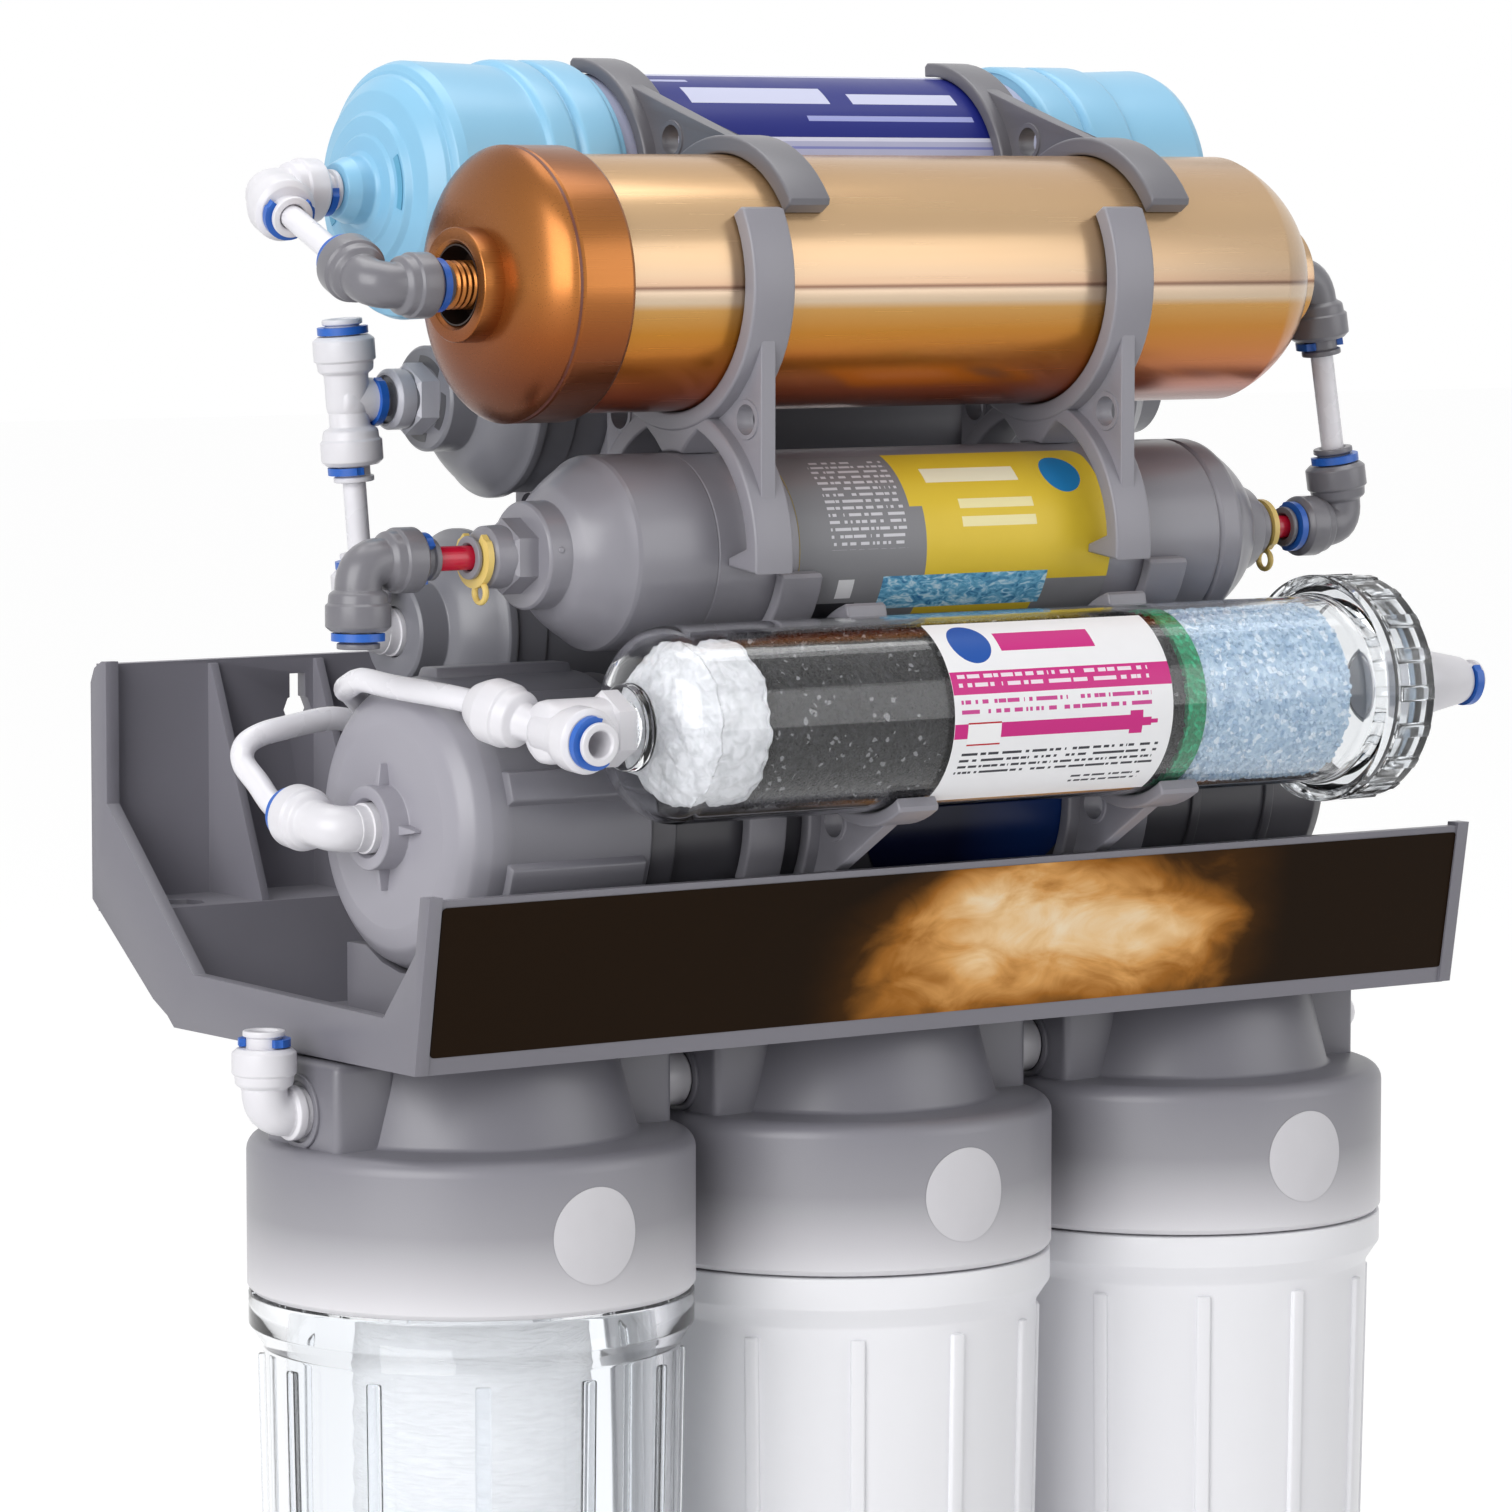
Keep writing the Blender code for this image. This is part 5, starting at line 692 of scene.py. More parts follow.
def finishTree(tree, given, result, geometry):
    whole = addNode(tree, "GeometryNodeRealizeInstances", {0: geometry}).outputs[0]
    painted = addNode(tree, "GeometryNodeSetMaterial", {"Geometry": whole, "Material": given["Material"]})
    tree.links.new(painted.outputs[0], result.inputs[0])
    return tree


def makeRingTree():
    # copies of the given mesh round an axis through the origin
    tree, given, result = newTree("copiesRoundAxis", {"Count": "Int", "Start": "Float", "Axis": "Vector"})
    spots = addNode(tree, "GeometryNodePoints", {"Count": given["Count"]}).outputs[0]
    step = calc(tree, "DIVIDE", 2 * math.pi, given["Count"])
    index = addNode(tree, "GeometryNodeInputIndex").outputs[0]
    values = {"Axis": given["Axis"], "Angle": calc(tree, "MULTIPLY_ADD", index, step, given["Start"])}
    turn = addNode(tree, "FunctionNodeAxisAngleToRotation", values).outputs[0]
    values = {"Points": spots, "Instance": given["Geometry"], "Rotation": turn}
    copies = addNode(tree, "GeometryNodeInstanceOnPoints", values).outputs[0]
    return finishTree(tree, given, result, copies)


def makeGrainTree():
    # crushed grains spread over the given surface, sunk half way into it
    wanted = {"Density": "Float", "Smallest": "Float", "Largest": "Float", "Seed": "Int"}
    turnSeed, sizeSeed, fullTurn = 3, 5, (6.28, 6.28, 6.28)
    tree, given, result = newTree("grainsOnSurface", wanted)
    values = {"Mesh": given["Geometry"], "Density": given["Density"], "Seed": given["Seed"]}
    spots = addNode(tree, "GeometryNodeDistributePointsOnFaces", values).outputs[0]
    grain = addNode(tree, "GeometryNodeMeshIcoSphere", {"Radius": 1.0, "Subdivisions": 1}).outputs[0]
    turn = addNode(tree, "FunctionNodeRandomValue", {"Seed": turnSeed}, data_type="FLOAT_VECTOR")
    feed(tree, turn, 1, fullTurn)
    size = addNode(tree, "FunctionNodeRandomValue", {"Seed": sizeSeed}, data_type="FLOAT_VECTOR")
    for index, label in enumerate(("Smallest", "Largest")):
        axes = addNode(tree, "ShaderNodeCombineXYZ", dict.fromkeys(range(3), given[label])).outputs[0]
        tree.links.new(axes, size.inputs[index])
    values = {"Points": spots, "Instance": grain, "Rotation": turn.outputs[0], "Scale": size.outputs[0]}
    copies = addNode(tree, "GeometryNodeInstanceOnPoints", values)
    both = addNode(tree, "GeometryNodeJoinGeometry")
    tree.links.new(given["Geometry"], both.inputs[0])
    tree.links.new(copies.outputs[0], both.inputs[0])
    return finishTree(tree, given, result, both.outputs[0])


def makeTuftTree():
    # lumps on a wad of wool
    tree, given, result = newTree("lumpsOnSurface", {"Depth": "Float", "Scale": "Float"})
    lumps = addNode(tree, "ShaderNodeTexNoise", {"Scale": given["Scale"], "Detail": 3.0}).outputs[0]
    fall = calc(tree, "MULTIPLY", lumps, calc(tree, "MULTIPLY", given["Depth"], -1.0))
    normal = addNode(tree, "GeometryNodeInputNormal").outputs[0]
    offset = addNode(tree, "ShaderNodeVectorMath", {0: normal}, operation="SCALE")
    feed(tree, offset, "Scale", fall)
    values = {"Geometry": given["Geometry"], "Offset": offset.outputs[0]}
    bent = addNode(tree, "GeometryNodeSetPosition", values).outputs[0]
    smooth = addNode(tree, "GeometryNodeSetShadeSmooth", {"Geometry": bent}).outputs[0]
    return finishTree(tree, given, result, smooth)


ringTree = makeRingTree()
grainTree = makeGrainTree()
tuftTree = makeTuftTree()


def grown(shape, treeUsed, values, material, sharpAngle=34.0):
    # runs a node tree on a shape and gives the result back as a shape
    item = linked(bpy.data.objects.new("seed", meshOf("seed", [shape], [material], sharpAngle)))
    step = item.modifiers.new("tree", "NODES")
    step.node_group = treeUsed
    entries = treeUsed.interface.items_tree
    sockets = {entry.name: entry.identifier for entry in entries if entry.in_out == "INPUT"}
    for label, value in {**values, "Material": material}.items():
        step[sockets[label]] = value
    made = plainMesh(item)
    item.modifiers.clear()
    points = [tuple(corner.co) for corner in made.vertices]
    grownShape = {"points": points, "faces": [tuple(face.vertices) for face in made.polygons]}
    bpy.data.objects.remove(item)
    bpy.data.meshes.remove(made)
    return grownShape


def ringCopies(shape, count, axis=None, start=0.0, slot=0):
    # copies round a vessel along X, or round the upright axis of a sump
    line = (1, 0, 0) if axis else (0, 0, 1)
    made = grown({**shape, "slot": 0}, ringTree, {"Count": count, "Start": start, "Axis": line}, greyPlastic)
    return {**shifted(made, 0.0, *(axis or (0.0, 0.0))), "slot": slot}


def ribShape(length, depth, width, radius, centreX, tip=0.75, bevel=0.0004):
    # one rounded bar on a circle round X, its outer side narrower
    taper = 0.04
    shape = blockShape((-length / 2, -depth / 2, -width / 2), (length / 2, depth / 2, width / 2), bevel)
    points = []
    for x, y, z in shape["points"]:
        share = y / depth + 0.5
        points.append((x * (1 - taper * share) + centreX, radius + y, z * (1 - (1 - tip) * share)))
    return {**shape, "points": points}


# the vessels' axes as (y, z), the row of housings, the heads' rims and the tray's floor
axes = {
    "membrane": (-0.0132, 0.3610), "clear": (-0.0752139, 0.3892613), "mineral": (-0.0381968, 0.4313935),
    "copper": (-0.0381968, 0.5007935), "alkaline": (0.0311624, 0.5248111),
    "rearUpper": (0.0598092, 0.4685886), "rearLower": (0.0598092, 0.4055886),
}
rowY, skirtZ, trayZ = -0.0072, 0.238, 0.302
print("finishes and helpers made")

# push-fit fittings
fit = {
    "socket": 0.0034, "socketDepth": 0.011, "collet": 0.0055, "colletReach": 0.0045, "colletRim": 0.0014,
    "collar": 0.0084, "collarLength": 0.0105, "collarStep": 0.0066, "body": 0.0060, "arm": 0.022,
    "thread": 0.0066,
    "threadLength": 0.013, "hex": 0.0098, "hexLength": 0.0098 * 2 / 3, "sleeve": 0.0082, "heel": 0.0044,
    "heelRound": 0.0036, "clipRadius": 0.0069, "clipOpening": 110.0, "bend": 0.0068, "root": 0.0066,
    "play": 0.0003,
}


def lockingClip(low, high, inner, outer, opening=fit["clipOpening"], slot=1):
    # a flat C ring about local Z, open at one side, its ends a little lower
    steps, endSteps, endShare = 40, 2, 0.93
    points, faces = [], []
    for index in range(steps + 1):
        angle = math.radians(opening / 2 + (360.0 - opening) * index / steps)
        reach = outer * (1.0 if endSteps < index < steps - endSteps else endShare)
        for radius, height in ((inner, low), (reach, low), (reach, high), (inner, high)):
            points.append((radius * math.cos(angle), radius * math.sin(angle), height))
    for first in range(0, steps * 4, 4):
        for corner in range(4):
            after = (corner + 1) % 4
            faces.append((first + corner, first + after, first + 4 + after, first + 4 + corner))
    last = steps * 4
    faces += [(3, 2, 1, 0), (last, last + 1, last + 2, last + 3)]
    return {"points": points, "faces": faces, "slot": slot}


def pushArm(corner, direction, length=fit["arm"], bodyRadius=fit["body"], root=None, clipTurn=0.0):
    # socket, collet, locking clip and stepped collar on an arm that ends in a rounded heel
    socket, collet, collar = fit["socket"], fit["collet"], fit["collar"]
    top = length - fit["colletReach"]
    bottom, step = top - fit["collarLength"], top - fit["collarStep"]
    start, heelRound = (-fit["heel"], fit["heelRound"]) if root is None else (root, 0.0004)
    neck = collet - 0.0009
    outline = softened([
        (0.0, length - fit["socketDepth"]), (socket, length - fit["socketDepth"]),
        (socket, length - 0.0006), (socket + 0.0005, length, 0.0002),
        (collet, length, 0.0004), (collet, length - fit["colletRim"], 0.0003),
        (neck, length - fit["colletRim"] - 0.0004), (neck, top, 0.0), (collar - 0.0014, top, 0.0006),
        (collar, top - 0.0012, 0.0006), (collar, step, 0.0004), (collar - 0.0007, step - 0.0006, 0.0004),
        (collar - 0.0009, bottom + 0.0010, 0.0012), (bodyRadius, bottom, 0.0008),
        (bodyRadius, start, heelRound), (0.0, start),
    ])
    ring = lockingClip(top + 0.0004, length - fit["colletRim"] - 0.0007, neck + 0.0001, fit["clipRadius"])
    return [aimed(turnedShape(outline, 48), corner, direction), aimed(ring, corner, direction, clipTurn)]


def bentBody(corner, *ways):
    # the smooth bend between two arms
    corner, bend, overlap, steps, sides = Vector(corner), fit["bend"], 0.0004, 8, 7
    ways = [Vector(way).normalized() for way in ways]
    first, last = (corner + way * (bend + overlap) for way in ways)
    start, end = (corner + way * bend for way in ways)
    return tubeShape([first, *bow(start, corner, end, steps), last], fit["body"], sides)


def pushElbow(corner, first, second, turns):
    shapes = []
    for way, turn in zip((first, second), turns):
        shapes += pushArm(corner, way, root=fit["root"], clipTurn=turn)
    return shapes + [bentBody(corner, first, second)]


def plainArm(corner, direction, length, stemLength, stemRadius=fit["thread"], body=fit["body"],
             ring=0.0, bent=True):
    # an arm that ends in a stem
    shoulder = length - stemLength
    start, heelRound = -fit["heel"], fit["heelRound"]
    if bent:
        start, heelRound = min(fit["root"], shoulder - 0.0034), 0.0004
    outline = [
        (0.0, length), (stemRadius, length, 0.0003), (stemRadius, shoulder, 0.0),
        (body + ring, shoulder, 0.0005),
        (body + ring, shoulder - 0.0024, 0.0005), (body, shoulder - 0.0027, 0.0005), (body, start, heelRound),
        (0.0, start),
    ]
    return aimed(turnedShape(softened(outline), 48), corner, direction)


def threadedElbow(corner, way, inward, reach, stemLength, turn, length=fit["arm"], ring=0.0):
    # a push-fit arm and, round the bend, a threaded one
    shapes = pushArm(corner, way, length, root=fit["root"], clipTurn=turn) + [bentBody(corner, way, inward)]
    return shapes + [plainArm(corner, inward, reach, stemLength, ring=ring)]


def hexShape(axis, startX, length, slot=0):
    radius, chamfer, edge = fit["hex"], 0.0011, 0.0008
    outline = [(0.0, 0.0), (radius - chamfer, 0.0), (radius, edge), (radius, length - edge),
               (radius - chamfer, length), (0.0, length)]
    return alongX(turnedShape(outline, 6, slot=slot), startX, axis, 30.0)


def toward(start, end):
    return tuple(b - a for a, b in zip(start, end))


def ahead(start, direction, distance):
    return tuple(Vector(start) + Vector(direction).normalized() * distance)


def mouth(corner, direction, length=fit["arm"]):
    return ahead(corner, direction, length - fit["socketDepth"] + fit["play"])


def onAxis(x, name):
    return (x, *axes[name])


def fitting(name, node, shapes, colour="white", body="frame"):
    materials = [finish["fitting%sPlastic" % colour.title()], clipBlue]
    addPiece(name, shapes, materials, colour + "_fitting", [node], body)


def tube(name, node, route, colour="white"):
    addPiece(name, [tubeShape(route)], [finish[colour + "Tube"]], colour + "_tube", [node])


elbowX = {
    "copperLeft": -0.1674, "alkaline": -0.1578, "copperRight": 0.1419, "mineralRight": 0.1534,
    "mineralLeft": -0.1720, "tee": -0.1138, "rearLower": -0.1085, "clearTee": -0.1380, "membrane": -0.1640,
}
# the vessels' ends where fittings meet them
ends = {
    "copperRight": 0.1305, "mineralTubes": (-0.1301333, 0.1166), "rearUpper": -0.0900, "rearLower": -0.1000,
    "clear": -0.1143, "membrane": -0.1480,
}
rightward, leftward = (1, 0, 0), (-1, 0, 0)

low, high = onAxis(elbowX["copperLeft"], "copper"), onAxis(elbowX["alkaline"], "alkaline")
rise, fall = toward(low, high), toward(high, low)
fitting("copperLeftElbow", "copper_elbow_left", pushElbow(low, rightward, rise, (0, 200)), "grey")
fitting("alkalineElbow", "alkaline_elbow", pushElbow(high, rightward, fall, (120, 90)))
tube("topLinkTube", "top_link_tube", [mouth(low, rise), mouth(high, fall)])

low, high = onAxis(elbowX["mineralRight"], "mineral"), onAxis(elbowX["copperRight"], "copper")
rise, fall = toward(low, high), toward(high, low)
reach = elbowX["copperRight"] - ends["copperRight"] + 0.0090 - fit["play"]
shapes = threadedElbow(high, fall, leftward, reach, 0.0100, 180)
fitting("copperRightElbow", "copper_elbow_right", shapes, "grey")
fitting("mineralRightElbow", "mineral_elbow_right", pushElbow(low, rise, leftward, (180, 180)), "grey")
tube("rightLinkTube", "right_link_tube", [mouth(high, fall), mouth(low, rise)])
leftTubeX, rightTubeX = ends["mineralTubes"]
tube("redTubeRight", "red_tube_right", [onAxis(rightTubeX, "mineral"), mouth(low, leftward)], "red")

corner = onAxis(elbowX["mineralLeft"], "mineral")
shapes = pushElbow(corner, rightward, (0, 0, -1), (200, 150))
fitting("mineralLeftElbow", "mineral_elbow_left", shapes, "grey", "mineral_elbow")
tube("redTubeLeft", "red_tube_left", [mouth(corner, rightward), onAxis(leftTubeX, "mineral")], "red")

high, low = onAxis(elbowX["tee"], "rearUpper"), onAxis(elbowX["rearLower"], "rearLower")
rise, fall = toward(low, high), toward(high, low)
sleeveEnd = ends["rearUpper"] - fit["hexLength"] - fit["sleeve"]
stem = fit["sleeve"] - 0.0006
shapes = pushArm(high, rise, clipTurn=130) + pushArm(high, fall, bodyRadius=0.0055, clipTurn=130)
shapes.append(plainArm(high, rightward, sleeveEnd + stem - high[0], stem + 0.001, tubeRadius, bent=False))
shapes.append(alongX(lockingClip(0.0, 0.0022, 0.0036, 0.0072), sleeveEnd - 0.0026, axes["rearUpper"], 60))
fitting("rearTee", "rear_tee", shapes)
reach = ends["rearLower"] + fit["socketDepth"] - fit["play"] - low[0]
fitting("rearElbow", "rear_elbow", threadedElbow(low, rise, rightward, reach, 0.0117, 130))
tube("rearLinkTube", "rear_link_tube", [mouth(high, fall), mouth(low, rise)])

corner = onAxis(elbowX["clearTee"], "clear")
tee = {"front": (0.0, -1.0, -0.08), "back": (-0.26, 0.93, 0.22), "length": 0.0260, "collar": 0.0084}
length, collar = tee["length"], tee["collar"]
union = softened([
    (0.0, length - fit["socketDepth"]), (fit["socket"], length - fit["socketDepth"]),
    (fit["socket"], length, 0.0003), (0.0055, length, 0.0008), (0.0072, length - 0.0030, 0.0008),
    (collar, length - 0.0056, 0.0008),
    (collar, length - 0.0112, 0.0005), (0.0077, length - 0.0118, 0.0005), (0.0074, length - 0.0152, 0.0012),
    (0.0048, length - 0.0162, 0.0006), (0.0043, 0.0), (0.0, 0.0),
])
shapes = pushArm(corner, tee["front"], clipTurn=20) + [aimed(turnedShape(union, 48), corner, tee["back"])]
shapes.append(plainArm(corner, rightward, ends["clear"] - corner[0], 0.0040, body=fit["sleeve"], bent=False))
shapes.append(hexShape(axes["clear"], ends["clear"] - 0.0030 - fit["hexLength"], fit["hexLength"]))
shapes.append(alongX(lockingClip(0.0, 0.0022, 0.0079, 0.0089, 150.0), -0.1290, axes["clear"], 140))
fitting("clearTee", "clear_tee", shapes)

hub = {
    "corner": onAxis(elbowX["membrane"], "membrane"), "back": (0.0, 1.0, 0.12), "length": 0.0250,
    "face": 0.0095,
}
stem = ends["membrane"] + 0.004 / 3 - elbowX["membrane"] - fit["play"]
stemLength = stem - hub["face"] + 0.001
shapes = threadedElbow(hub["corner"], hub["back"], rightward, stem, stemLength, 200, hub["length"])
fitting("membraneElbow", "membrane_elbow", shapes)

portX, portZ = 0.1818, skirtZ + 0.050
inlet, outlet = (-portX, rowY, portZ), (portX, rowY, portZ)
reach = 0.0107 + 0.012 - 0.0006
portWays = (("inlet", inlet, (0, 0, 1), rightward, 30), ("outlet", outlet, (0, 1, 0), leftward, 90))
for name, spot, way, inward, turn in portWays:
    shapes = threadedElbow(spot, way, inward, reach, fit["threadLength"], turn, ring=0.0012)
    fitting(name + "Elbow", name + "_elbow", shapes)

# bent tubes, as points from the middle of the row at the height of the heads' rims
tubeBends = {
    "membrane": (
        (-0.1640, 0.0320, 0.1325), (-0.1645, 0.0380, 0.1370), (-0.1638, 0.0392, 0.1410),
        (-0.1600, 0.0395, 0.1437), (-0.1520, 0.0400, 0.1455), (-0.1335, 0.0430, 0.1472),
        (-0.1220, 0.0480, 0.1430), (-0.1110, 0.0540, 0.1300), (-0.1040, 0.0585, 0.1130),
        (-0.0990, 0.0595, 0.1020),
    ),
    "supply": (
        (0.1830, 0.0450, 0.0520), (0.1855, 0.0590, 0.0600), (0.1860, 0.0660, 0.0760),
        (0.1840, 0.0680, 0.0940), (0.1760, 0.0685, 0.1080), (0.1620, 0.0690, 0.1150),
        (0.1400, 0.0690, 0.1165), (0.0800, 0.0680, 0.1160), (0.0300, 0.0660, 0.1140),
        (0.0000, 0.0630, 0.1060), (-0.0120, 0.0605, 0.1000),
    ),
    "post": (
        (-0.1520, -0.0160, 0.1600), (-0.1545, -0.0050, 0.1612), (-0.1525, 0.0050, 0.1590),
        (-0.1460, 0.0170, 0.1570), (-0.1380, 0.0270, 0.1550), (-0.1280, 0.0350, 0.1480),
        (-0.1180, 0.0390, 0.1320), (-0.1070, 0.0405, 0.1120), (-0.0995, 0.0405, 0.1010),
    ),
}
valve = {
    "place": (-0.0620, rowY + 0.0500, 0.3355), "radius": 0.0150, "length": 0.0260, "spread": 0.0190,
    "port": 0.0270, "rim": 0.0052,
}


def smoothRoute(points, parts=8):
    route = [Vector(points[0])]
    for index in range(1, len(points) - 2):
        before, start, end, after = [Vector(point) for point in points[index - 1:index + 3]]
        leave, arrive = (end - before) / 2, (after - start) / 2
        for t in (part / parts for part in range(parts)):
            route.append(
                (2 * t ** 3 - 3 * t * t + 1) * start + (t ** 3 - 2 * t * t + t) * leave
                + (3 * t * t - 2 * t ** 3) * end + (t ** 3 - t * t) * arrive
            )
    return route + [Vector(points[-2]), Vector(points[-1])]


def bentTube(bend, node, corner, direction, length, port, side):
    lead = fit["socketDepth"] + tubeRadius
    start, end = mouth(corner, direction, length), mouth(port, (side, 0, 0), valve["port"])
    middle = [(x, rowY + y, skirtZ + z) for x, y, z in tubeBends[bend]]
    points = [start, ahead(start, direction, lead)] + middle + [ahead(end, (side, 0, 0), lead), end]
    tube(bend + "Tube", node, smoothRoute(points))


frontPort, backPort = (ahead(valve["place"], (0, side, 0), valve["spread"] / 2) for side in (-1, 1))
bentTube("membrane", "membrane_feed_tube", hub["corner"], hub["back"], hub["length"], backPort, -1)
bentTube("post", "post_feed_tube", corner, tee["back"], tee["length"], frontPort, -1)
bentTube("supply", "supply_tube", outlet, (0, 1, 0), fit["arm"], backPort, 1)

half, radius, rim, groove = valve["length"] / 2, valve["radius"], valve["rim"], 0.001
edge = half - rim - 0.0002
outline = softened([
    (0.0, half), (radius, half, 0.0012), (radius, half - rim, 0.0003), (radius - groove, edge, 0.0002),
    (radius - groove, -edge, 0.0002), (radius, rim - half, 0.0003), (radius, -half, 0.0012), (0.0, -half),
], 0.0005)
shapes = [shifted(turnedShape(outline, 72), *valve["place"])]
for port in (frontPort, backPort):
    for side in (leftward, rightward):
        shapes += pushArm(port, side, valve["port"], fit["collar"] - 0.0012, root=0.003, clipTurn=90)
fitting("valveBody", "shutoff_valve", shapes)
print("fittings and tubes made")

# bracket: the moulded tray with softened edges
bracketLook = {"edge": 0.0007, "parts": 2, "join": 0.00001, "flat": 1.0, "bend": 38.0, "sharp": 34.0}


def softenedCopy(name, node, material, look):
    mesh = nodes[node].data.copy()
    mesh.materials.clear()
    work = bmesh.new()
    work.from_mesh(mesh)
    bmesh.ops.remove_doubles(work, verts=work.verts, dist=look["join"])
    flat = math.radians(look["flat"])
    bmesh.ops.dissolve_limit(work, angle_limit=flat, verts=work.verts, edges=work.edges)
    work.to_mesh(mesh)
    work.free()
    item = linked(bpy.data.objects.new(name, mesh))
    bevel = item.modifiers.new("edges", "BEVEL")
    bevel.width = look["edge"]
    bevel.segments = look["parts"]
    bevel.limit_method = "ANGLE"
    bevel.angle_limit = math.radians(look["bend"])
    bevel.use_clamp_overlap = True
    made = plainMesh(item)
    item.modifiers.clear()
    item.data = made
    made.name = name
    made.materials.append(material)
    made.shade_smooth()
    made.set_sharp_from_angle(angle=math.radians(look["sharp"]))
    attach(item, "frame")
    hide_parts(node)
    return item


softenedCopy("bracketTray", "bracket", finish["trayGreyPlastic"], bracketLook)

# printed band on the front lip: bare, dark brown with a soft amber glow
banner = {
    "left": -0.1630, "right": 0.1752, "low": 0.0045, "high": 0.0432, "lipHeight": 0.0450, "lean": 0.0075,
    "base": -0.0485, "corner": (0.004, 0.03), "thickness": 0.0003,
    "glowStart": (0.33, 0.53), "glowEnd": (0.66, 0.83), "waves": 15.0, "waveHeight": 0.16, "glowDrop": -0.12,
    "glowWidth": 2.3, "drift": (1.5, -0.10), "mist": (1.7, 0.15), "roughness": (0.12, 0.34),
}


def bannerSpot(u, v, lift):
    up = banner["low"] + (banner["high"] - banner["low"]) * v
    across = rowY + banner["base"] - banner["lean"] * up / banner["lipHeight"]
    return (banner["left"] + (banner["right"] - banner["left"]) * u, across - lift, trayZ + up)


def makeBannerPrint():
    material, tree, shader = newMaterial("bandPrint")
    uv = place(tree, "UV")
    wide = addNode(tree, "ShaderNodeMapping", {"Vector": uv, "Scale": (6.0, 1.3, 1.0)}).outputs[0]
    drift = noise(tree, wide, 1.1, 3.0, roughness=0.5, distortion=0.4)
    mist = noise(tree, wide, 2.4, 6.0, roughness=0.55, distortion=0.9)
    along, up = split(tree, uv)[:2]
    rise = mapped(tree, along, *banner["glowStart"], interpolation_type="SMOOTHSTEP")
    fall = mapped(tree, along, *banner["glowEnd"], interpolation_type="SMOOTHSTEP")
    glow = calc(tree, "MULTIPLY", rise, calc(tree, "SUBTRACT", 1.0, fall))
    # the glow follows a low wave along the band
    wave = calc(tree, "SINE", calc(tree, "MULTIPLY", along, banner["waves"]))
    wave = calc(tree, "MULTIPLY", wave, banner["waveHeight"])
    slope = calc(tree, "MULTIPLY_ADD", along, 1.0, banner["glowDrop"])
    height = calc(tree, "SUBTRACT", calc(tree, "SUBTRACT", up, slope), wave)
    square = calc(tree, "MULTIPLY", calc(tree, "MULTIPLY", height, height), banner["glowWidth"])
    light = calc(tree, "MULTIPLY", glow, calc(tree, "SUBTRACT", 1.0, square))
    light = calc(tree, "MULTIPLY", light, calc(tree, "MULTIPLY_ADD", drift, *banner["drift"]))
    light = calc(tree, "MULTIPLY", light, calc(tree, "MULTIPLY_ADD", mist, *banner["mist"]))
    colour = ramp(tree, light, (
        (0.0, (0.0105, 0.0042, 0.0004)), (0.12, (0.045, 0.017, 0.002)), (0.30, (0.34, 0.13, 0.020)),
        (0.50, (0.66, 0.33, 0.10)), (0.72, (0.82, 0.55, 0.28)), (0.98, (0.88, 0.74, 0.54)),
    ))
    worn = calc(tree, "MULTIPLY_ADD", drift, *banner["roughness"])
    dress(tree, shader, Base_Color=colour, Specular_IOR_Level=0.06, Roughness=worn)
    bumped(tree, shader, mist, 0.03, 0.0001)
    return material


patch = wrappedPatch(bannerSpot, 60, 8, banner["corner"], banner["thickness"])
addPiece("frontBand", [patch], [makeBannerPrint()])
print("bracket and band made")

# double clips: two open hooks back to back on a thin web with a hole in each wide end
clipSizes = {
    "width": 0.0130, "web": 0.0045, "hole": 0.0040, "holeEdge": 0.0055, "gap": 0.0078, "flat": 22.0,
    "pad": 10.0,
    "facet": 6.0, "holeFacet": 12.0, "seat": 0.0003, "tip": 3.0, "tipShare": 0.75, "rim": 0.0013,
    "rimLift": 0.0004, "webShare": 0.4, "wideEnd": 70.0, "edge": 0.0008, "webEdge": 0.0005,
}


def sweep(centre, start, end, facet=clipSizes["facet"]):
    # places from one (radius, angle) to another, without the last
    count = max(1, math.ceil(abs(end[1] - start[1]) / facet))
    shares = [index / count for index in range(count)]
    return [polar(centre, *(a + (b - a) * share for a, b in zip(start, end))) for share in shares]


def arc(centre, radius, start, end, facet=clipSizes["facet"]):
    return sweep(centre, (radius, start), (radius, end), facet) + [polar(centre, radius, end)]


def hookOutline(centre, radius, loose, wall, facing, lowSpan, highSpan):
    low, high = facing - lowSpan, facing + highSpan
    arm = radius + loose
    outside = arm + wall
    if not loose:
        # small rolled beads at the tips
        tip, bead = clipSizes["tip"], arm + wall * clipSizes["tipShare"]
        outline = [(bead, low), (outside, low + tip * 0.6)], [(outside, high - tip * 0.6), (bead, high)]
        start, end = ([polar(centre, *spot) for spot in spots] for spots in outline)
        return start + arc(centre, outside, low + tip, high - tip) + end + arc(centre, radius, high, low)
    tip, flat = clipSizes["pad"], clipSizes["flat"]
    outer = arc(centre, outside, low, facing - flat) + arc(centre, outside, facing + flat, high)
    path = [
        (radius, high), (radius, high - tip / 2), (arm, high - tip), (arm, facing + 2 * tip),
        (radius, facing + tip), (radius, facing - tip), (arm, facing - 2 * tip), (arm, low + tip),
        (radius, low + tip / 2), (radius, low),
    ]
    inner = sum((sweep(centre, start, end) for start, end in zip(path, path[1:])), [])
    return outer + inner + [polar(centre, *path[-1])]


def webOutline(sides, flanks):
    points = []
    for side, (below, above) in zip(sides, (flanks, flanks[::-1])):
        centre, radius, loose, wall, facing, lowSpan, highSpan = side
        reach = radius + loose + wall * clipSizes["webShare"]
        points += arc(centre, reach, facing - min(lowSpan, below), facing + min(highSpan, above))
    return points


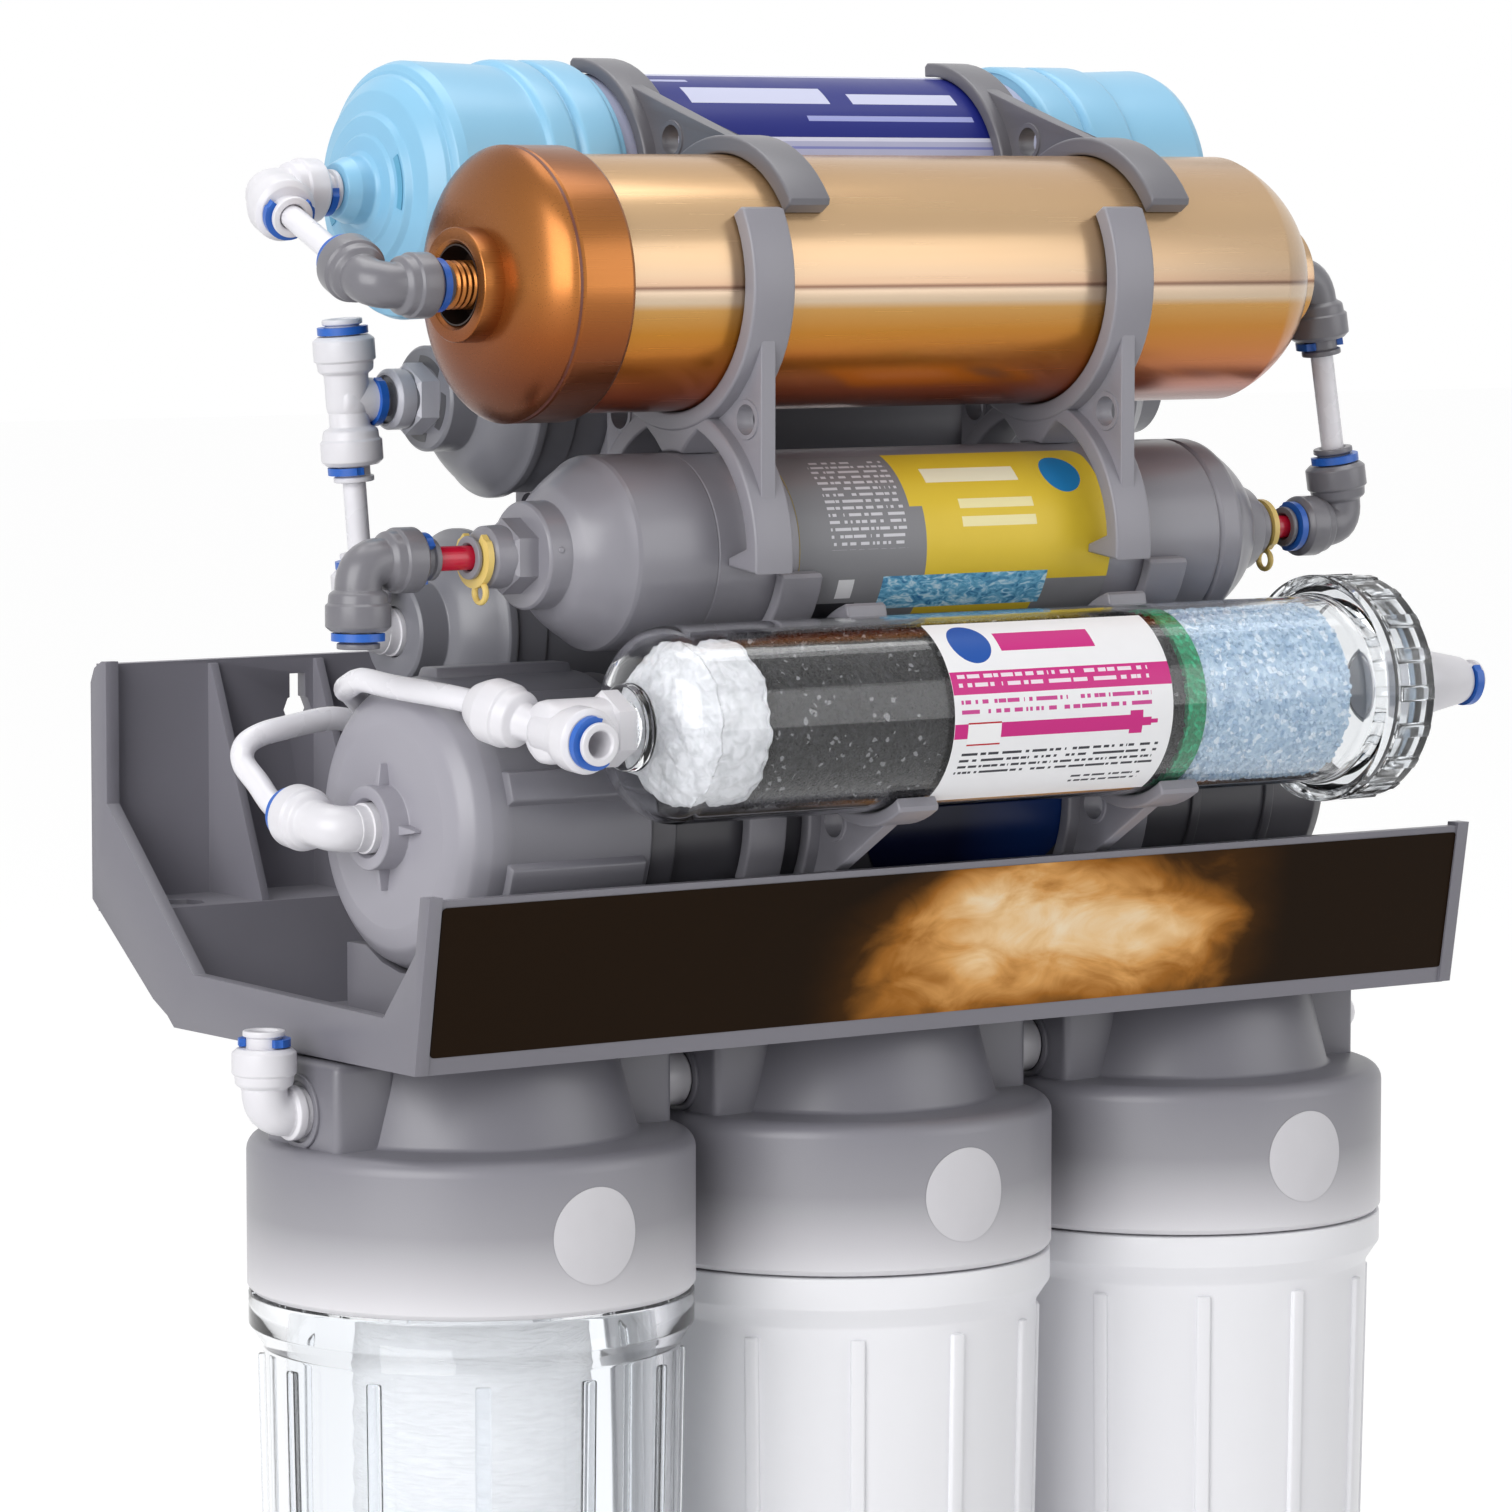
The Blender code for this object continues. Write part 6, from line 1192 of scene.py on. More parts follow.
def webHoles(sides, flanks):
    # one hole beside the middle of the web for each end that is wide enough
    reaches = [sum(side[1:4]) for side in sides]
    across = min(reaches) - clipSizes["hole"] - clipSizes["holeEdge"]
    depths = [math.sqrt(reach ** 2 - across ** 2) for reach in reaches]
    start, facing = sides[0][0], sides[0][4]
    middle = polar(start, (math.dist(start, sides[1][0]) + depths[0] - depths[1]) / 2, facing)
    turns = [turn for turn, flank in zip((-90.0, 90.0), flanks) if flank > clipSizes["wideEnd"]]
    return [polar(middle, across, facing + turn) for turn in turns]


def rimShape(spot, centreX):
    # a slim raised ring round a hole of the web
    hole, lift = clipSizes["hole"], clipSizes["rimLift"]
    outer, width = hole + clipSizes["rim"], clipSizes["web"] / 2 + lift
    outline = [(hole, -width), (hole, width), (outer - 0.0002, width), (outer, width - lift),
               (outer, lift - width), (outer - 0.0002, -width)]
    return alongX(turnedShape(outline, 32, closed=True), centreX, spot)


def doubleClip(name, node, centreX, first, second, flanks):
    sides = []
    for (centre, radius, loose, wall, lowSpan, highSpan), other in ((first, second[0]), (second, first[0])):
        facing = math.degrees(math.atan2(other[1] - centre[1], other[0] - centre[0]))
        sides.append((centre, radius + clipSizes["seat"], loose, wall, facing, lowSpan, highSpan))
    spots = webHoles(sides, flanks)
    holes = [arc(spot, clipSizes["hole"], 0.0, 348.0, clipSizes["holeFacet"]) for spot in spots]
    outlines = [webOutline(sides, flanks)] + holes
    shapes = [plateShape(outlines, clipSizes["web"], centreX, clipSizes["webEdge"])]
    shapes += [rimShape(spot, centreX) for spot in spots]
    for side, width in zip(sides, (clipSizes["width"], clipSizes["width"] - 0.001)):
        shapes.append(plateShape([hookOutline(*side)], width, centreX, clipSizes["edge"], 3))
    # the top clips take a darker copy of the grey, painted shade
    material = finish["topClipShadedGreyPlastic"] if name.startswith("top") else greyPlastic
    addPiece(name, shapes, [material], "grey_plastic", [node])


# the sides of the clips: vessel, radius, gap and wall
hooks = {
    "copper": ("copper", 0.0333, 0.0, 0.0048), "alkaline": ("alkaline", 0.0315, 0.0, 0.0038),
    "loose": ("mineral", 0.0254, clipSizes["gap"], 0.0048), "membrane": ("membrane", 0.0340, 0.0, 0.0040),
    **{name: (name, 0.0254, 0.0, 0.0036) for name in ("mineral", "clear", "rearUpper", "rearLower")},
}
# name, places, each side with the angles below and above its facing, and how far the web goes down and up
clipPairs = (
    ("top", (-0.0540, 0.0655), ("copper", 95.0, 128.0), ("alkaline", 112.0, 84.0), (90.0, 90.0)),
    ("stack", (-0.0700, 0.0480), ("copper", 122.0, 100.0), ("loose", 97.0, 97.0), (90.0, 90.0)),
    ("front", (-0.0350, 0.0520), ("clear", 101.0, 101.0), ("membrane", 95.0, 95.0), (90.0, 74.0)),
    ("riser", (-0.0540, 0.0680), ("mineral", 98.0, 98.0), ("membrane", 95.0, 98.0), (38.0, 90.0)),
    ("rear", (-0.0400, 0.0840), ("rearUpper", 98.0, 98.0), ("rearLower", 98.0, 80.0), (90.0, 90.0)),
)
for clipName, centres, *sides, flanks in clipPairs:
    first, second = ((axes[hooks[hook][0]], *hooks[hook][1:], *spans) for hook, *spans in sides)
    for sideName, centreX in zip(("left", "right"), centres):
        node = "%s_clip_%s" % (clipName, sideName)
        doubleClip(clipName + "Clip" + sideName.title(), node, centreX, first, second, flanks)
print("clips made")

# heads with their port bosses, nipples and blank stickers
head = {
    "radius": 0.059, "wall": 0.0045, "height": 0.0637, "skirt": 0.041, "round": 0.0045, "neckTop": 0.038,
    "neckBase": 0.044, "boss": 0.0525, "bossWidth": 0.035, "bossBase": 0.0385, "bossRound": 0.0022,
    "sticker": 0.0126, "stickerHeight": 0.0205, "pitch": 0.1186, "nippleX": 0.0593,
}
housings = (("left", -head["pitch"]), ("middle", 0.0), ("right", head["pitch"]))
stickerPaper = labelPaper("blankSticker", (0.62, 0.61, 0.64), roughness=0.4)[0]


def headShapes(centreX):
    radius, skirt, curve, height, steps = head["radius"], head["skirt"], head["round"], head["height"], 6
    bore, well, duct = radius - head["wall"], 0.0125, 0.0095
    turns = [math.pi / 2 * (1 - step / steps) for step in range(steps + 1)]
    middle, level = radius - curve, skirt - curve
    rim = [(middle + curve * math.cos(turn), level + curve * math.sin(turn), 0.0) for turn in turns]
    outline = softened([
        (0.0, height), (head["neckTop"], height, 0.0004), (head["neckBase"] - 0.0002, skirt + 0.0002, 0.0016),
        *rim, (radius, 0.0014, 0.0005), (radius - 0.0012, 0.0, 0.0005), (bore, 0.0, 0.0003), (bore, 0.0345),
        (0.0395, 0.0345), (0.0335, 0.0592), (well, 0.0592), (well, 0.0161), (duct, 0.0161), (duct, 0.050),
        (0.0, 0.050),
    ])
    collar = softened([(0.0, -0.002), (0.0098, -0.002), (0.0098, 0.0009, 0.0004), (0.0080, 0.0009, 0.0003),
                       (0.0080, -0.001), (0.0, -0.001)])
    shapes = [shifted(turnedShape(outline, 160), centreX, rowY, skirtZ)]
    half = head["bossWidth"] / 2
    for side in (-1, 1):
        start, end = sorted((centreX + side * (head["neckTop"] - 0.004), centreX + side * head["boss"]))
        low = (start, rowY - half, skirtZ + head["bossBase"])
        shapes.append(blockShape(low, (end, rowY + half, skirtZ + height - 0.0001), head["bossRound"], 4))
        ring = turnedShape(collar, 48)
        shapes.append(alongX(ring, centreX + side * head["boss"], (rowY, portZ), side=side))
    return shapes


def stickerSpot(centreX):
    def spot(u, v, lift):
        x, y = (head["sticker"] * share for share in squareOnDisc(u, v))
        angle = math.radians(-90) + x / head["radius"]
        reach = head["radius"] + 0.00005 + lift
        across = rowY + reach * math.sin(angle)
        return (centreX + reach * math.cos(angle), across, skirtZ + head["stickerHeight"] + y)
    return spot


for name, centreX in housings:
    addPiece(name + "Head", headShapes(centreX), [headPlastic], "grey_plastic", ["head_" + name])
    patch = wrappedPatch(stickerSpot(centreX), 24, 24, thickness=0.0002)
    addPiece(name + "Sticker", [patch], [stickerPaper])
reach, thread, waist = head["nippleX"] - 0.0405 - fit["play"], fit["thread"], 0.0078
outline = softened([
    (0.0, -reach), (thread, -reach), (thread, -0.0062), (waist, -0.0058, 0.0004), (waist, 0.0058, 0.0004),
    (thread, 0.0062), (thread, reach), (0.0, reach),
], 0.0002)
for name, side in (("left", -1), ("right", 1)):
    nipple = alongX(turnedShape(outline, 48), side * head["nippleX"], (rowY, portZ))
    addPiece(name + "Nipple", [nipple], [fittingWhite], "white_fitting", ["nipple_" + name])

# sumps with upright grip ribs, their seals and cartridges
sump = {
    "rim": 0.0587, "rimHeight": 0.0105, "top": -0.0006, "shoulder": 0.0550, "foot": 0.0505,
    "footRound": 0.006,
    "wall": 0.0035, "neck": 0.05364, "neckHeight": 0.030, "ribs": 12, "ribWidth": 0.004, "ribHeight": 0.0016,
    "ribLength": 0.150, "ribEdge": 0.0007, "drop": 0.238, "groove": (0.0202, 0.0240),
    "seal": (0.05204, 0.0221),
}


def sumpShapes(centreX):
    neck, wall, top, foot, footRadius = sump["neck"], sump["wall"], sump["top"], -sump["drop"], sump["foot"]
    groove, footRound, rim = neck - 0.0032, sump["footRound"], sump["rim"]
    inner, under = groove - wall / 2, top - sump["rimHeight"]
    grooveLow, grooveHigh = sump["groove"]
    outline = softened([
        (neck, sump["neckHeight"], 0.0004), (neck, grooveHigh), (groove, grooveHigh), (groove, grooveLow),
        (neck, grooveLow), (neck, top), (rim, top, 0.0006), (rim, under + 0.002, 0.0012),
        (rim - 0.0014, under, 0.001), (sump["shoulder"], under - wall, 0.002),
        (footRadius, foot + footRound, 0.002),
        (footRadius - 0.0018, foot + 0.0018, 0.002), (footRadius - footRound, foot, 0.001),
        (0.006, foot + 0.0008, 0.002), (0.0, foot + 0.0008),
    ])
    inside = softened([
        (0.0, foot + wall), (footRadius - footRound, foot + wall, 0.003),
        (footRadius - wall, foot + footRound + 0.002, 0.003), (inner, under - wall, 0.002),
        (inner, sump["neckHeight"], 0.0004),
    ])
    slope = (sump["shoulder"] - footRadius) / (sump["drop"] - sump["rimHeight"])
    width, length = sump["ribWidth"] / 2, sump["ribLength"] / 2
    middle = -sump["rimHeight"] - 2 * wall - length
    wallRadius = sump["shoulder"] + slope * middle
    bar = blockShape((-0.0006, -width, -length), (sump["ribHeight"], width, length), sump["ribEdge"], 3)
    bar["points"] = [(x + wallRadius + slope * z, y, z + middle) for x, y, z in bar["points"]]
    shapes = [turnedShape(outline + inside, 160, closed=True), ringCopies(bar, sump["ribs"])]
    return [shifted(shape, centreX, rowY, skirtZ) for shape in shapes]


cartridge = {
    "bore": 0.014, "bottom": 0.0038, "top": 0.2538, "turns": 62, "winding": 0.0006, "capHeight": 0.010,
}


def woundOutline(radius):
    # a spun cartridge, its wall a little wavy
    bore, bottom, top, turns = (cartridge[key] for key in ("bore", "bottom", "top", "turns"))
    waves = [(radius - cartridge["winding"] * (step % 2), bottom + (top - bottom) * step / turns, 0.0)
             for step in range(1, turns)]
    return [(bore, bottom), (radius, bottom, 0.0012), *waves, (radius, top, 0.0012), (bore, top)]


def cappedOutline(radius, capRadius):
    # a block between two end caps
    bore, bottom, top, capHeight = (cartridge[key] for key in ("bore", "bottom", "top", "capHeight"))
    return [
        (bore, bottom), (capRadius, bottom, 0.001), (capRadius, bottom + capHeight, 0.001),
        (radius, bottom + capHeight), (radius, top - capHeight), (capRadius, top - capHeight, 0.001),
        (capRadius, top, 0.001), (bore, top),
    ]


whiteSump = (finish["whiteSumpPlastic"], "white_plastic")
sediment = (woundOutline(0.0315), spunFibre, "filter_fibre")
sumpLooks = {
    "left": ((clearSumpPlastic, "clear_plastic"), "sediment_cartridge", sediment),
    "middle": (whiteSump, "carbon_block_cartridge", (cappedOutline(0.0305, 0.0345), carbonGrains, "carbon")),
    "right": (whiteSump, "fine_sediment_cartridge", sediment),
}
for name, centreX in housings:
    (material, slotName), node, (outline, filling, fillingSlot) = sumpLooks[name]
    body = name + "_sump"
    addPiece(name + "Sump", sumpShapes(centreX), [material], slotName, ["sump_" + name], body)
    seal = shifted(roundRing(sump["seal"], 0.0013, 0.0016, 8, 128), centreX, rowY, skirtZ)
    addPiece(name + "SumpSeal", [seal], [sealRubber], "seal_rubber", ["sump_seal_" + name], body)
    shape = shifted(turnedShape(softened(outline, 0.0002), 96, closed=True), centreX, rowY, 0.0)
    addPiece(name + "Filling", [shape], [filling], fillingSlot, [node], name + "_cartridge")
print("heads and sumps made")

# membrane housing and its screw cap
membrane = {
    "left": -0.1480, "right": 0.1430, "radius": 0.0340, "wall": 0.0040, "cap": 0.0385, "capLength": 0.0570,
    "hub": 0.0110, "hubHeight": 0.0065, "hubBore": 0.0069, "grips": 10, "gripHeight": 0.0022,
    "gripWidth": 0.0105,
    "gripLength": 0.0430, "bands": (0.0920, 0.1180), "bandWidth": 0.0030, "bandHeight": 0.0010,
    "bandRoot": 0.0325, "fins": 4, "steps": 144, "mouth": -0.1437,
}
radius, wall, steps, end = (membrane[key] for key in ("radius", "wall", "steps", "right"))
neck = membrane["cap"] - wall - 0.0005
bore = neck - wall
capEnd = membrane["left"] + membrane["capLength"]
thread, flange = capEnd + fit["play"], membrane["cap"] - wall / 3
outline = softened([
    (end, 0.0), (end, radius - 0.006, 0.002), (end - 0.0018, radius - 0.0018, 0.002),
    (end - 0.006, radius, 0.003),
    (thread + 0.0100, radius, 0.0008), (thread + 0.0080, flange, 0.0008), (thread + 0.0004, flange, 0.0006),
    (thread, flange - 0.001, 0.0002), (thread, neck), (membrane["mouth"], neck), (membrane["mouth"], bore),
    (end - wall, bore), (end - wall, 0.0),
])
shapes = [turnedX(outline, axes["membrane"], steps)]
for start in membrane["bands"]:
    low, high, stop = membrane["bandRoot"], radius + membrane["bandHeight"], start + membrane["bandWidth"]
    band = softened([(start, low), (start, high, 0.0004), (stop, high, 0.0004), (stop, low)])
    shapes.append(turnedX(band, axes["membrane"], steps, closed=True))
reach = fit["collar"] + 0.001
root = turnedShape(softened([(0.0, -0.002), (0.0052, -0.002), (0.0052, reach), (0.0, reach)]), 32)
for side in (-1, 1):
    across, up = axes["membrane"][0] + radius / 4, axes["membrane"][1] + side * radius / 3
    shapes += pushArm((end + reach, across, up), (0, 1, 0), clipTurn=90) + [alongX(root, end, (across, up))]
# the housing's darker grey is painted shade
materials = [finish["housingShadedGreyPlastic"], clipBlue]
addPiece("membraneHousing", shapes, materials, "grey_plastic", ["membrane_housing"])

oval = {"x": 0.0150, "halfWidth": 0.0340, "angle": 186.0, "halfAngle": 42.0, "glow": (0.45, 0.95)}
ovalPaper, tree, shader, colour, uv = labelPaper("blankOvalLabel", (0.004, 0.006, 0.028))
share = mapped(tree, split(tree, uv)[0], *oval["glow"])
dress(tree, shader, Base_Color=mixColour(tree, share, colour, (0.008, 0.035, 0.17)))


def ovalSpot(u, v, lift):
    x, y = squareOnDisc(u, v)
    reach = membrane["radius"] + 0.0001 + lift
    spot = polar(axes["membrane"], reach, oval["angle"] + oval["halfAngle"] * y)
    return (oval["x"] + oval["halfWidth"] * x, *spot)


addPiece("membraneOval", [wrappedPatch(ovalSpot, 32, 32)], [ovalPaper])

left, cap, hubRadius, hubBore = (membrane[key] for key in ("left", "cap", "hub", "hubBore"))
hubFace, floorX = left - membrane["hubHeight"], left + 0.0013
outline = softened([
    (left + wall, 0.0), (left + wall, neck + 0.0005), (capEnd, neck + 0.0005, 0.0003), (capEnd, cap, 0.0008),
    (left + 0.0125, cap, 0.003), (left + 0.0080, cap - 0.0006, 0.003), (left + 0.0038, cap - 0.0026, 0.004),
    (left + 0.0010, cap - 0.0062, 0.004), (left, cap - 0.0120, 0.004), (left, hubRadius, 0.0004),
    (hubFace, hubRadius, 0.0006), (hubFace, 0.0078, 0.0004), (hubFace + 0.0016, hubBore), (floorX, hubBore),
    (floorX, 0.0),
])
depth, height, length = membrane["gripHeight"] + wall / 2, membrane["gripHeight"], membrane["gripLength"]
reach, middle = cap + height - depth / 2, left + 0.012 + length / 2
grip = ribShape(length, depth, membrane["gripWidth"], reach, middle, 0.72, 0.0007)
fin = ribShape(0.0044, 0.0066, 0.0030, hubRadius + 0.0022, left - 0.0012, 0.15, 0.0003)
fin["points"] = [(x + 0.0016 * (y - hubRadius) / 0.007, y, z) for x, y, z in fin["points"]]
shapes = [
    turnedX(outline, axes["membrane"], steps),
    ringCopies(grip, membrane["grips"], axes["membrane"], math.pi / membrane["grips"]),
    ringCopies(fin, membrane["fins"], axes["membrane"]),
]
addPiece("membraneCap", shapes, [membraneCapPlastic], "grey_plastic", ["membrane_cap"])
print("membrane housing made")

# copper coloured vessel
copper = {
    "left": -0.1430, "right": ends["copperRight"], "radius": 0.0333, "band": 0.0355, "bandStart": 0.0146,
    "bandLength": 0.0180, "hub": 0.0147, "well": 0.0105, "hubLength": 0.0060, "wellDepth": 0.0090,
    "dome": 0.0190,
    "fullness": (0.62, 0.80), "rings": 5, "ringPitch": 0.0016, "threads": 6, "threadPitch": 0.0017,
    "steps": 192,
}
left, right, radius, band = (copper[key] for key in ("left", "right", "radius", "band"))
hubRadius, hubLength, well, wellDepth = (copper[key] for key in ("hub", "hubLength", "well", "wellDepth"))
steps = copper["steps"]
domeX = left + copper["bandStart"]
bandEnd = domeX + copper["bandLength"]


def fullDome(baseX, span, high, full, outward):
    # from the rim at baseX to the hub, or back; full is how round it is
    points, count = [], 16
    for step in range(count + 1):
        angle = math.pi / 2 * (step if outward else count - step) / count
        swell = full * math.sin(angle) + (1 - full) * (1 - math.cos(angle))
        points.append((baseX + span * math.cos(angle), hubRadius + (high - hubRadius) * swell, 0.0))
    return points


outline = [
    (right - wellDepth, 0.0), (right - wellDepth, well, 0.0), (right, well, 0.0004),
    (right, hubRadius, 0.0006),
    *fullDome(right - hubLength - copper["dome"], copper["dome"], radius, copper["fullness"][0], True),
    (bandEnd - 0.0005, radius, 0.0), (bandEnd - 0.0005, 0.0),
]
bodyShape = turnedX(softened(outline), axes["copper"], steps)
outline = [
    (bandEnd, 0.0), (bandEnd, radius + 0.0004, 0.0003), (bandEnd - 0.0006, band - 0.0004, 0.0006),
    (bandEnd - 0.0016, band, 0.0004), (domeX + 0.0022, band, 0.0004), (domeX + 0.0014, band - 0.0005, 0.0002),
    (domeX + 0.0006, band, 0.0004),
    *fullDome(domeX, left + hubLength - domeX, band, copper["fullness"][1], False),
    (left, hubRadius, 0.0006), (left, well + 0.0010, 0.0005),
]
# thread rings down the well
for x in (left + 0.0012 + step * copper["ringPitch"] for step in range(copper["rings"])):
    outline += [(x, well, 0.0), (x + 0.0008, well + 0.0007, 0.0)]
tip = elbowX["copperLeft"] + fit["socketDepth"] + fit["play"]
outline += [(left + wellDepth, well, 0.0), (left + wellDepth, tubeRadius, 0.0)]
outline += [(tip, tubeRadius, 0.0002), (tip, 0.0)]
# the dark line where the dome meets the band, and a dark liner of painted shade on the wall of the well
start, stop, low, high = domeX + 0.0004, domeX + 0.0012, 0.0340, band + 0.00004
line = [(start, low), (start, high), (stop, high), (stop, low)]
start, floorX, wall = left + 0.0007, left + 0.0084, 0.0004
wellShadeLiner = [(start, well - 0.0001), (floorX + wall, well - 0.0001), (floorX + wall, 0.0034), (floorX, 0.0034),
         (floorX, well - 0.0001 - wall), (start, well - 0.0001 - wall)]
shapes = [
    bodyShape, turnedX(softened(outline), axes["copper"], steps, slot=2),
    turnedX(line, axes["copper"], steps, closed=True, slot=3),
    turnedX(wellShadeLiner, axes["copper"], 96, closed=True, slot=1),
]
materials = [copperBodyPaintedLight, finish["paintedWellShade"], copperDomePaintedLight, finish["redBrownLine"]]
addPiece("copperVessel", shapes, materials, "copper_finish", ["copper_cartridge"], sharpAngle=28.0)
# threaded adaptor in the left well
adaptor = [(0.0, 0.0), (0.0050, 0.0, 0.0004)]
for z in (0.0012 + step * copper["threadPitch"] for step in range(copper["threads"])):
    adaptor += [(0.0064, z, 0.0003), (0.0056, z + 0.0009, 0.0003)]
adaptor = turnedShape(softened(adaptor + [(0.0062, 0.0118, 0.0003), (0.0, 0.0118)], 0.0002), 64)
addPiece("copperAdaptor", [alongX(adaptor, left - 0.0030, axes["copper"])], [copperDomePaintedLight], "copper_finish")

# alkaline cartridge: stepped blue caps, raised rings, white body with a bare label
alkaline = {
    "middle": 0.0080, "half": 0.1270, "radius": 0.0315, "cap": 0.0345, "capLength": 0.0560,
    "rings": {-1: ((0.0960, 0.0880), (0.0855, 0.0745)), 1: ((0.1000, 0.0860), (0.0835, 0.0725))},
    "slots": (150.0, 330.0), "slotRadius": 0.0166, "slotWidth": 0.0022, "slotAngle": 46.0,
    "barrel": (-0.0640, 0.0800, 0.0313), "stem": -0.1340,
}


def alkalineCap(side):
    # a stepped cap, as (distance outward from the middle, radius) points
    half, cap = alkaline["half"], alkaline["cap"]
    start = half - alkaline["capLength"]
    points = [
        (half + 0.0165, 0.0), (half + 0.0165, 0.0072, 0.0006), (half + 0.0130, 0.0088, 0.0006),
        (half + 0.0092, 0.0090, 0.0010), (half + 0.0084, 0.0104, 0.0008), (half + 0.0080, 0.0142, 0.0006),
        (half + 0.0071, 0.0150, 0.0004), (half + 0.0069, 0.0196, 0.0006), (half + 0.0052, 0.0208, 0.0008),
        (half + 0.0040, 0.0262, 0.0020), (half + 0.0006, 0.0300, 0.0016), (half - 0.0006, 0.0306, 0.0004),
        (half - 0.0007, 0.0314, 0.0004), (half - 0.0016, 0.0332, 0.0010),
        (half - 0.0042, cap - 0.0003, 0.0014), (half - 0.0270, 0.0334, 0.0006),
    ]
    for outer, inner in alkaline["rings"][side]:
        points += [(outer + 0.0010, cap - 0.0013, 0.0006), (outer - 0.0004, cap + 0.0003, 0.0020),
                   (inner + 0.0004, cap + 0.0003, 0.0020), (inner - 0.0010, cap - 0.0013, 0.0006)]
    points += [(start + 0.0010, cap - 0.0013, 0.0006), (start, alkaline["radius"] - 0.0002, 0.0004),
               (start, 0.0)]
    placed = [(alkaline["middle"] + side * point[0], *point[1:]) for point in points]
    return turnedX(softened(placed, 0.0004), axes["alkaline"], 160)


def alkalineSlot(side, turn):
    # a shallow curved slot near a hub, drawn as a flat darker patch of painted shade
    face = alkaline["middle"] + side * (alkaline["half"] + 0.0066)

    def spot(u, v, lift):
        reach = alkaline["slotRadius"] + alkaline["slotWidth"] * u
        across, up = polar(axes["alkaline"], reach, turn + alkaline["slotAngle"] * v)
        return (face + side * (0.0004 + lift), across, up)
    return slotPatch(spot, 0.0003)


start, stop, radius = alkaline["barrel"]
stem, tip = alkaline["stem"], elbowX["alkaline"] + fit["socketDepth"] + fit["play"]
shapes = [alkalineCap(-1), alkalineCap(1)]
shapes += [alkalineSlot(side, turn) for side in (-1, 1) for turn in alkaline["slots"]]
outline = [(start, 0.0), (start, radius), (stop, radius), (stop, 0.0)]
shapes.append(turnedX(outline, axes["alkaline"], 160, slot=2))
outline = [(tip, 0.0), (tip, tubeRadius), (stem, tubeRadius), (stem, 0.0)]
shapes.append(turnedX(outline, axes["alkaline"], 32, slot=1))
materials = [finish["skyBluePlastic"], finish["slotShadeBluePlastic"], finish["lilacWhitePlastic"]]
addPiece("alkalineVessel", shapes, materials, "blue_plastic", ["alkaline_cartridge"])
navy, pale = (0.010, 0.016, 0.175), (0.55, 0.57, 0.74)
alkalinePaper = labelPaper("alkalineLabel", (0.42, 0.44, 0.62), (
    (0.0, 0.645, 1.0, 0.985, (0.62, 0.64, 0.78)), (0.012, 0.658, 0.988, 0.97, navy),
    (0.0, 0.62, 1.0, 0.628, (0.20, 0.22, 0.50)), (0.06, 0.905, 0.20, 0.922, (0.42, 0.44, 0.66)),
    (0.16, 0.785, 0.52, 0.865, pale), (0.0, 0.0, 1.0, 0.08, navy), (0.58, 0.785, 0.86, 0.835, pale),
    (0.44, 0.715, 0.88, 0.735, (0.30, 0.33, 0.62)), (0.05, 0.20, 0.34, 0.40, (0.20, 0.32, 0.60)),
), (
    (0.48, 0.50, 0.96, 0.60, (0.05, 0.06, 0.22), 60.0, 42.0, 0.45),
    (0.40, 0.12, 0.94, 0.36, (0.08, 0.09, 0.26), 60.0, 42.0, 0.45),
))[0]
labelSpot = onBarrel(axes["alkaline"], 0.0314, -0.0560, 0.0720, 262.0, 96.0)
addPiece("alkalineLabel", [wrappedPatch(labelSpot, 4, 44)], [alkalinePaper])


# outlines that the smaller vessels share
def sleeveOutline(end, inward, length, start):
    # from the socket's floor out to the mouth and back to the start of the sleeve
    points = [
        (length - 0.0004, 0.0), (length - 0.0004, 0.0034, 0.0), (0.0006, 0.0034, 0.0), (0.0, 0.0039, 0.0002),
        (0.0, 0.0056, 0.0004), (0.0012, 0.0056, 0.0003), (0.0014, 0.0046, 0.0), (0.0034, 0.0046, 0.0),
        (0.0036, 0.0068, 0.0005), (0.0050, fit["sleeve"] - 0.0002, 0.0006),
    ]
    return [(end + inward * depth, *rest) for depth, *rest in points] + [(start, fit["sleeve"], 0.0003)]


def quarterOutline(startX, endX, startRadius, endRadius, steps=14):
    turns = [math.pi / 2 * step / steps for step in range(1, steps)]
    span, rise = startX - endX, endRadius - startRadius
    return [(endX + span * math.cos(turn), startRadius + rise * math.sin(turn), 0.0) for turn in turns]


def domeOutline(startX, endX, startRadius, endRadius, power=0.62, steps=10):
    shares = [step / steps for step in range(1, steps)]
    span, rise = endX - startX, endRadius - startRadius
    return [(startX + span * share, startRadius + rise * share ** power, 0.0) for share in shares]


# grey labelled cartridge
mineral = {
    "left": -0.1230, "right": 0.1160, "radius": 0.0254, "hub": 0.0140, "hubLength": 0.0070, "dome": 0.0127,
    "seam": 0.0890, "line": -0.0784, "sleeve": 0.0098, "pinAngle": 172.0, "loop": (0.0026, 0.0),
    "loopRadius": 0.0092, "loopAngle": 255.0,
}
left, right, radius, hubRadius = (mineral[key] for key in ("left", "right", "radius", "hub"))
seam, line = mineral["seam"], mineral["line"]
axis, sleeve, hexStart = axes["mineral"], mineral["sleeve"], left - fit["hexLength"]
leftEnd, rightEnd = hexStart - sleeve, right + sleeve
hubLeft, hubRight = left + mineral["hubLength"], right - mineral["hubLength"]
rimLeft, rimRight = hubLeft + mineral["dome"], hubRight - mineral["dome"]
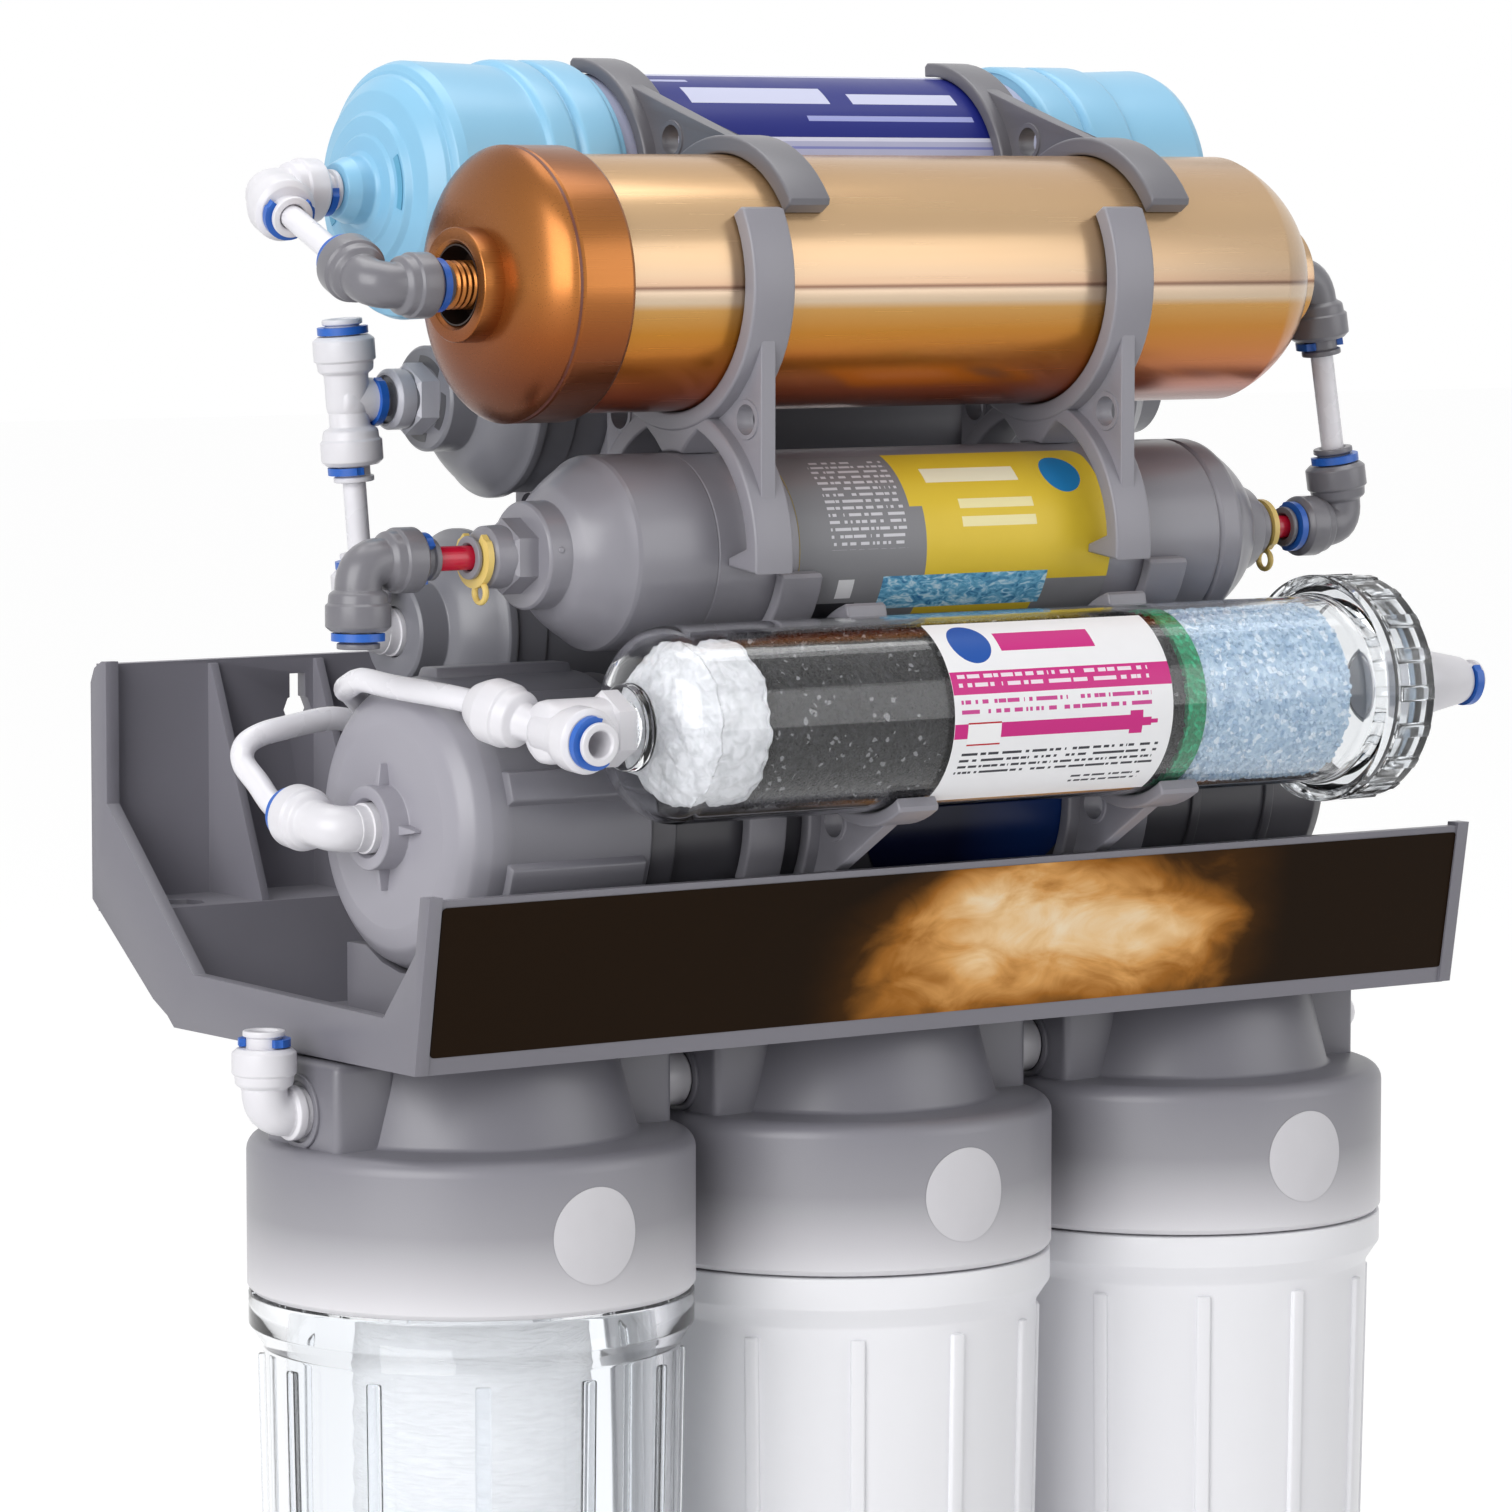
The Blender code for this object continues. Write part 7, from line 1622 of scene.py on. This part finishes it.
outline = [
    *sleeveOutline(rightEnd, -1, sleeve, right), (right, hubRadius - 0.0024, 0.0004),
    (hubRight + 0.0012, hubRadius - 0.0006, 0.0006), (hubRight, hubRadius, 0.0004),
    *domeOutline(hubRight, rimRight, hubRadius, radius - 0.0006), (rimRight, radius - 0.0003, 0.0008),
    (rimRight - 0.0012, radius, 0.0006), (seam + 0.0010, radius, 0.0003), (seam, radius - 0.0010, 0.0002),
    (seam - 0.0010, radius, 0.0003), (line + 0.0004, radius, 0.0002), (line, radius - 0.0002, 0.0001),
    (line - 0.0004, radius, 0.0002), (rimLeft + 0.0012, radius, 0.0006), (rimLeft, radius - 0.0003, 0.0008),
    *domeOutline(hubLeft, rimLeft, hubRadius, radius - 0.0006)[::-1], (hubLeft, hubRadius, 0.0004),
    (left + 0.0008, hubRadius, 0.0006), (left, hubRadius - 0.0006, 0.0004), (left, fit["sleeve"], 0.0),
    *sleeveOutline(leftEnd, 1, sleeve, hexStart)[::-1],
]
shapes = [turnedX(softened(outline), axis, 144), hexShape(axis, hexStart, fit["hexLength"] + 0.001)]
pin = softened([(0.0, 0.0), (0.0010, 0.0, 0.0002), (0.0008, 0.0006, 0.0003), (0.0, 0.0007)], 0.0002)
spot = polar(axis, hubRadius - 0.0003, mineral["pinAngle"])
shapes.append(aimed(turnedShape(pin, 16), (left + 0.0035, *spot), (0, *toward(axis, spot))))
for end, side in ((leftEnd, 1), (rightEnd, -1)):
    # yellow locking clips with a finger loop
    shapes.append(alongX(lockingClip(0.0016, 0.0033, 0.0048, 0.0079, 70.0), end, axis, 90 * side, side))
    loop = {**roundRing(mineral["loop"], 0.0007, 0.0009, 6, 24), "slot": 1}
    shapes.append(alongX(loop, end + side * 0.0025, polar(axis, mineral["loopRadius"], mineral["loopAngle"])))
materials = [finish["greyGlossyPlastic"], finish["yellowLockingClip"]]
addPiece("mineralVessel", shapes, materials, "grey_plastic", ["mineral_cartridge"])
yellow, greyZone, cream = (0.76, 0.55, 0.045), (0.22, 0.22, 0.235), (0.86, 0.78, 0.42)
strip = (0.27, 0.05, 0.80, 0.25)
mineralPaper, tree, shader, colour, uv = labelPaper("mineralLabel", yellow, (
    (0.0, 0.0, 0.36, 1.0, greyZone), (0.36, 0.0, 0.40, 0.62, greyZone), (0.78, 0.0, 1.0, 0.20, greyZone),
    (0.0, 0.0, 0.20, 0.10, (0.03, 0.03, 0.035)), (0.13, 0.13, 0.18, 0.24, (0.70, 0.70, 0.72)),
    (0.52, 0.60, 0.76, 0.655, cream), (0.52, 0.50, 0.76, 0.555, cream),
    (0.44, 0.76, 0.74, 0.86, (0.87, 0.83, 0.62)), (*strip, (0.10, 0.34, 0.56)),
), (
    (0.10, 0.40, 0.34, 0.95, (0.62, 0.62, 0.66), 70.0, 26.0, 0.42),
    (0.30, 0.10, 0.78, 0.20, (0.45, 0.66, 0.82), 40.0, 30.0, 0.5),
))
water = noise(tree, uv, 26.0, 4.0, distortion=1.5)
ripples = ramp(tree, water, (
    (0.30, (0.03, 0.16, 0.36)), (0.52, (0.16, 0.46, 0.68)), (0.68, (0.62, 0.80, 0.90)),
))
colour = mixColour(tree, printed(tree, uv, *strip), colour, ripples)
withDisc(tree, shader, colour, uv, (0.885, 0.80), 2.06, 0.125, (0.02, 0.22, 0.52))
labelSpot = onBarrel(axis, radius + 0.00005, -0.0530, 0.0500, 225.0, 113.0)
addPiece("mineralLabel", [wrappedPatch(labelSpot, 4, 30, (0.04, 0.08))], [mineralPaper])
print("copper, alkaline and grey vessels made")

# rear cartridges
rear = {
    "radius": 0.0254, "rim": 0.0275, "cap": 0.0262, "length": 0.2470, "hub": 0.0144, "hubLength": 0.0090,
    "dome": 0.0110, "rimWidth": 0.0030, "capLength": 0.0100, "bore": 0.0069, "boreDepth": 0.011, "slots": 4,
    "slotHalfAngle": 26.0, "slotTurn": 20.0, "slotReach": (0.0104, 0.0116), "slotWidth": 0.0026,
}


def rearEnd():
    hub, hubLength, rim, cap = (rear[key] for key in ("hub", "hubLength", "rim", "cap"))
    edge = hubLength + rear["dome"]
    rimEnd = edge + rear["rimWidth"]
    capEnd = rimEnd + rear["capLength"]
    return [
        (0.0, hub - 0.0008, 0.0004), (0.0008, hub, 0.0004), (hubLength, hub, 0.0006),
        *domeOutline(hubLength, edge, hub, rim - 0.0008, 0.60), (edge, rim - 0.0004, 0.0006),
        (edge + 0.0006, rim, 0.0006), (rimEnd, rim, 0.0006), (rimEnd + 0.0004, cap, 0.0004),
        (capEnd, cap, 0.0004), (capEnd + 0.0004, rear["radius"], 0.0004),
    ]


def hubSlot(x, side):
    # a curved slot in a hub's face, drawn as a flat dark patch of painted shade
    wide, tall = rear["slotReach"]

    def spot(u, v, lift):
        angle = math.radians(rear["slotHalfAngle"] * (2 * v - 1))
        across = wide * math.cos(angle) + rear["slotWidth"] * (u - 0.5)
        return (x + side * (lift - 0.0001), across, tall * math.sin(angle))
    return slotPatch(spot, 0.0002)


def rearVessel(name, node, axisName, hasAdaptor):
    left, axis, bore, depth = ends[axisName], axes[axisName], rear["bore"], rear["boreDepth"]
    right, hexStart, outer = left + rear["length"], left - fit["hexLength"], fit["sleeve"] + 0.0001
    sleeve = fit["sleeve"]
    outline = [(right - depth, 0.0), (right - depth, bore, 0.0), (right, bore, 0.0003)]
    outline += [(right - inward, *rest) for inward, *rest in rearEnd()]
    outline += [(left + inward, *rest) for inward, *rest in reversed(rearEnd())]
    if hasAdaptor:
        outline += [(left, sleeve, 0.0)] + sleeveOutline(hexStart - sleeve, 1, sleeve, hexStart)[::-1]
    else:
        outline += [(left, bore, 0.0003), (left + depth, bore, 0.0), (left + depth, 0.0)]
    shapes = [turnedX(softened(outline), axis, 144)]
    if hasAdaptor:
        shapes.append(hexShape(axis, hexStart, fit["hexLength"] + 0.001, 2))
        start, stop = hexStart - 0.0003, hexStart - sleeve + 0.0026
        cover = [(start, 0.0070), (start, outer), (stop + 0.0010, outer, 0.0004), (stop, 0.0072, 0.0003),
                 (stop, 0.0066)]
        shapes.append(turnedX(softened(cover, 0.0002), axis, 64, closed=True, slot=2))
    # the open left end has no slots in its hub
    faces = [(left, -1), (right, 1)] if hasAdaptor else [(right, 1)]
    for x, side in faces:
        shapes.append(ringCopies(hubSlot(x, side), rear["slots"], axis, math.radians(rear["slotTurn"]), 1))
    materials = [finish["rearGreyPlastic"], finish["slotShadeGreyPlastic"], finish["paleGreyPlastic"]]
    addPiece(name, shapes, materials, "grey_plastic", [node])


rearVessel("rearUpperVessel", "rear_upper_cartridge", "rearUpper", True)
rearVessel("rearLowerVessel", "rear_lower_cartridge", "rearLower", False)

# clear refillable cartridge
clear = {
    "left": -0.1140, "right": 0.1245, "radius": 0.0254, "wall": 0.0022, "dome": 0.0120, "port": 0.0110,
    "portBore": 0.0069, "portLength": 0.0030, "flange": 0.0310, "flangeX": 0.1120, "flangeEnd": 0.1160,
    "neck": 0.0275, "neckX": 0.1163, "cap": 0.0305, "capWall": 0.0022, "ribs": 18,
}
left, right, radius, port, neck = (clear[key] for key in ("left", "right", "radius", "port", "neck"))
inner, barrel = radius - clear["wall"], left + clear["dome"]
flange, flangeX = clear["flange"], clear["flangeX"]
floorX, portEnd = left + 0.0025, left - clear["portLength"]
outline = [
    (floorX, 0.0), (floorX, port - 0.001, 0.001), *quarterOutline(floorX, barrel, port - 0.001, inner),
    (barrel, inner, 0.0), (right, inner, 0.0003), (right, neck, 0.0004), (clear["neckX"], neck, 0.0003),
    (clear["flangeEnd"], flange, 0.0006), (flangeX, flange, 0.0006),
    (flangeX - 0.0008, radius + 0.0006, 0.0012),
    (flangeX - 0.003, radius, 0.001), (barrel + 0.0005, radius, 0.0),
    *quarterOutline(left, barrel + 0.0005, port, radius)[::-1], (left, port, 0.001), (portEnd, port, 0.0006),
    (portEnd, clear["portBore"], 0.0003), (left, clear["portBore"], 0.0), (left, 0.0),
]
shell = turnedX(softened(outline), axes["clear"], 160)
addPiece("clearShell", [shell], [clearPlastic], "clear_plastic", ["clear_shell"])

# wool wad, lumpy on its outside, spilling a little over the carbon
fillRadius = inner - 0.0004
beds = {"wool": -0.0850, "carbon": 0.0485, "sponge": 0.0548, "grains": 0.1060}
wool = {"start": -0.1010, "pitch": 0.0005, "rings": 27, "finest": 0.0008, "depth": 0.0042, "scale": 210.0}
wadPoints = [(-0.1085, 0.0), (-0.1085, 0.0080), (-0.1070, 0.0145), (-0.1045, 0.0195), (-0.1020, 0.0220)]
wadPoints += [(wool["start"] + wool["pitch"] * step, fillRadius) for step in range(wool["rings"])]
wadPoints += [(beds["wool"] + 0.0010, fillRadius - 0.001), (beds["wool"] + 0.0005, 0.0)]
finer = []
for before, after in zip(wadPoints, wadPoints[1:]):
    pieces = max(1, int(math.dist(before, after) / wool["finest"]))
    shares = [part / pieces for part in range(pieces)]
    finer += [tuple(a + (b - a) * share for a, b in zip(before, after)) for share in shares]
wad = turnedX(softened(finer + [wadPoints[-1]], 0.0), (0.0, 0.0), 200)
wad = grown(wad, tuftTree, {"Depth": wool["depth"], "Scale": wool["scale"]}, woolFibre)
wad = shifted(wad, 0.0, *axes["clear"])
addPiece("woolWad", [wad], [woolFibre], "filter_fibre", ["wool_plug"], sharpAngle=180.0)


def bedPiece(name, node, low, high, material, slotName, density=0.0, sizes=(0.0, 0.0), sunk=0.0004, seed=7):
    if not density:
        sunk = 0.0
    reach, low, high = fillRadius - sizes[1], low + sunk, high - sunk
    shape = turnedX([(low, 0.0), (low, reach), (high, reach), (high, 0.0)], (0.0, 0.0), 96)
    if density:
        values = {"Density": density, "Smallest": sizes[0], "Largest": sizes[1], "Seed": seed}
        shape = grown(shape, grainTree, values, material, 180.0)
    addPiece(name, [shifted(shape, 0.0, *axes["clear"])], [material], slotName, [node], sharpAngle=20.0)


bedPiece("carbonBed", "carbon_bed", beds["wool"] + 0.0006, beds["carbon"], carbonGrains, "carbon",
         330000.0, (0.0005, 0.0010))
bedPiece("spongeDisc", "green_sponge", beds["carbon"] + 0.0002, beds["sponge"], spongeGreen, "green_sponge")
bedPiece("paleGrains", "mineral_bed", beds["sponge"] + 0.0003, beds["grains"], mineralGrains, "pale_mineral",
         420000.0, (0.0006, 0.0010))

magenta, white, darkRed = (0.56, 0.022, 0.21), (0.86, 0.86, 0.87), (0.45, 0.01, 0.02)
clearPaper, tree, shader, colour, uv = labelPaper("clearCartridgeLabel", (0.84, 0.84, 0.86), (
    (0.27, 0.80, 0.70, 0.91, magenta), (0.0, 0.59, 1.0, 0.70, magenta), (0.0, 0.385, 0.86, 0.455, magenta),
    (0.86, 0.40, 0.90, 0.44, magenta), (0.90, 0.41, 0.93, 0.43, magenta), (0.80, 0.365, 0.86, 0.475, magenta),
    (0.06, 0.35, 0.21, 0.46, white), (0.06, 0.35, 0.21, 0.358, darkRed), (0.06, 0.452, 0.21, 0.46, darkRed),
), (
    (0.03, 0.605, 0.90, 0.69, (0.82, 0.70, 0.78), 46.0, 24.0, 0.45),
    (0.03, 0.485, 0.90, 0.575, (0.55, 0.05, 0.26), 50.0, 22.0, 0.42),
    (0.04, 0.20, 0.95, 0.33, (0.04, 0.04, 0.05), 62.0, 30.0, 0.40),
    (0.60, 0.08, 0.92, 0.16, (0.05, 0.05, 0.06), 62.0, 30.0, 0.40),
))
withDisc(tree, shader, colour, uv, (0.145, 0.855), 1.29, 0.115, (0.012, 0.08, 0.36))
labelSpot = onBarrel(axes["clear"], radius + 0.00005, -0.0304, 0.0418, 241.0, 115.0)
addPiece("clearLabel", [wrappedPatch(labelSpot, 4, 36)], [clearPaper])

# its screw cap with grip ribs, outlet cone and collet, and the black seal
start, cap, boreRadius = clear["neckX"], clear["cap"], clear["cap"] - clear["capWall"]
seal = {"width": 0.0024, "radius": 0.0264, "round": 0.0012}
floorX = right + seal["width"] + 2 * fit["play"]
end = floorX + 0.0030
tip = end + 0.0395
outline = softened([
    (end - 0.0005, 0.0), (end - 0.0005, 0.0092, 0.0), (end, 0.0092, 0.0003), (end, 0.0180, 0.0004),
    (end, 0.0286, 0.0006), (end - 0.0016, cap, 0.0010), (end - 0.0040, cap, 0.0004),
    (start + 0.0010, cap, 0.0006), (start, cap - 0.0008, 0.0004), (start, boreRadius, 0.0003),
    (floorX, boreRadius, 0.0003), (floorX, 0.0),
])
rib = ribShape((end - start) * 0.80, 0.0018, 0.0046, cap - 0.0005, (start + end) / 2, 0.7, 0.0003)
cone = softened([
    (tip - 0.011, 0.0), (tip - 0.011, 0.0034, 0.0), (tip - 0.0004, 0.0034), (tip, 0.0038),
    (tip, 0.0055, 0.0004),
    (tip - 0.0014, 0.0055, 0.0003), (tip - 0.0018, 0.0046), (tip - 0.0045, 0.0046, 0.0),
    (tip - 0.0045, 0.0060, 0.0005), (tip - 0.0060, 0.0066, 0.0006), (tip - 0.0175, 0.0088, 0.002),
    (tip - 0.0215, 0.0092, 0.0008), (end + 0.0030, 0.0092, 0.0006), (end + 0.0026, 0.0104, 0.0004),
    (end + 0.0001, 0.0104, 0.0004), (end + 0.0001, 0.0),
])
shapes = [
    turnedX(outline, axes["clear"], 160), ringCopies(rib, clear["ribs"], axes["clear"]),
    turnedX(cone, axes["clear"], 72, slot=1),
    alongX(lockingClip(0.0003, 0.0026, 0.0048, 0.0071, 96.0, 2), tip - 0.0045, axes["clear"], 90),
]
materials = [clearCapPlastic, fittingWhite, clipBlue]
addPiece("clearCap", shapes, materials, "clear_plastic", ["clear_cap"], "clear_lid")
middle = right + fit["play"] + seal["width"] / 2
ring = alongX(roundRing((seal["radius"], middle), seal["round"], seal["round"], 6, 128), 0.0, axes["clear"])
addPiece("clearCapSeal", [ring], [sealRubber], "seal_rubber", ["clear_cap_seal"], "clear_seal")

# the element stays as it is, inside the membrane housing
element = nodes["membrane_element"]
element.data.materials.clear()
element.data.materials.append(spunFibre)
print("clear cartridge made")
